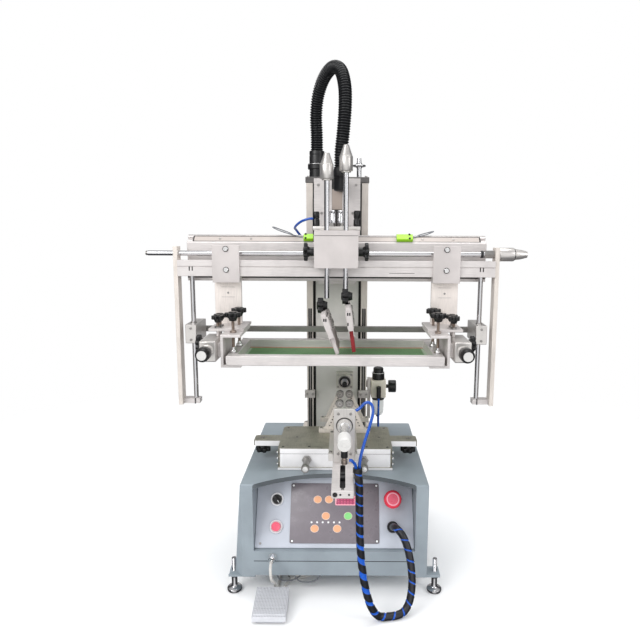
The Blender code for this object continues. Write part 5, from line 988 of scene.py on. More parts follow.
def make_controls():
    """The operating panel: its film of keys, selector, push button, emergency stop and the tubes' gland."""
    machined("control_panel", "panel", edge=0.0004)
    film = on_panel(prism(rectangle((-0.1, 0.1), (0.0105, 0.1395), 0.004), PANEL_FACE, 0.0038, 0.0003))
    keys = [("orange", x, rise) for x, rise in (
        (-0.039, 0.104), (-0.0134, 0.104), (-0.02, 0.0686), (-0.0448, 0.0417), (0.0057, 0.0417),
    )] + [("green_key", 0.03, 0.0686)]
    worn = wear("membrane", film)
    for finish, x, rise in keys:
        worn += wear(
            "key_rim", on_panel(prism(ellipse((x, rise), 0.0094, 0.0084), FILM_FACE, 0.0039, 0.0002, 2)),
        )
        worn += wear(
            finish, on_panel(prism(ellipse((x, rise), 0.0086, 0.0076), FILM_FACE, 0.0042, 0.0004, 3)),
        )
    border = prism(rectangle((0.001, 0.047), (0.0915, 0.112), 0.002), FILM_FACE, 0.00395, 0.0001)
    window = prism(rectangle((0.0032, 0.0448), (0.0937, 0.1098), 0.001), 0.0038, 0.0042, 0.0002)
    lamps = np.linspace(-0.052, 0.011, 6)
    dots = [on_panel(mark(0.0022, (x, 0.055, 0.0037), UP, 48, 0.0002, 0.0003)) for x in lamps]
    worn += wear("pale_red", on_panel(border)) + wear("display", on_panel(window)) + wear("white_mark", dots)
    for x in (-0.0945, 0.0945):
        for rise in (0.0155, 0.1345):
            worn += wear("dark_marks_and_painted_shade", on_panel(mark(0.0036, (x, rise, 0.0037))))
            worn += wear("white_mark", on_panel(turned(
                [(0.0026, 0), (0.0024, 0.0006), (0, 0.0007)], (x, rise, 0.0037), steps=24,
            )))
    build("keypad_film", worn, "base", "membrane_panel")
    screws = [
        on_panel(cap_screw((x, rise, PANEL_FACE - 0.0004), UP, 0.0026, 0.0012))
        for x in (-0.165, 0.165) for rise in (0.01, 0.148)
    ]
    build("panel_screws", wear("steel", screws), "base")

    x, rise = -0.131, 0.104
    dial = on_face(x, rise, [
        (0.0105, 0), (0.0105, 0.006), (0.0098, 0.0068), (0, 0.0068),
    ], flutes=24, depth=0.02, fluted=(0.001, 0.006))
    turned_to = (x, rise, PANEL_FACE), UP, 0.6
    lever = prism(rectangle((-0.003, 0.003), (-0.01, 0.01), 0.0028), 0.006, 0.0128, 0.001, 3)
    line = prism(rectangle((-0.0006, 0.0006), (0.003, 0.009)), 0.0126, 0.0131, 0.0001)
    worn = wear("bezel", bezel(x, rise)) + wear("black", dial, on_panel(aimed(lever, *turned_to)))
    worn += wear("white_mark", on_panel(aimed(line, *turned_to)))
    build("selector_switch_detail", worn, "base", "selector_switch")

    rise = 0.0455
    cap = on_face(x, rise, [(0.01, 0), (0.01, 0.008), (0.0092, 0.009), (0.0078, 0.0088), (0, 0.0082)])
    worn = wear("bezel", bezel(x, rise)) + wear("pink", cap)
    build("push_button_detail", worn, "base", "push_button")

    x, rise = 0.13, 0.104
    neck = on_face(x, rise, [(0.015, 0), (0.015, 0.003), (0.0125, 0.0036), (0.0118, 0.015), (0, 0.015)])
    head = on_face(x, rise, [
        (0.011, 0.013), (0.018, 0.014), (0.0198, 0.0165), (0.02, 0.019), (0.0196, 0.0245), (0.018, 0.028),
        (0.0155, 0.0296), (0.014, 0.0298), (0, 0.0298),
    ], steps=64, flutes=30, depth=0.012, fluted=(0.016, 0.025))
    # Painted highlight: the pale ring on the top of the red dome
    face = on_face(
        x, rise, [(0.0146, 0.0294), (0.0142, 0.0301), (0.012, 0.0303), (0.0112, 0.0297), (0, 0.0297)],
    )
    middle = on_face(x, rise, [(0.0106, 0.0296), (0.0104, 0.0301), (0.009, 0.0303), (0, 0.0303)])
    worn = wear("red", neck, head) + wear("pale_red", face) + wear("pink", middle)
    build("emergency_stop_detail", worn, "base", "emergency_stop")

    gland = on_face(x, 0.0455, [
        (0.0125, 0), (0.0125, 0.0032), (0.0116, 0.004), (0.0112, 0.0088), (0.01, 0.01), (0, 0.01),
    ], flutes=20, depth=0.05, fluted=(0.0038, 0.009))
    build("bundle_gland", wear("black_soft", gland), "base", "bundle_grommet")

    low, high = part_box("pedal_socket")
    centre = ((low.x + high.x) / 2, high.y, (low.z + high.z) / 2)
    length = high.y - low.y
    socket = turned([
        (0.0078, 0), (0.0078, 0.0022), (0.006, 0.0026), (0.006, 0.005), (0.0076, 0.0056), (0.0076, 0.017),
        (0.0062, 0.0185), (0.0058, length - 0.004), (0.004, length), (0, length),
    ], centre, TO_FRONT, 72, 30, 0.07, (0.006, 0.0165))
    build("pedal_socket_knurled", wear("silver", socket), "base", "pedal_socket")


def make_table():
    """The work table: a ground plate with wings on a painted block, plungers in front and knobs underneath."""
    plungers = [((x - 0.012, x + 0.012), (-0.095, -0.0405), (0.27, 0.3)) for x in (-PLUNGER_X, PLUNGER_X)]
    knobs = [((x - 0.02, x + 0.02), None, (0.27, 0.2965)) for x in (-TABLE_KNOB_X, TABLE_KNOB_X)]
    machined(
        "work_table", "plate", [
            ("front_white", ((-0.132, 0.132), (-0.0415, -0.0345), (0.26, 0.3098))),
            *both_sides("front_white", (0.1325, 0.195), (0.0125, 0.015), None),
        ], plungers + knobs, 0.0006,
    )
    profile = [
        (0.0075, 0), (0.0075, 0.015), (0.0064, 0.0162), (0.0064, 0.0182), (0.0075, 0.0194), (0.0075, 0.0385),
        (0.0088, 0.04), (0.009, 0.041), (0.009, 0.0535), (0.008, 0.055), (0.004, 0.055), (0.0034, 0.054),
        (0, 0.054),
    ]
    worn = []
    for x in (-PLUNGER_X, PLUNGER_X):
        worn += wear("grey_metal", turned(profile, (x, -0.036, 0.284), TO_FRONT, 72, 32, 0.06, (0.02, 0.038)))
        worn += wear("steel", hex_nut((x, -0.0362, 0.284), TO_FRONT, 0.0112, 0.005))
        worn += wear("silver", turned([
            (0.0062, 0.0545), (0.006, 0.0552), (0.003, 0.0556), (0, 0.0556),
        ], (x, -0.036, 0.284), TO_FRONT, 40))
    for x in (-TABLE_KNOB_X, TABLE_KNOB_X):
        worn += wear("black", star_knob((x, 0.0335, 0.297), (0, 0, -1), 0.018, 0.019, 0.2))
        worn += steel_screw((x, 0.0335, 0.3098), UP, 0.0046, 0.0014)
    holes = [
        (-0.12, -0.024), (0.12, -0.024), (-0.12, 0.104), (0.12, 0.104), (-0.093, 0.04), (0.104, 0.04),
        (-0.06, -0.022), (0.072, -0.022),
    ]
    for x, y in holes:
        # Painted shade: a dark disc in the mouth of each hole, under a steel rim
        worn += wear("dark_marks_and_painted_shade", mark(0.0032, (x, y, 0.3099), UP, 24, 0.0002))
        worn += wear("steel", ring(0.0034, 0.0003, (x, y, 0.31), steps=24, sides=8))
    for side in (-1, 1):
        for z in (0.272, 0.286, 0.3):
            worn += wear("silver", cap_screw((side * 0.1313, -0.031, z), (side, 0, 0), 0.0036, 0.003))
    worn += wear("dark_marks_and_painted_shade", plate_y((-0.1312, 0.1312), (0.2975, 0.2981), (-0.0364, -0.0358)))
    build("table_fittings", worn, "base")


def make_tailstock():
    """The arm in its guide, the tailstock's plate, its cylinder and the cup for the bottle's mouth."""
    machined("slide_guide", "metal_y", edge=0.0005)
    # The arm's slot is a dark area of its surface: painted shade in the slot
    machined("slide_arm", "white_metal", [(
        "dark_marks_and_painted_shade", ((0.0125, 0.0235), (-0.282, -0.172), (0.314, 0.3292)),
    )], edge=0.0006)
    machined("tailstock_plate", "metal_z", edge=0.0008)
    worn = []
    for y in (-0.095, 0.03):
        for x in (-0.0085, 0.0445):
            worn += steel_screw((x, y, 0.3262), UP, 0.0032)
    for x in (0.0085, 0.0335):
        worn += steel_screw((x, -0.137, 0.3418), UP, 0.0036, 0.003)
        worn += wear("steel", [cap_screw((x, -0.1641, z), TO_FRONT, 0.0028, 0.002) for z in (0.435, 0.35)])
    worn += steel_screw((0.018, -0.286, 0.3294), UP, 0.003, 0.002)
    for near, far in ((-0.232, -0.22), (-0.214, -0.204)):
        worn += wear("black_soft", box((0.0132, 0.0228), (near, far), (0.318, 0.328), 0.0004))
    worn += wear("dark_marks_and_painted_shade", cap_screw((0.004, -0.2909, 0.3215), TO_FRONT, 0.0046, 0.0012))
    for x in (0.014, 0.03):
        worn += wear("dark_marks_and_painted_shade", mark(0.0022, (x, -0.2909, 0.3215), TO_FRONT, 20, 0.0002, 0.0003))
    build("tailstock_screws", worn, "base")
    front = (AXIS_X, -0.1643, AXIS_Z)
    boss = turned([(0.0155, 0), (0.0155, 0.0052), (0.0148, 0.006), (0, 0.006)], front, TO_FRONT)
    barrel = turned([
        (0.0105, 0.006), (0.0105, 0.01), (0.009, 0.0104), (0.009, 0.0697), (0, 0.0697),
    ], front, TO_FRONT)
    cap = turned([
        (0.009, 0.069), (0.012, 0.0692), (0.0128, 0.07), (0.0128, 0.076), (0.0122, 0.0764), (0.0122, 0.0776),
        (0.0128, 0.078), (0.0128, 0.1085), (0.012, 0.1097), (0.005, 0.1097), (0.0046, 0.1087), (0, 0.1087),
    ], front, TO_FRONT, 64)
    brass = turned([
        (0, 0.368), (0.0056, 0.368), (0.0062, 0.369), (0.0062, 0.376), (0.0048, 0.3768), (0.0048, 0.382),
        (0, 0.382),
    ], (AXIS_X, -0.258, 0), steps=32)
    fitting = turned([
        (0, 0.381), (0.0064, 0.381), (0.0066, 0.3816), (0.0066, 0.393), (0.0044, 0.394), (0.0044, 0.399),
        (0, 0.399),
    ], (AXIS_X, -0.258, 0), steps=32)
    # Painted shade: a dark ring in the groove round the boss's foot
    groove = turned([(0.0172, 0), (0.0172, 0.0006), (0.0154, 0.0006)], front, TO_FRONT, 56)
    worn = wear("silver", barrel) + wear("metal_z", boss) + wear("cap_white", cap)
    worn += wear("black_soft", fitting) + wear("copper_grey", brass) + wear("dark_marks_and_painted_shade", groove)
    build("tailstock_cylinder_turned", worn, "base", "tailstock_cylinder")
    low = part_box("tailstock_cup")[0]
    cup = turned([
        (0, 0), (0.015, 0), (0.0165, 0.0012), (0.0165, 0.018), (0.0156, 0.0192), (0.0156, 0.0205),
        (0.0165, 0.0218),
        (0.0165, 0.03), (0.0152, 0.0338), (0.0138, 0.034), (0.011, 0.02), (0, 0.016),
    ], (AXIS_X, -0.125, AXIS_Z), (0, 1, 0), 64)
    stem = rod((AXIS_X, low.y, AXIS_Z), (AXIS_X, -0.124, AXIS_Z), 0.005)
    build(
        "tailstock_cup_turned", wear("black_soft", cup) + wear("chrome", stem), "cup", "tailstock_cup",
    )


def bearing(at, radius, width):
    """A small ball bearing seen end on: outer ring, dark seal, inner ring, and a pin through it."""
    towards = TO_FRONT
    outer = turned([
        (radius * 0.74, 0), (radius, 0), (radius, width * 0.94), (radius * 0.96, width),
        (radius * 0.76, width), (radius * 0.74, width * 0.94),
    ], at, towards, 40)
    seal = turned(
        [(radius * 0.76, width * 0.9), (radius * 0.44, width * 0.9), (0, width * 0.9)], at, towards, 40,
    )
    inner = turned([
        (radius * 0.46, 0), (radius * 0.46, width), (radius * 0.34, width), (radius * 0.32, width * 0.9),
        (0, width * 0.9),
    ], at, towards, 32)
    return wear("steel", outer) + wear("dark_marks_and_painted_shade", seal) + wear("silver", inner)


def make_roller_stands():
    """Two A-shaped stands, each with rows of mounting holes and a pair of ball bearings for the bottle."""
    for node in ("roller_stand_front", "roller_stand_rear"):
        low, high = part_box(node)
        middle = (low.y + high.y) / 2
        face = (0.076 if node.endswith("front") else 0.158) - 0.003
        space = ((0.0, 0.042), (low.y - 0.01, face - 0.0008), (0.374, 0.397))
        machined(node, "beige", (), [space], 0.0005)
        worn = []
        for side in (-1, 1):
            worn += bearing((AXIS_X + side * 0.012, face + 0.0005, 0.385), 0.0098, face - low.y)
            for share in np.linspace(0.1, 0.8, 7):
                x = AXIS_X + side * (0.039 * (1 - share) + 0.012 * share)
                z = 0.3213 + (0.385 - 0.3213) * share
                # Painted shade: dark discs stand for the mouths of the mounting holes
                worn += wear("dark_marks_and_painted_shade", mark(0.0016, (x, face - 0.0001, z), TO_FRONT, 16, 0.0001, 0.0003))
            worn += steel_screw((AXIS_X + side * 0.057, middle, 0.3212), UP, 0.003)
        build(node + "_bearings", worn, "base")


def make_spindle():
    """The driven spindle's housing with its screws and ring, and the spindle with a dark centre."""
    machined("spindle_housing", "warm_white", edge=0.0006)
    worn = []
    for x in (0.0035, 0.0385):
        for z in (0.3915, 0.4235):
            worn += steel_screw((x, 0.1979, z), TO_FRONT, 0.0028)
    mouth = (AXIS_X, 0.18, AXIS_Z), (0, 1, 0)
    worn += wear("steel", ring(0.0158, 0.0014, *mouth))
    # Painted shade: a dark ring inside the housing's mouth round the spindle
    worn += wear("dark_marks_and_painted_shade", turned([(0.0146, 0), (0.0142, -0.0006), (0.01, -0.0006)], *mouth))
    build("spindle_housing_screws", worn, "base")
    low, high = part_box("spindle")
    length = high.y - low.y
    tip = (AXIS_X, low.y, AXIS_Z), (0, 1, 0), 56
    nose = turned([(0, 0), (0.0052, 0), (0.0065, 0.0014), (0.0065, 0.0195), (0, 0.0195)], *tip)
    shaft = turned([(0.006, 0.0185), (0.0098, 0.0185), (0.01, 0.0192), (0.01, length), (0, length)], *tip)
    build("spindle_turned", wear("black", nose) + wear("chrome", shaft), "spindle", "spindle")


def make_column():
    """The column's posts and panel, slotted edges, clamp brackets, top plate, gland and hand wheel."""
    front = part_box("column")[0].y
    areas = [
        ("column_panel", ((-0.0565, 0.0565), (0.21, 0.22), (0.2685, 0.9205))),
        # painted shade: dark strips in the grooves along the posts' inner edges
        *both_sides("dark_marks_and_painted_shade", (0.0555, 0.063), (0.2085, 0.2275), (0.2685, 0.9205)),
        *both_sides("block", (0.057, 0.086), (front - 0.001, 0.2078), (0.355, 0.385)),
    ]
    machined("column", "beige", areas, edge=0.0007)
    worn = []
    for side in (-1, 1):
        for x, z in ((0.064, 0.37), (0.079, 0.37)):
            worn += steel_screw((side * x, front, z), TO_FRONT, 0.003, 0.0022)
        for y in (0.216, 0.274):
            worn += steel_screw((side * 0.086, y, 0.2682), UP, 0.0034)
        # Painted shade: a dark strip down each post's side groove, with a steel rod in it
        worn += wear("dark_marks_and_painted_shade", plate_y(
            (side * 0.0655, side * 0.0755), (0.27, 0.6), (front - 0.0002 + 0.008, front + 0.009),
        ))
        worn += wear("steel", rod((side * 0.0706, 0.2092, 0.27), (side * 0.0706, 0.2092, 0.6), 0.0019))
    build("column_screws", worn, "base")
    gland_space = ((-0.078, -0.028), (0.216, 0.266), (0.937, 1.01))
    machined("column_top_plate", "top_plate", (), [gland_space], 0.0008)
    x, y = -0.053, 0.241
    gland = turned([
        (0.0195, 0.936), (0.0195, 0.957), (0.0225, 0.9575), (0.0235, 0.9585), (0.0235, 0.9678),
        (0.0225, 0.969),
        (0.0195, 0.9695), (0.0195, 0.99), (0.0188, 0.9915), (0.0188, 0.994), (0.0195, 0.995), (0.019, 1.0028),
        (0, 1.0028),
    ], (x, y, 0), UP, 72, 24, 0.03, (0.9588, 0.9676))
    worn = wear("black_soft", gland) + wear("silver", ring(0.0226, 0.0009, (x, y, 0.97)))
    for corner_x in (-0.073, 0.073):
        worn += steel_screw((corner_x, 0.213, TOP_PLATE_FACE), UP, 0.0034, 0.003)
        worn += steel_screw((corner_x * 0.98, 0.263, TOP_PLATE_FACE), UP, 0.0034, 0.003)
    build("hose_gland_rear", worn, "base")
    x, y = 0.0555, 0.233
    rim = ring(0.015, 0.0024, (x, y, 0.966), steps=56)
    hub = turned([
        (0.006, 0.9364), (0.006, 0.96), (0.0078, 0.961), (0.0078, 0.972), (0.006, 0.973), (0.0052, 0.985),
        (0, 0.985),
    ], (x, y, 0), steps=32)
    spokes = [
        rod((x, y, 0.966), (x + 0.0145 * math.cos(angle), y + 0.0145 * math.sin(angle), 0.966), 0.0017)
        for angle in (0.4, 2.494, 4.589)
    ]
    build("lift_handwheel_turned", wear("chrome", rim, hub, spokes), "base", "lift_handwheel")


def make_regulator():
    """The air regulator: body, locking band, knob, clear bowl with a drain, and a gauge with ticks."""
    x, y = REGULATOR_PLACE
    drops = [
        (None, None, (0.4052, 0.44)), ((0.094, 0.13), (0.212, 0.248), (0.295, 0.3568)),
        ((0.1385, 0.165), None, (0.362, 0.408)),
    ]
    machined("air_regulator", "cream", [
        (
            "black", ((0.104, 0.12), (0.194, 0.2085), (0.358, 0.393)),
        ), ("block", ((0.078, 0.0918), None, (0.383, 0.403))),
    ], drops, 0.0012)
    band = turned([
        (0.015, 0.405), (0.0165, 0.4056), (0.0165, 0.4222), (0.0155, 0.4232), (0, 0.4232),
    ], (x, y, 0), UP, 90, 30, 0.03, (0.407, 0.4215))
    knob = turned([
        (0.0135, 0.423), (0.0135, 0.4345), (0.012, 0.4368), (0, 0.437),
    ], (x, y, 0), UP, 90, 30, 0.04, (0.424, 0.434))
    guard = turned(
        [(0.0164, 0.357), (0.0168, 0.356), (0.0168, 0.35), (0.0158, 0.349), (0, 0.349)], (x, y, 0), steps=56,
    )
    bowl = turned([
        (0.0152, 0.3495), (0.0155, 0.348), (0.0153, 0.325), (0.014, 0.312), (0.0105, 0.306), (0.006, 0.305),
        (0, 0.305),
    ], (x, y, 0), steps=56)
    drain = turned([
        (0.006, 0.3062), (0.006, 0.3045), (0.0046, 0.304), (0.0046, 0.3004), (0, 0.3002),
    ], (x, y, 0), steps=32)
    gauge_x, gauge_z = 0.139, 0.385
    case = turned([
        (0.005, -0.008), (0.005, 0), (0.0155, 0.0006), (0.0165, 0.002), (0.0165, 0.019), (0.0158, 0.0205),
        (0.0148, 0.0208), (0.0144, 0.0192), (0, 0.0192),
    ], (gauge_x, y, gauge_z), (1, 0, 0), 64)
    dial = turned([(0.0142, 0.0194), (0, 0.0196)], (gauge_x, y, gauge_z), (1, 0, 0), 56)
    ticks = []
    for share in np.linspace(-0.75, 0.75, 11):
        turn = math.pi * share
        reach = Vector((0, math.sin(turn), math.cos(turn)))
        start = Vector((gauge_x + 0.0197, y, gauge_z)) + reach * 0.0102
        ticks.append(rod(start, start + reach * 0.0028, 0.0003, 0.0001, 8))
    hand = rod(
        (gauge_x + 0.0202, y - 0.003, gauge_z - 0.003), (gauge_x + 0.0202, y + 0.007, gauge_z + 0.007),
        0.0004, 0.0001, 10,
    )
    hub = turned([(0.0018, 0.019), (0.0018, 0.0206), (0, 0.0207)], (gauge_x, y, gauge_z), (1, 0, 0), 20)
    worn = wear("black", band, knob, guard, case, hub, drain) + wear("clear", bowl) + wear("white_mark", dial)
    worn += wear("block", box((0.0815, 0.0905), (0.213, 0.2165), (0.3, 0.414), 0.0005, 0.0015))
    worn += wear("white_mark", ring(0.0166, 0.0005, (x, y, 0.4235)))
    worn += wear("dark_marks_and_painted_shade", ticks, hand)
    for z in (0.388, 0.398):
        worn += steel_screw((0.086, 0.222, z), TO_FRONT, 0.0022, 0.0014)
    build("air_regulator_details", worn, "base")


# The lifting head: plate, beam, squeegee block, cylinders, hose elbow and sensors


def make_head():
    """The lifting plate, the beam with its rail, the squeegee block with star knobs, and their screws."""
    machined("head_plate", "white_metal", [
        ("beige", (None, None, (0.666, 0.735))),
        # painted shade: dark strips in the slots down both sides of the plate
        *both_sides("dark_marks_and_painted_shade", (0.0563, 0.0625), None, (0.738, 0.882)),
        ("dark_marks_and_painted_shade", ((-0.013, 0.013), (0.1775, 0.1802), (0.8105, 0.93))),
    ], edge=0.0008)
    machined("beam", "white_metal", [
        ("grey_metal", ((-0.356, 0.356), (0.121, 0.1275), (0.7045, 0.7215))),
    ], edge=0.0007)
    knobs = [((side * 0.05, side * 0.078), (0.03, 0.085), (0.73, 0.777)) for side in (1, -1)]
    machined("squeegee_block", "block", [("metal_x", (None, None, (0.7909, 0.804)))], knobs, 0.0012)
    worn = []
    for side in (-1, 1):
        stem = turned([
            (0.0105, 0), (0.0105, 0.012), (0.0096, 0.014), (0, 0.014),
        ], (side * 0.0508, SQUEEGEE_Y, 0.7535), (side, 0, 0), 48)
        worn += wear(
            "black", stem, star_knob((side * 0.06, SQUEEGEE_Y, 0.7535), (side, 0, 0), 0.0215, 0.015, 0.4, 7),
        )
        for x in (0.047, 0.039):
            worn += steel_screw(
                (side * x, 0.1782, 0.914 if x > 0.04 else 0.845), TO_FRONT, 0.0032, 0.0024,
            )
        for x in (0.286, 0.21):
            place = (side * x, 0.137, 0.7812)
            worn += steel_screw(place, (0, -1, 1), 0.0026, 0.0016)
        for x in (0.12, 0.33):
            worn += steel_screw((side * x, 0.1319, 0.696), TO_FRONT, 0.0026, 0.0014)
    # Strips on the beam's slope: the dark lines along the slot's edges and ends are painted shade
    strips = [
        (
            "slope_band", (-0.352, 0.352), (0.004, 0.0222), 0.0002,
        ), ("top_plate", (-0.352, 0.352), (0.004, 0.0056), 0.0005),
        (
            "dark_marks_and_painted_shade", (-0.352, 0.352), (0.0204, 0.0222), 0.0005,
        ), ("dark_marks_and_painted_shade", (-0.352, -0.349), (0.004, 0.0222), 0.0005),
        ("dark_marks_and_painted_shade", (0.349, 0.352), (0.004, 0.0222), 0.0005), (
            "grey_metal", (-0.3655, 0.3655), (0.0242, 0.026), 0.0004,
        ),
    ]
    for finish, across, rise, out in strips:
        lift, high = Vector((0, 1, 1)).normalized(), Vector((0, -1, 1)).normalized()
        corner = Vector((0, 0.128, 0.772)) + lift * rise[0]
        strip = prism(rectangle(across, (0.0, rise[1] - rise[0]), 0.0002), -0.0002, out, 0.00005, 1)
        points = strip[0]
        placed = np.stack([
            points[..., 0], corner.y + points[..., 1] * lift.y + points[..., 2] * high.y,
            corner.z + points[..., 1] * lift.z + points[..., 2] * high.z,
        ], -1)
        worn.append((finish, (placed,) + tuple(strip[1:])))
    # Painted shadow: a dark strip along the beam's lower edge, under the carriage bar
    worn += wear("dark_marks_and_painted_shade", plate_y((-0.366, 0.366), (0.6862, 0.6902), (0.1274, 0.1282)))
    worn += wear("brown_plate", plate_y((-0.0125, 0.0125), (0.854, 0.904), (0.178, 0.1802), 0.001))
    worn += wear("dark_marks_and_painted_shade", plate_y((-0.05, 0.05), (0.7905, 0.7913), (0.0433, 0.0442)))
    build("head_fittings", worn, "head")


def make_stroke_cylinders():
    """Two round seats on one base, each with two chromed posts, and the black flow control beside each."""
    y = 0.098
    base = box((-0.057, 0.057), (0.083, 0.113), (0.8031, CYLINDER_FOOT), 0.0008, 0.003)
    worn = wear("metal_x", base)
    for x in (-0.0155, 0.0155):
        barrel = turned([
            (0.0135, CYLINDER_FOOT), (0.0135, 0.815), (0.0126, 0.8156), (0.0126, 0.82), (0, 0.82),
        ], (x, y, 0), UP, 64)
        worn += wear("steel", barrel)
        for shift in (-0.0066, 0.0066):
            post = turned([
                (0.0062, 0.819), (0.0062, 0.842), (0.0056, 0.843), (0.0062, 0.844), (0.0062, 0.8475),
                (0.005, 0.849), (0, 0.8492),
            ], (x + shift, y, 0), UP, 48)
            worn += wear("chrome", post)
            worn += wear("white_mark", turned(
                [(0.0046, 0.8488), (0.0042, 0.8498), (0, 0.85)], (x + shift, y, 0), UP, 32,
            ))
    for x, top in ((-0.0485, 0.8465), (0.0485, 0.849)):
        control = turned([
            (0.0066, CYLINDER_FOOT), (0.0084, 0.8135), (0.0084, 0.827), (0.007, 0.829), (0.007, 0.831),
            (0.008, 0.8325),
            (0.008, top - 0.003), (0.0066, top), (0, top),
        ], (x, y, 0), UP, 64, 16, 0.06, (0.833, top - 0.004))
        worn += wear("black", control)
        worn += steel_screw((x * 0.66, 0.0868, 0.812), UP, 0.0024, 0.0016)
    build("stroke_cylinders_turned", worn, "head", "stroke_cylinders")


def make_hose_elbow():
    """The black gland that takes the hose on the head, ribbed for the hand, with its arm to the plate."""
    x, y = 0.01, 0.109
    gland = turned([
        (0, 0.8945), (0.013, 0.8945), (0.016, 0.896), (0.0175, 0.899), (0.0175, 0.924), (0.0162, 0.9248),
        (0.0162, 0.9262),
        (0.0175, 0.927), (0.0175, 0.944), (0.0168, 0.9452), (0.0168, 0.95), (0, 0.95),
    ], (x, y, 0), UP, 96, 16, 0.05, (0.9275, 0.9436))
    arm = turned([
        (0, -0.01), (0.0135, -0.01), (0.0135, 0.05), (0.016, 0.051), (0.016, 0.06), (0.0135, 0.061),
        (0.0135, 0.1774 - y), (0, 0.1774 - y),
    ], (x, y, 0.912), (0, 1, 0), 64)
    build("hose_elbow_ribbed", wear("black_soft", gland, arm), "head", "hose_elbow")


def make_sensors():
    """Two lime-green limit sensors on the beam's slope, with screws and the grey leads that loop to the plate."""
    for name, side in SIDES:
        node = "limit_sensor_" + name
        machined(node, "lime", edge=0.0009)
        low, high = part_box(node)
        middle = Vector(((low.x + high.x) / 2, (low.y + high.y) / 2 - 0.0016, (low.z + high.z) / 2 + 0.0016))
        slope = Vector((0, -1, 1)).normalized()
        outer = middle + Vector((side * 0.58 * (high.x - low.x) / 2, 0, 0)) + slope * 0.003
        worn = []
        for rise in (-0.0046, 0.0046):
            worn += wear("dark_marks_and_painted_shade", cap_screw(outer + Vector((0, rise, rise)), slope, 0.0026, 0.0014))
        build(node + "_fittings", worn, "head")
    leads = {"right": [
        (0.186, 0.14, 0.783), (0.198, 0.142, 0.788), (0.218, 0.144, 0.7925), (0.234, 0.148, 0.7985),
        (0.239, 0.154, 0.801), (0.23, 0.16, 0.799), (0.212, 0.164, 0.794), (0.2, 0.165, 0.79),
    ], "left": [
        (-0.0815, 0.14, 0.783), (-0.092, 0.1415, 0.7865), (-0.115, 0.143, 0.793),
        (-0.14, 0.145, 0.801), (-0.154, 0.149, 0.807), (-0.159, 0.155, 0.81),
        (-0.154, 0.161, 0.809), (-0.14, 0.164, 0.804), (-0.118, 0.165, 0.796), (-0.108, 0.165, 0.79),
    ]}
    for side, route in leads.items():
        lead("sensor_lead_" + side, route, 0.0013, "head")


# Squeegee and flood bar


def cone_rod(x, bottom, collar, barrel, shoulder, top):
    """A rod with a collar, a knurled barrel and a cone on top: all five are heights in metres."""
    profile = [
        (0, bottom), (0.006, bottom), (0.006, collar), (0.0105, collar), (0.0115, collar + 0.001),
        (0.0115, collar + 0.0022),
        (0.0108, collar + 0.0028), (0.0148, collar + 0.0034), (0.0155, collar + 0.0044),
        (0.0155, shoulder - 0.001), (0.015, shoulder),
        (0.0144, shoulder + 0.0006), (0.014, shoulder + 0.0018), (0.0068, top - 0.002),
        (0.0066, top - 0.0012), (0.0058, top), (0, top),
    ]
    return turned(profile, (x, SQUEEGEE_Y, 0), UP, 120, 44, 0.03, (barrel - 0.002, shoulder - 0.006))


def make_blades():
    """The squeegee and the flood bar: chromed rods with cone nuts, holders, clamp screws and blades."""
    for node, body, x, heights, tilt, pivot, knob, marks, last in (
        ("squeegee_rod", "squeegee", 0.022, (0.66, 0.933, 0.943, 0.969, 0.994), 8.0, (0.0248, 0.65),
         (0.0114, 0.0382), ((0.033, -0.0024), (0.033, 0.0024), (0.056, -0.005)), 0.066),
        ("flood_rod", "flood", -0.022, (0.645, 0.915, 0.925, 0.951, 0.976), 20.0, (-0.033, 0.628),
         (-0.046, -0.0203), ((0.026, -0.0024), (0.026, 0.0024)), 0.05),
    ):
        grip = ((knob[0] - 0.0004, knob[1] + 0.0004), (0.037, 0.076), (pivot[1] - 0.0195, pivot[1] + 0.0195))
        machined(node, "block", (), [((x - 0.02, x + 0.02), (0.036, 0.077), (0.69, 1.0)), grip], 0.0008)
        worn = wear("chrome", rod((x, SQUEEGEE_Y, heights[0]), (x, SQUEEGEE_Y, heights[1] + 0.001), 0.006))
        worn += wear("metal_z", cone_rod(x, heights[1] - 0.0004, *heights[1:]))
        worn += wear("black", star_knob(
            (knob[1], SQUEEGEE_Y, pivot[1]), (-1, 0, 0), 0.0188, (knob[1] - knob[0]) / 1.12, 0.3, 6,
        ))
        lean = math.radians(tilt)
        down = Vector((math.sin(lean), 0, -math.cos(lean)))
        side = Vector((math.cos(lean), 0, math.sin(lean)))
        front = -0.0136
        for reach, across in marks:
            middle = Vector((pivot[0] + across * math.cos(lean), front, pivot[1])) + down * reach
            width, height = (middle.x - 0.0015, middle.x + 0.0015), (middle.z - 0.0034, middle.z + 0.0034)
            worn += wear("black_soft", plate_y(width, height, (front - 0.0006, front + 0.0004)))
        for reach in (0.03, 0.046, 0.06):
            for y in (0.02, 0.056, 0.092):
                place = Vector((pivot[0], y, pivot[1])) + down * min(reach, last) + side * 0.0074
                worn += steel_screw(place, side, 0.0032, 0.003)
        build(node + "_turned", worn, body)
    machined("squeegee_blade", "red_rubber", edge=0.0008)
    machined("flood_blade", "block", edge=0.001)


# The screen's carriage


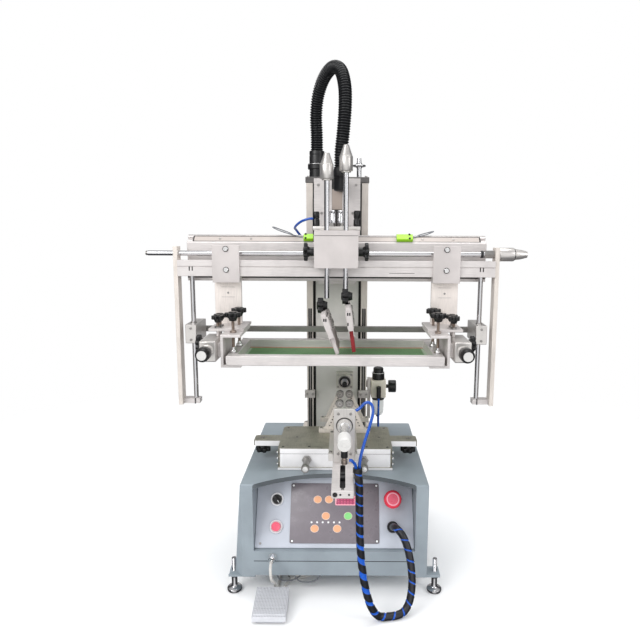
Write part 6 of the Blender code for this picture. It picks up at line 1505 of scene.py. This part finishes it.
def make_carriage():
    """The carriage bar with its clamp slots, the cross bar, and the drive rod with a cone nut at one end."""
    machined("carriage_bar", "white_metal", [("grey_metal", (None, (0.0895, 0.13), None))], edge=0.0006)
    worn = []
    # Painted shade: dark strips stand for the clamp slots in the bar's front
    for side in (-1, 1):
        for x in (0.3405, 0.3475):
            mark = side * x
            worn += wear(
                "dark_marks_and_painted_shade", plate_y((mark - 0.0013, mark + 0.0013), (0.707, 0.717), (0.0735, 0.0743)),
            )
    worn += wear("dark_marks_and_painted_shade", plate_y((0.125, 0.185), (0.7026, 0.7036), (0.0736, 0.0742)))
    build("carriage_bar_fittings", worn, "carriage")
    machined("cross_bar", "grey_metal", edge=0.0008)

    y, z = 0.094, 0.7475
    worn = wear("chrome", rod((-0.45, y, z), (0.388, y, z), 0.006))
    worn += wear("grey_metal", turned(
        [(0.0052, 0.449), (0.0052, 0.4545), (0.0044, 0.455), (0, 0.455)], (0, y, z), (-1, 0, 0), 32,
    ))
    worn += wear("black_soft", turned([
        (0.006, 0.344), (0.0088, 0.3445), (0.0088, 0.35), (0.006, 0.3505),
    ], (0, y, z), (1, 0, 0), 48))
    worn += wear("steel", turned([
        (0.006, 0.353), (0.0098, 0.353), (0.0105, 0.354), (0.0105, 0.3762), (0, 0.3762),
    ], (0, y, z), (1, 0, 0), 6))
    worn += wear("metal_x", turned([
        (0.01, 0.3868), (0.0156, 0.3872), (0.0162, 0.3885), (0.0162, 0.4205), (0.0156, 0.4225),
        (0.0138, 0.4232), (0.0138, 0.425),
        (0.013, 0.4256), (0.0128, 0.427), (0.0112, 0.44), (0.0084, 0.451), (0.0074, 0.4545), (0, 0.455),
    ], (0, y, z), (1, 0, 0), 112, 40, 0.03, (0.39, 0.419)))
    # Painted shade: a dark ring in the groove of the cone nut
    worn += wear("dark_marks_and_painted_shade", turned([(0.0142, 0.4232), (0.0142, 0.4246)], (0, y, z), (1, 0, 0), 48))
    build("drive_rod_turned", worn, "carriage", "drive_rod")


def make_end_frames():
    """At each end an upright bar, two brackets, a chromed guide rod and the slider that runs on it."""
    for name, side in SIDES:
        node = "end_frame_" + name
        x, y = side * GUIDE_ROD_PLACE[0], GUIDE_ROD_PLACE[1]
        bare = [(
            (side * 0.342, side * 0.356), (0.0975, 0.1105), z,
        ) for z in ((0.3895, 0.5315), (0.5785, 0.7125))]
        ends = [
            ("white_metal", ((side * 0.337, side * 0.376), (0.09, 0.12), z))
            for z in ((0.7125, 0.7255), (0.3765, 0.3895))
        ]
        slider = ("metal_y", ((side * 0.335, side * 0.3628), (0.072, 0.172), (0.5315, 0.5785)))
        machined(node, "beige", [slider] + ends, bare, 0.0007)
        spans = ((0.3885, 0.5325), (0.5775, 0.7135))
        worn = wear("chrome", [rod((x, y, low), (x, y, high), GUIDE_ROD_RADIUS) for low, high in spans])
        for z in (0.383, 0.719):
            worn += steel_screw((side * 0.3863, 0.094, z), (side, 0, 0), 0.0034, 0.0024)
            # Painted shade: a dark strip in the bracket's slit beside each screw
            worn += wear("dark_marks_and_painted_shade", box(
                (side * 0.348, side * 0.35), (0.09, 0.0975), (z - 0.0066, z + 0.0066), 0.0001,
            ))
        for z in (0.541, 0.569):
            worn += steel_screw((x, 0.0731, z), TO_FRONT, 0.003, 0.0016)
        worn += wear("steel", [ring(0.007, 0.0009, (x, y, z)) for z in (0.5786, 0.5318)])
        build(node + "_rods", worn, "carriage")


def make_hangers():
    """The plates that hang the screen's clamps on the carriage bar, with their screws and small knobs."""
    for name, side in SIDES:
        node = "hanger_" + name
        knobs = [((side * 0.259, side * 0.285), (0.005, 0.062), (0.58, 0.615))]
        machined(node, "white_metal", [
            ("block", ((side * 0.227, side * 0.293), (0.066, 0.0745), (0.679, 0.768))),
            ("hanger_arm", ((side * 0.227, side * 0.293), (0.088, 0.099), (0.5795, 0.729))),
        ], knobs, 0.0007)
        worn = []
        for y in (0.021, 0.047):
            worn += wear("copper_grey", threaded(
                (side * HANGER_SCREW_X, y, 0.579), (side * HANGER_SCREW_X, y, 0.595), 0.0036,
            ))
            worn += wear("steel", hex_nut((side * HANGER_SCREW_X, y, 0.5792), UP, 0.0078, 0.0042, 0.2))
            worn += wear("black", star_knob((side * HANGER_SCREW_X, y, 0.5925), UP, 0.0142, 0.016, 0.3, 6))
        for z in (0.7587, 0.71):
            place = (side * 0.2595, 0.0678, z)
            # Painted shade: a dark disc in each counterbore round the screw head
            worn += wear("dark_marks_and_painted_shade", mark(0.007, place, TO_FRONT, 40, 0.0002, 0.0004))
            worn += wear("silver", cap_screw((side * 0.2595, 0.0675, z), TO_FRONT, 0.0058, 0.0034))
        worn += steel_screw((side * 0.26, 0.0895, 0.6535), TO_FRONT, 0.0024, 0.0014)
        for z in (0.667, 0.643):
            worn += wear(
                "grey_metal", plate_y((side * 0.244, side * 0.276), (z, z + 0.0006), (0.089, 0.0894)),
            )
        build(node + "_knobs", worn, "carriage")


def make_frame_clamps():
    """Each clamp: a channel over the screen's edge, two clamp screws with knobs, and the fine adjuster."""
    for name, side in SIDES:
        node = "frame_clamp_" + name
        drops = [
            ((side * near, side * far), y, z) for near, far, y, z in (
                (0.215, 0.249, (-0.022, 0.012), (0.574, 0.625)),
                (0.215, 0.249, (0.053, 0.087), (0.574, 0.625)),
                (0.265, 0.301, (-0.1, -0.0425), (0.52, 0.56)), (0.303, 0.329, (0.008, 0.052), (0.52, 0.566)),
                (
                    0.2225, 0.2415, (-0.015, 0.005), (0.5279, 0.567),
                ), (0.2225, 0.2415, (0.06, 0.08), (0.5279, 0.567)),
            )
        ]
        machined(node, "white_metal", [
            ("metal_y", ((side * 0.26, side * 0.303), (-0.043, 0.056), (0.512, 0.561))),
        ], drops, 0.0007)
        worn = []
        for y in (-0.005, 0.07):
            worn += wear("copper_grey", threaded(
                (side * CLAMP_SCREW_X, y, 0.532), (side * CLAMP_SCREW_X, y, 0.604), 0.0036,
            ))
            pad = turned([
                (0.0072, 0.5279), (0.008, 0.5285), (0.008, 0.5325), (0.0072, 0.5338), (0.005, 0.5345),
                (0.0045, 0.54), (0, 0.54),
            ], (side * CLAMP_SCREW_X, y, 0), steps=40)
            worn += wear("silver", pad)
            worn += wear("copper_grey", hex_nut((side * CLAMP_SCREW_X, y, 0.5731), UP, 0.0074, 0.005, 0.2))
            worn += wear(
                "black", star_knob((side * CLAMP_SCREW_X, y, 0.6005), UP, 0.0178, 0.0188, 0.1 + y, 6),
            )
        adjuster = (side * 0.283, 0, 0.539), TO_FRONT
        shaft = turned([
            (0.0115, 0.041), (0.0115, 0.048), (0.006, 0.049), (0.006, 0.066), (0, 0.066),
        ], *adjuster, 40)
        knob = turned([
            (0.006, 0.0668), (0.0148, 0.0672), (0.0155, 0.0682), (0.0155, 0.09), (0.0148, 0.0915),
            (0.014, 0.094), (0.0128, 0.0966),
            (0.0112, 0.097), (0.0108, 0.096), (0, 0.096),
        ], *adjuster, 108, 36, 0.045, (0.069, 0.0895))
        rim = ring(0.0118, 0.0007, (side * 0.283, -0.0967, 0.539), TO_FRONT)
        collar = turned([(0.0115, 0.0405), (0.0128, 0.041), (0.0128, 0.044), (0.0115, 0.0446)], *adjuster, 40)
        disc = turned([(0.0106, 0.0958), (0.0104, 0.0966), (0, 0.0968)], *adjuster, 56)
        worn += wear("metal_y", shaft, collar) + wear("black", knob, rim) + wear("cap_white", disc)
        stem = turned([(0.008, 0.3015), (0.008, 0.3095), (0, 0.3095)], (0, 0.03, 0.543), (side, 0, 0), 32)
        worn += wear(
            "black", stem, star_knob((side * 0.307, 0.03, 0.543), (side, 0, 0), 0.019, 0.017, 0.2, 7),
        )
        for y in (-0.02, 0.088):
            worn += steel_screw((side * 0.2552, y, 0.536), (side, 0, 0), 0.003, 0.002)
        build(node + "_knobs", worn, "carriage")


def make_screen():
    """The screen frame of square tube with a weld line at each corner, its tape, and the filled mesh."""
    machined("screen_frame", "white_metal", edge=0.0014)
    machined("screen_mesh", "mesh", edge=0)
    x, front, back, bar = 0.2425, -0.046, 0.171, 0.022
    welds = []
    for side in (-1, 1):
        for outer, inner in ((front + 0.001, front + bar), (back - 0.001, back - bar)):
            ends = (side * (x - 0.001), outer, 0.5276), (side * (x - bar), inner, 0.5276)
            welds.append(rod(*ends, 0.0007, 0.0002, 12))
    tape = [
        plate_y((-0.2195, 0.2195), (0.5068, 0.5086), across, 0.0, 0.0001)
        for across in (
            (front + bar - 0.0001, front + bar + 0.0003), (back - bar - 0.0003, back - bar + 0.0001),
        )
    ]
    build("screen_frame_welds", wear("metal_x", welds) + wear("tape", tape), "carriage")


# Foot pedal


def make_pedal():
    """The ribbed treadle on its base, and the two ties round the cord's coil under the cabinet."""
    low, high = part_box("pedal_treadle")
    tread = (
        (low.x + 0.006, high.x - 0.006), (low.y + 0.012, high.y),
        ((low.z + high.z) / 2 - 0.004, high.z + 0.001),
    )
    machined("pedal_treadle", "pedal", [("tread", tread)], edge=0.0008)
    machined("pedal_base", "pedal", edge=0.0008)
    mean = sum(COIL_RADII) / len(COIL_RADII)
    ties = []
    for angle in (0.9, 4.2):
        spoke = Vector((math.cos(angle), math.sin(angle), 0))
        place = Vector((*COIL_CENTRE, 0.0094)) + spoke * mean
        ties.append(ring(0.0086, 0.0007, place, spoke.cross(Vector(UP)), 32, 8))
    build("pedal_coil_ties", wear("black_soft", ties), "base")


# Stage


def make_floor():
    """A plain pale floor: a disc whose rim fades into the white, so that only the shadow on it is seen."""
    angle = np.linspace(0, 2 * math.pi, 96, endpoint=False)
    reach = np.array([0.05, 0.8, 1.6, 2.4])
    rings = np.zeros((len(reach), len(angle), 3))
    rings[..., 0] = reach[:, None] * np.cos(angle)
    rings[..., 1] = reach[:, None] * np.sin(angle)
    points, quads, lids = shell(rings)
    mesh = bpy.data.meshes.new("floor")
    mesh.from_pydata(points, [], quads.tolist() + lids[:1])
    made = Shader("floor_pale", base_color=(0.985, 0.985, 0.985), roughness=0.85, specular_ior_level=0.15)
    x, y, _ = made.axes()
    away = ((x * x + y * y) ** 0.5).between(0.55, 1.9)
    grain = made.noise(60.0, 3.0)
    made.set(roughness=grain * 0.1 + 0.8)
    clear = made.tree.nodes.new("ShaderNodeBsdfTransparent")
    joined = made.tree.nodes.new("ShaderNodeMixShader")
    mirrored = made.node("ShaderNodeLightPath", output="Is Glossy Ray")
    made.feed(joined.inputs[0], away.math("MAXIMUM", mirrored))
    made.tree.links.new(made.surface.outputs[0], joined.inputs[1])
    made.tree.links.new(clear.outputs[0], joined.inputs[2])
    made.tree.links.new(joined.outputs[0], made.tree.nodes["Material Output"].inputs["Surface"])
    mesh.materials.append(made.material)
    floor = bpy.data.objects.new("floor", mesh)
    bpy.context.scene.collection.objects.link(floor)


def make_world(brightness):
    """White for the camera, an even room for scattered light, and a bright front for reflections."""
    world = bpy.data.worlds.new("soft_room")
    bpy.context.scene.world = world
    world.use_nodes = True
    tree = world.node_tree
    background = tree.nodes["Background"]
    made = Shader.__new__(Shader)
    made.tree = tree
    split = made.node(
        "ShaderNodeSeparateXYZ", {}, {0: made.node("ShaderNodeTexCoord", output="Generated")},
    ).socket.node
    _, y, z = (Value(made, split.outputs[index]) for index in range(3))
    room = made.mix(
        z.between(-0.55, 0.75), shade((0.64, 0.645, 0.65), brightness), shade((0.97, 0.98, 1.0), brightness),
    )
    in_front = (y * -1.0).between(0.6, 0.94)
    overhead = z.between(0.3, 0.95) * 0.55
    behind = y.between(0.7, 0.98) * 0.4
    bright = in_front.math("MAXIMUM", overhead).math("MAXIMUM", behind)
    mirrored = made.mix(bright, (0.055, 0.055, 0.06), (1.0, 1.0, 1.0))
    reflected = made.node("ShaderNodeLightPath", output="Is Glossy Ray")
    seen = made.node("ShaderNodeLightPath", output="Is Camera Ray")
    made.feed(
        background.inputs["Color"], made.mix(seen, made.mix(reflected, room, mirrored), (1.0, 1.0, 1.0)),
    )
    background.inputs["Strength"].default_value = 1.0


def make_light(name, place, target, size, power, colour=(1.0, 1.0, 1.0)):
    data = bpy.data.lights.new(name, "AREA")
    data.shape = "RECTANGLE"
    data.size, data.size_y = size
    data.energy = power
    data.color = colour
    lamp = bpy.data.objects.new(name, data)
    lamp.location = place
    lamp.rotation_euler = (Vector(target) - Vector(place)).to_track_quat("-Z", "Y").to_euler()
    bpy.context.scene.collection.objects.link(lamp)


def make_stage():
    stage = bpy.context.scene.printer_stage
    make_floor()
    make_world(stage.room_brightness)
    middle = (0.0, 0.0, 0.45)
    make_light("softbox_left", (-1.5, -1.7, 1.9), middle, (1.4, 1.4), 34.0 * stage.light_power)
    make_light("softbox_right", (1.9, -1.2, 1.3), middle, (0.8, 1.6), 12.0 * stage.light_power)
    make_light("softbox_top", (0.1, 0.3, 2.6), middle, (1.6, 1.2), 20.0 * stage.light_power)


def make_camera():
    """The camera that took the photograph, from the place, fall, roll and lens worked out from it."""
    stage = bpy.context.scene.printer_stage
    data = bpy.data.cameras.new("photograph")
    data.sensor_width = CAMERA_SENSOR
    data.lens = stage.camera_lens
    data.shift_x = CAMERA_SHIFT_X
    camera = bpy.data.objects.new("photograph", data)
    camera.location = stage.camera_place
    fall = Euler((math.pi / 2 - stage.camera_fall, 0, 0)).to_matrix()
    camera.rotation_euler = (fall @ Matrix.Rotation(stage.camera_roll, 3, "Z")).to_euler()
    bpy.context.scene.collection.objects.link(camera)
    bpy.context.scene.camera = camera
    bpy.context.scene.view_settings.view_transform = "Standard"


# The add-on: what a user would change, one operator for each piece or group, and the panel that lists them


def colour(label, description, default):
    return bpy.props.FloatVectorProperty(
        name=label, description=description, default=default, min=0.0, max=1.0, size=3, subtype="COLOR_GAMMA",
    )


class PrinterFinish(bpy.types.PropertyGroup):
    """Colours as they are seen on a display."""

    cabinet_paint: colour("Cabinet paint", "Powder coat of the cabinet", (0.572, 0.612, 0.64))
    panel_paint: colour("Panel paint", "Sloping operating panel", (0.77, 0.79, 0.83))
    membrane: colour("Membrane", "Film of the keypad", (0.478, 0.452, 0.476))
    aluminium: colour("Aluminium", "Bars and plates of bare aluminium", (0.9, 0.885, 0.87))
    khaki_plate: colour("Table plate", "Ground plate of the work table", (0.66, 0.645, 0.59))
    beige_metal: colour("Beige metal", "Posts and upright bars", (0.905, 0.872, 0.84))
    column_panel: colour("Column panel", "Panel between the column's posts", (0.895, 0.885, 0.865))
    black_plastic: colour("Black plastic", "Knobs and fittings", (0.075, 0.075, 0.08))
    air_tube: colour("Air tubes", "Polyurethane tubes", (0.045, 0.31, 0.7))
    stencil: colour("Stencil", "Film that fills the screen's mesh", (0.27, 0.52, 0.24))
    pedal_plastic: colour("Pedal", "Moulding of the foot pedal", (0.815, 0.82, 0.84))


class PrinterTubes(bpy.types.PropertyGroup):
    """Sizes of the rings and wraps on the hoses."""

    hose_pitch: bpy.props.FloatProperty(
        name="Hose ring pitch", description="Distance between two rings of the corrugated hose",
        default=0.006,
        min=0.003, max=0.01, subtype="DISTANCE", unit="LENGTH",
    )
    hose_groove: bpy.props.FloatProperty(
        name="Hose groove", description="Depth of the grooves between the hose's rings", default=0.0031,
        min=0.0005, max=0.004, subtype="DISTANCE", unit="LENGTH",
    )
    wrap_pitch: bpy.props.FloatProperty(
        name="Wrap pitch", description="Rise of the bundle's spiral wrap in one turn", default=0.0215,
        min=0.008, max=0.03, subtype="DISTANCE", unit="LENGTH",
    )


class PrinterStage(bpy.types.PropertyGroup):
    """Where the camera stands and how bright the room is."""

    camera_place: bpy.props.FloatVectorProperty(
        name="Camera place", description="Where the camera stands", default=CAMERA_PLACE, size=3,
        subtype="TRANSLATION", unit="LENGTH",
    )
    camera_fall: bpy.props.FloatProperty(
        name="Camera fall", description="How far the camera looks down", default=CAMERA_FALL, subtype="ANGLE",
        unit="ROTATION",
    )
    camera_roll: bpy.props.FloatProperty(
        name="Camera roll", description="Turn of the camera about its own line of sight", default=CAMERA_ROLL,
        subtype="ANGLE", unit="ROTATION",
    )
    camera_lens: bpy.props.FloatProperty(
        name="Camera lens", description="Focal length on a 36 mm sensor", default=CAMERA_LENS, min=10.0,
        max=200.0,
        subtype="DISTANCE_CAMERA",
    )
    room_brightness: bpy.props.FloatProperty(
        name="Room brightness", description="Light that comes evenly from all sides", default=0.92, min=0.0,
        max=2.0, subtype="FACTOR",
    )
    light_power: bpy.props.FloatProperty(
        name="Light power", description="Strength of the soft boxes against their usual power", default=1.0,
        min=0.0, max=4.0,
        subtype="FACTOR",
    )


class PRINTER_OT_finishes(bpy.types.Operator):
    """Make every material before the pieces that wear them"""

    bl_idname = "printer.finishes"
    bl_label = "Finishes"

    def execute(self, context):
        finish_of.update(make_finishes())
        return {"FINISHED"}


class PRINTER_OT_camera(bpy.types.Operator):
    """Place the photograph's camera and choose a plain view of colours"""

    bl_idname = "printer.camera"
    bl_label = "Camera"

    def execute(self, context):
        make_camera()
        return {"FINISHED"}


class PRINTER_OT_hose(bpy.types.Operator):
    """Build the corrugated cable hose"""

    bl_idname = "printer.hose"
    bl_label = "Cable hose"

    def execute(self, context):
        make_hose()
        return {"FINISHED"}


class PRINTER_OT_bundle(bpy.types.Operator):
    """Build the spiral-wrapped bundle of air tubes"""

    bl_idname = "printer.bundle"
    bl_label = "Air bundle"

    def execute(self, context):
        make_bundle()
        return {"FINISHED"}


class PRINTER_OT_tubes(bpy.types.Operator):
    """Build the single air tubes and the pedal's cord"""

    bl_idname = "printer.tubes"
    bl_label = "Tubes and leads"

    def execute(self, context):
        make_tubes()
        return {"FINISHED"}


class PRINTER_OT_cabinet(bpy.types.Operator):
    """Build the cabinet and its levelling feet"""

    bl_idname = "printer.cabinet"
    bl_label = "Cabinet"

    def execute(self, context):
        make_cabinet()
        return {"FINISHED"}


class PRINTER_OT_controls(bpy.types.Operator):
    """Build the operating panel, its keypad and its switches"""

    bl_idname = "printer.controls"
    bl_label = "Operating panel"

    def execute(self, context):
        make_controls()
        return {"FINISHED"}


class PRINTER_OT_table(bpy.types.Operator):
    """Build the work table with its plungers and knobs"""

    bl_idname = "printer.table"
    bl_label = "Work table"

    def execute(self, context):
        make_table()
        return {"FINISHED"}


class PRINTER_OT_tailstock(bpy.types.Operator):
    """Build the guide, the arm, the tailstock and its cylinder"""

    bl_idname = "printer.tailstock"
    bl_label = "Tailstock"

    def execute(self, context):
        make_tailstock()
        return {"FINISHED"}


class PRINTER_OT_roller_stands(bpy.types.Operator):
    """Build the two roller stands and their bearings"""

    bl_idname = "printer.roller_stands"
    bl_label = "Roller stands"

    def execute(self, context):
        make_roller_stands()
        return {"FINISHED"}


class PRINTER_OT_spindle(bpy.types.Operator):
    """Build the spindle and its housing"""

    bl_idname = "printer.spindle"
    bl_label = "Spindle"

    def execute(self, context):
        make_spindle()
        return {"FINISHED"}


class PRINTER_OT_column(bpy.types.Operator):
    """Build the column, its top plate and the hand wheel"""

    bl_idname = "printer.column"
    bl_label = "Column"

    def execute(self, context):
        make_column()
        return {"FINISHED"}


class PRINTER_OT_regulator(bpy.types.Operator):
    """Build the air regulator with its bowl and gauge"""

    bl_idname = "printer.regulator"
    bl_label = "Air regulator"

    def execute(self, context):
        make_regulator()
        return {"FINISHED"}


class PRINTER_OT_head(bpy.types.Operator):
    """Build the lifting plate, the beam and the squeegee block"""

    bl_idname = "printer.head"
    bl_label = "Head"

    def execute(self, context):
        make_head()
        return {"FINISHED"}


class PRINTER_OT_stroke_cylinders(bpy.types.Operator):
    """Build the two stroke cylinders and their flow controls"""

    bl_idname = "printer.stroke_cylinders"
    bl_label = "Stroke cylinders"

    def execute(self, context):
        make_stroke_cylinders()
        return {"FINISHED"}


class PRINTER_OT_hose_elbow(bpy.types.Operator):
    """Build the gland that takes the hose on the head"""

    bl_idname = "printer.hose_elbow"
    bl_label = "Hose elbow"

    def execute(self, context):
        make_hose_elbow()
        return {"FINISHED"}


class PRINTER_OT_sensors(bpy.types.Operator):
    """Build the two limit sensors and their leads"""

    bl_idname = "printer.sensors"
    bl_label = "Limit sensors"

    def execute(self, context):
        make_sensors()
        return {"FINISHED"}


class PRINTER_OT_blades(bpy.types.Operator):
    """Build the squeegee and the flood bar with their rods"""

    bl_idname = "printer.blades"
    bl_label = "Squeegee and flood bar"

    def execute(self, context):
        make_blades()
        return {"FINISHED"}


class PRINTER_OT_carriage(bpy.types.Operator):
    """Build the carriage bar, the cross bar and the drive rod"""

    bl_idname = "printer.carriage"
    bl_label = "Carriage"

    def execute(self, context):
        make_carriage()
        return {"FINISHED"}


class PRINTER_OT_end_frames(bpy.types.Operator):
    """Build the upright bars, guide rods and sliders"""

    bl_idname = "printer.end_frames"
    bl_label = "End frames"

    def execute(self, context):
        make_end_frames()
        return {"FINISHED"}


class PRINTER_OT_hangers(bpy.types.Operator):
    """Build the screen's hangers and their knobs"""

    bl_idname = "printer.hangers"
    bl_label = "Hangers"

    def execute(self, context):
        make_hangers()
        return {"FINISHED"}


class PRINTER_OT_frame_clamps(bpy.types.Operator):
    """Build the screen's clamps and adjusters"""

    bl_idname = "printer.frame_clamps"
    bl_label = "Frame clamps"

    def execute(self, context):
        make_frame_clamps()
        return {"FINISHED"}


class PRINTER_OT_screen(bpy.types.Operator):
    """Build the screen frame and its mesh"""

    bl_idname = "printer.screen"
    bl_label = "Screen"

    def execute(self, context):
        make_screen()
        return {"FINISHED"}


class PRINTER_OT_pedal(bpy.types.Operator):
    """Build the foot pedal and the ties round its cord's coil"""

    bl_idname = "printer.pedal"
    bl_label = "Foot pedal"

    def execute(self, context):
        make_pedal()
        return {"FINISHED"}


class PRINTER_OT_stage(bpy.types.Operator):
    """Build the floor, the room and the lights"""

    bl_idname = "printer.stage"
    bl_label = "Stage"

    def execute(self, context):
        make_stage()
        return {"FINISHED"}


OPERATORS = (
    PRINTER_OT_finishes, PRINTER_OT_camera, PRINTER_OT_hose, PRINTER_OT_bundle, PRINTER_OT_tubes,
    PRINTER_OT_cabinet, PRINTER_OT_controls, PRINTER_OT_table, PRINTER_OT_tailstock,
    PRINTER_OT_roller_stands, PRINTER_OT_spindle, PRINTER_OT_column, PRINTER_OT_regulator, PRINTER_OT_head,
    PRINTER_OT_stroke_cylinders, PRINTER_OT_hose_elbow, PRINTER_OT_sensors, PRINTER_OT_blades,
    PRINTER_OT_carriage, PRINTER_OT_end_frames, PRINTER_OT_hangers, PRINTER_OT_frame_clamps,
    PRINTER_OT_screen, PRINTER_OT_pedal, PRINTER_OT_stage,
)


class PRINTER_PT_panel(bpy.types.Panel):
    """The sidebar's list of sizes, colours and pieces"""

    bl_idname = "PRINTER_PT_panel"
    bl_label = "Printing Machine"
    bl_space_type = "VIEW_3D"
    bl_region_type = "UI"
    bl_category = "Printing Machine"

    def draw(self, context):
        for group in (context.scene.printer_finish, context.scene.printer_tubes, context.scene.printer_stage):
            box_layout = self.layout.box()
            for name in group.bl_rna.properties.keys():
                if name not in ("rna_type", "name"):
                    box_layout.prop(group, name)
        for operator in OPERATORS:
            self.layout.operator(operator.bl_idname)


CLASSES = (PrinterFinish, PrinterTubes, PrinterStage, *OPERATORS, PRINTER_PT_panel)


def register():
    for item in CLASSES:
        bpy.utils.register_class(item)
    bpy.types.Scene.printer_finish = bpy.props.PointerProperty(type=PrinterFinish)
    bpy.types.Scene.printer_tubes = bpy.props.PointerProperty(type=PrinterTubes)
    bpy.types.Scene.printer_stage = bpy.props.PointerProperty(type=PrinterStage)


def unregister():
    del bpy.types.Scene.printer_stage
    del bpy.types.Scene.printer_tubes
    del bpy.types.Scene.printer_finish
    for item in reversed(CLASSES):
        bpy.utils.unregister_class(item)


def main():
    register()
    for operator in OPERATORS:
        getattr(bpy.ops.printer, operator.bl_idname.split(".")[1])()


if __name__ == "__main__":
    main()
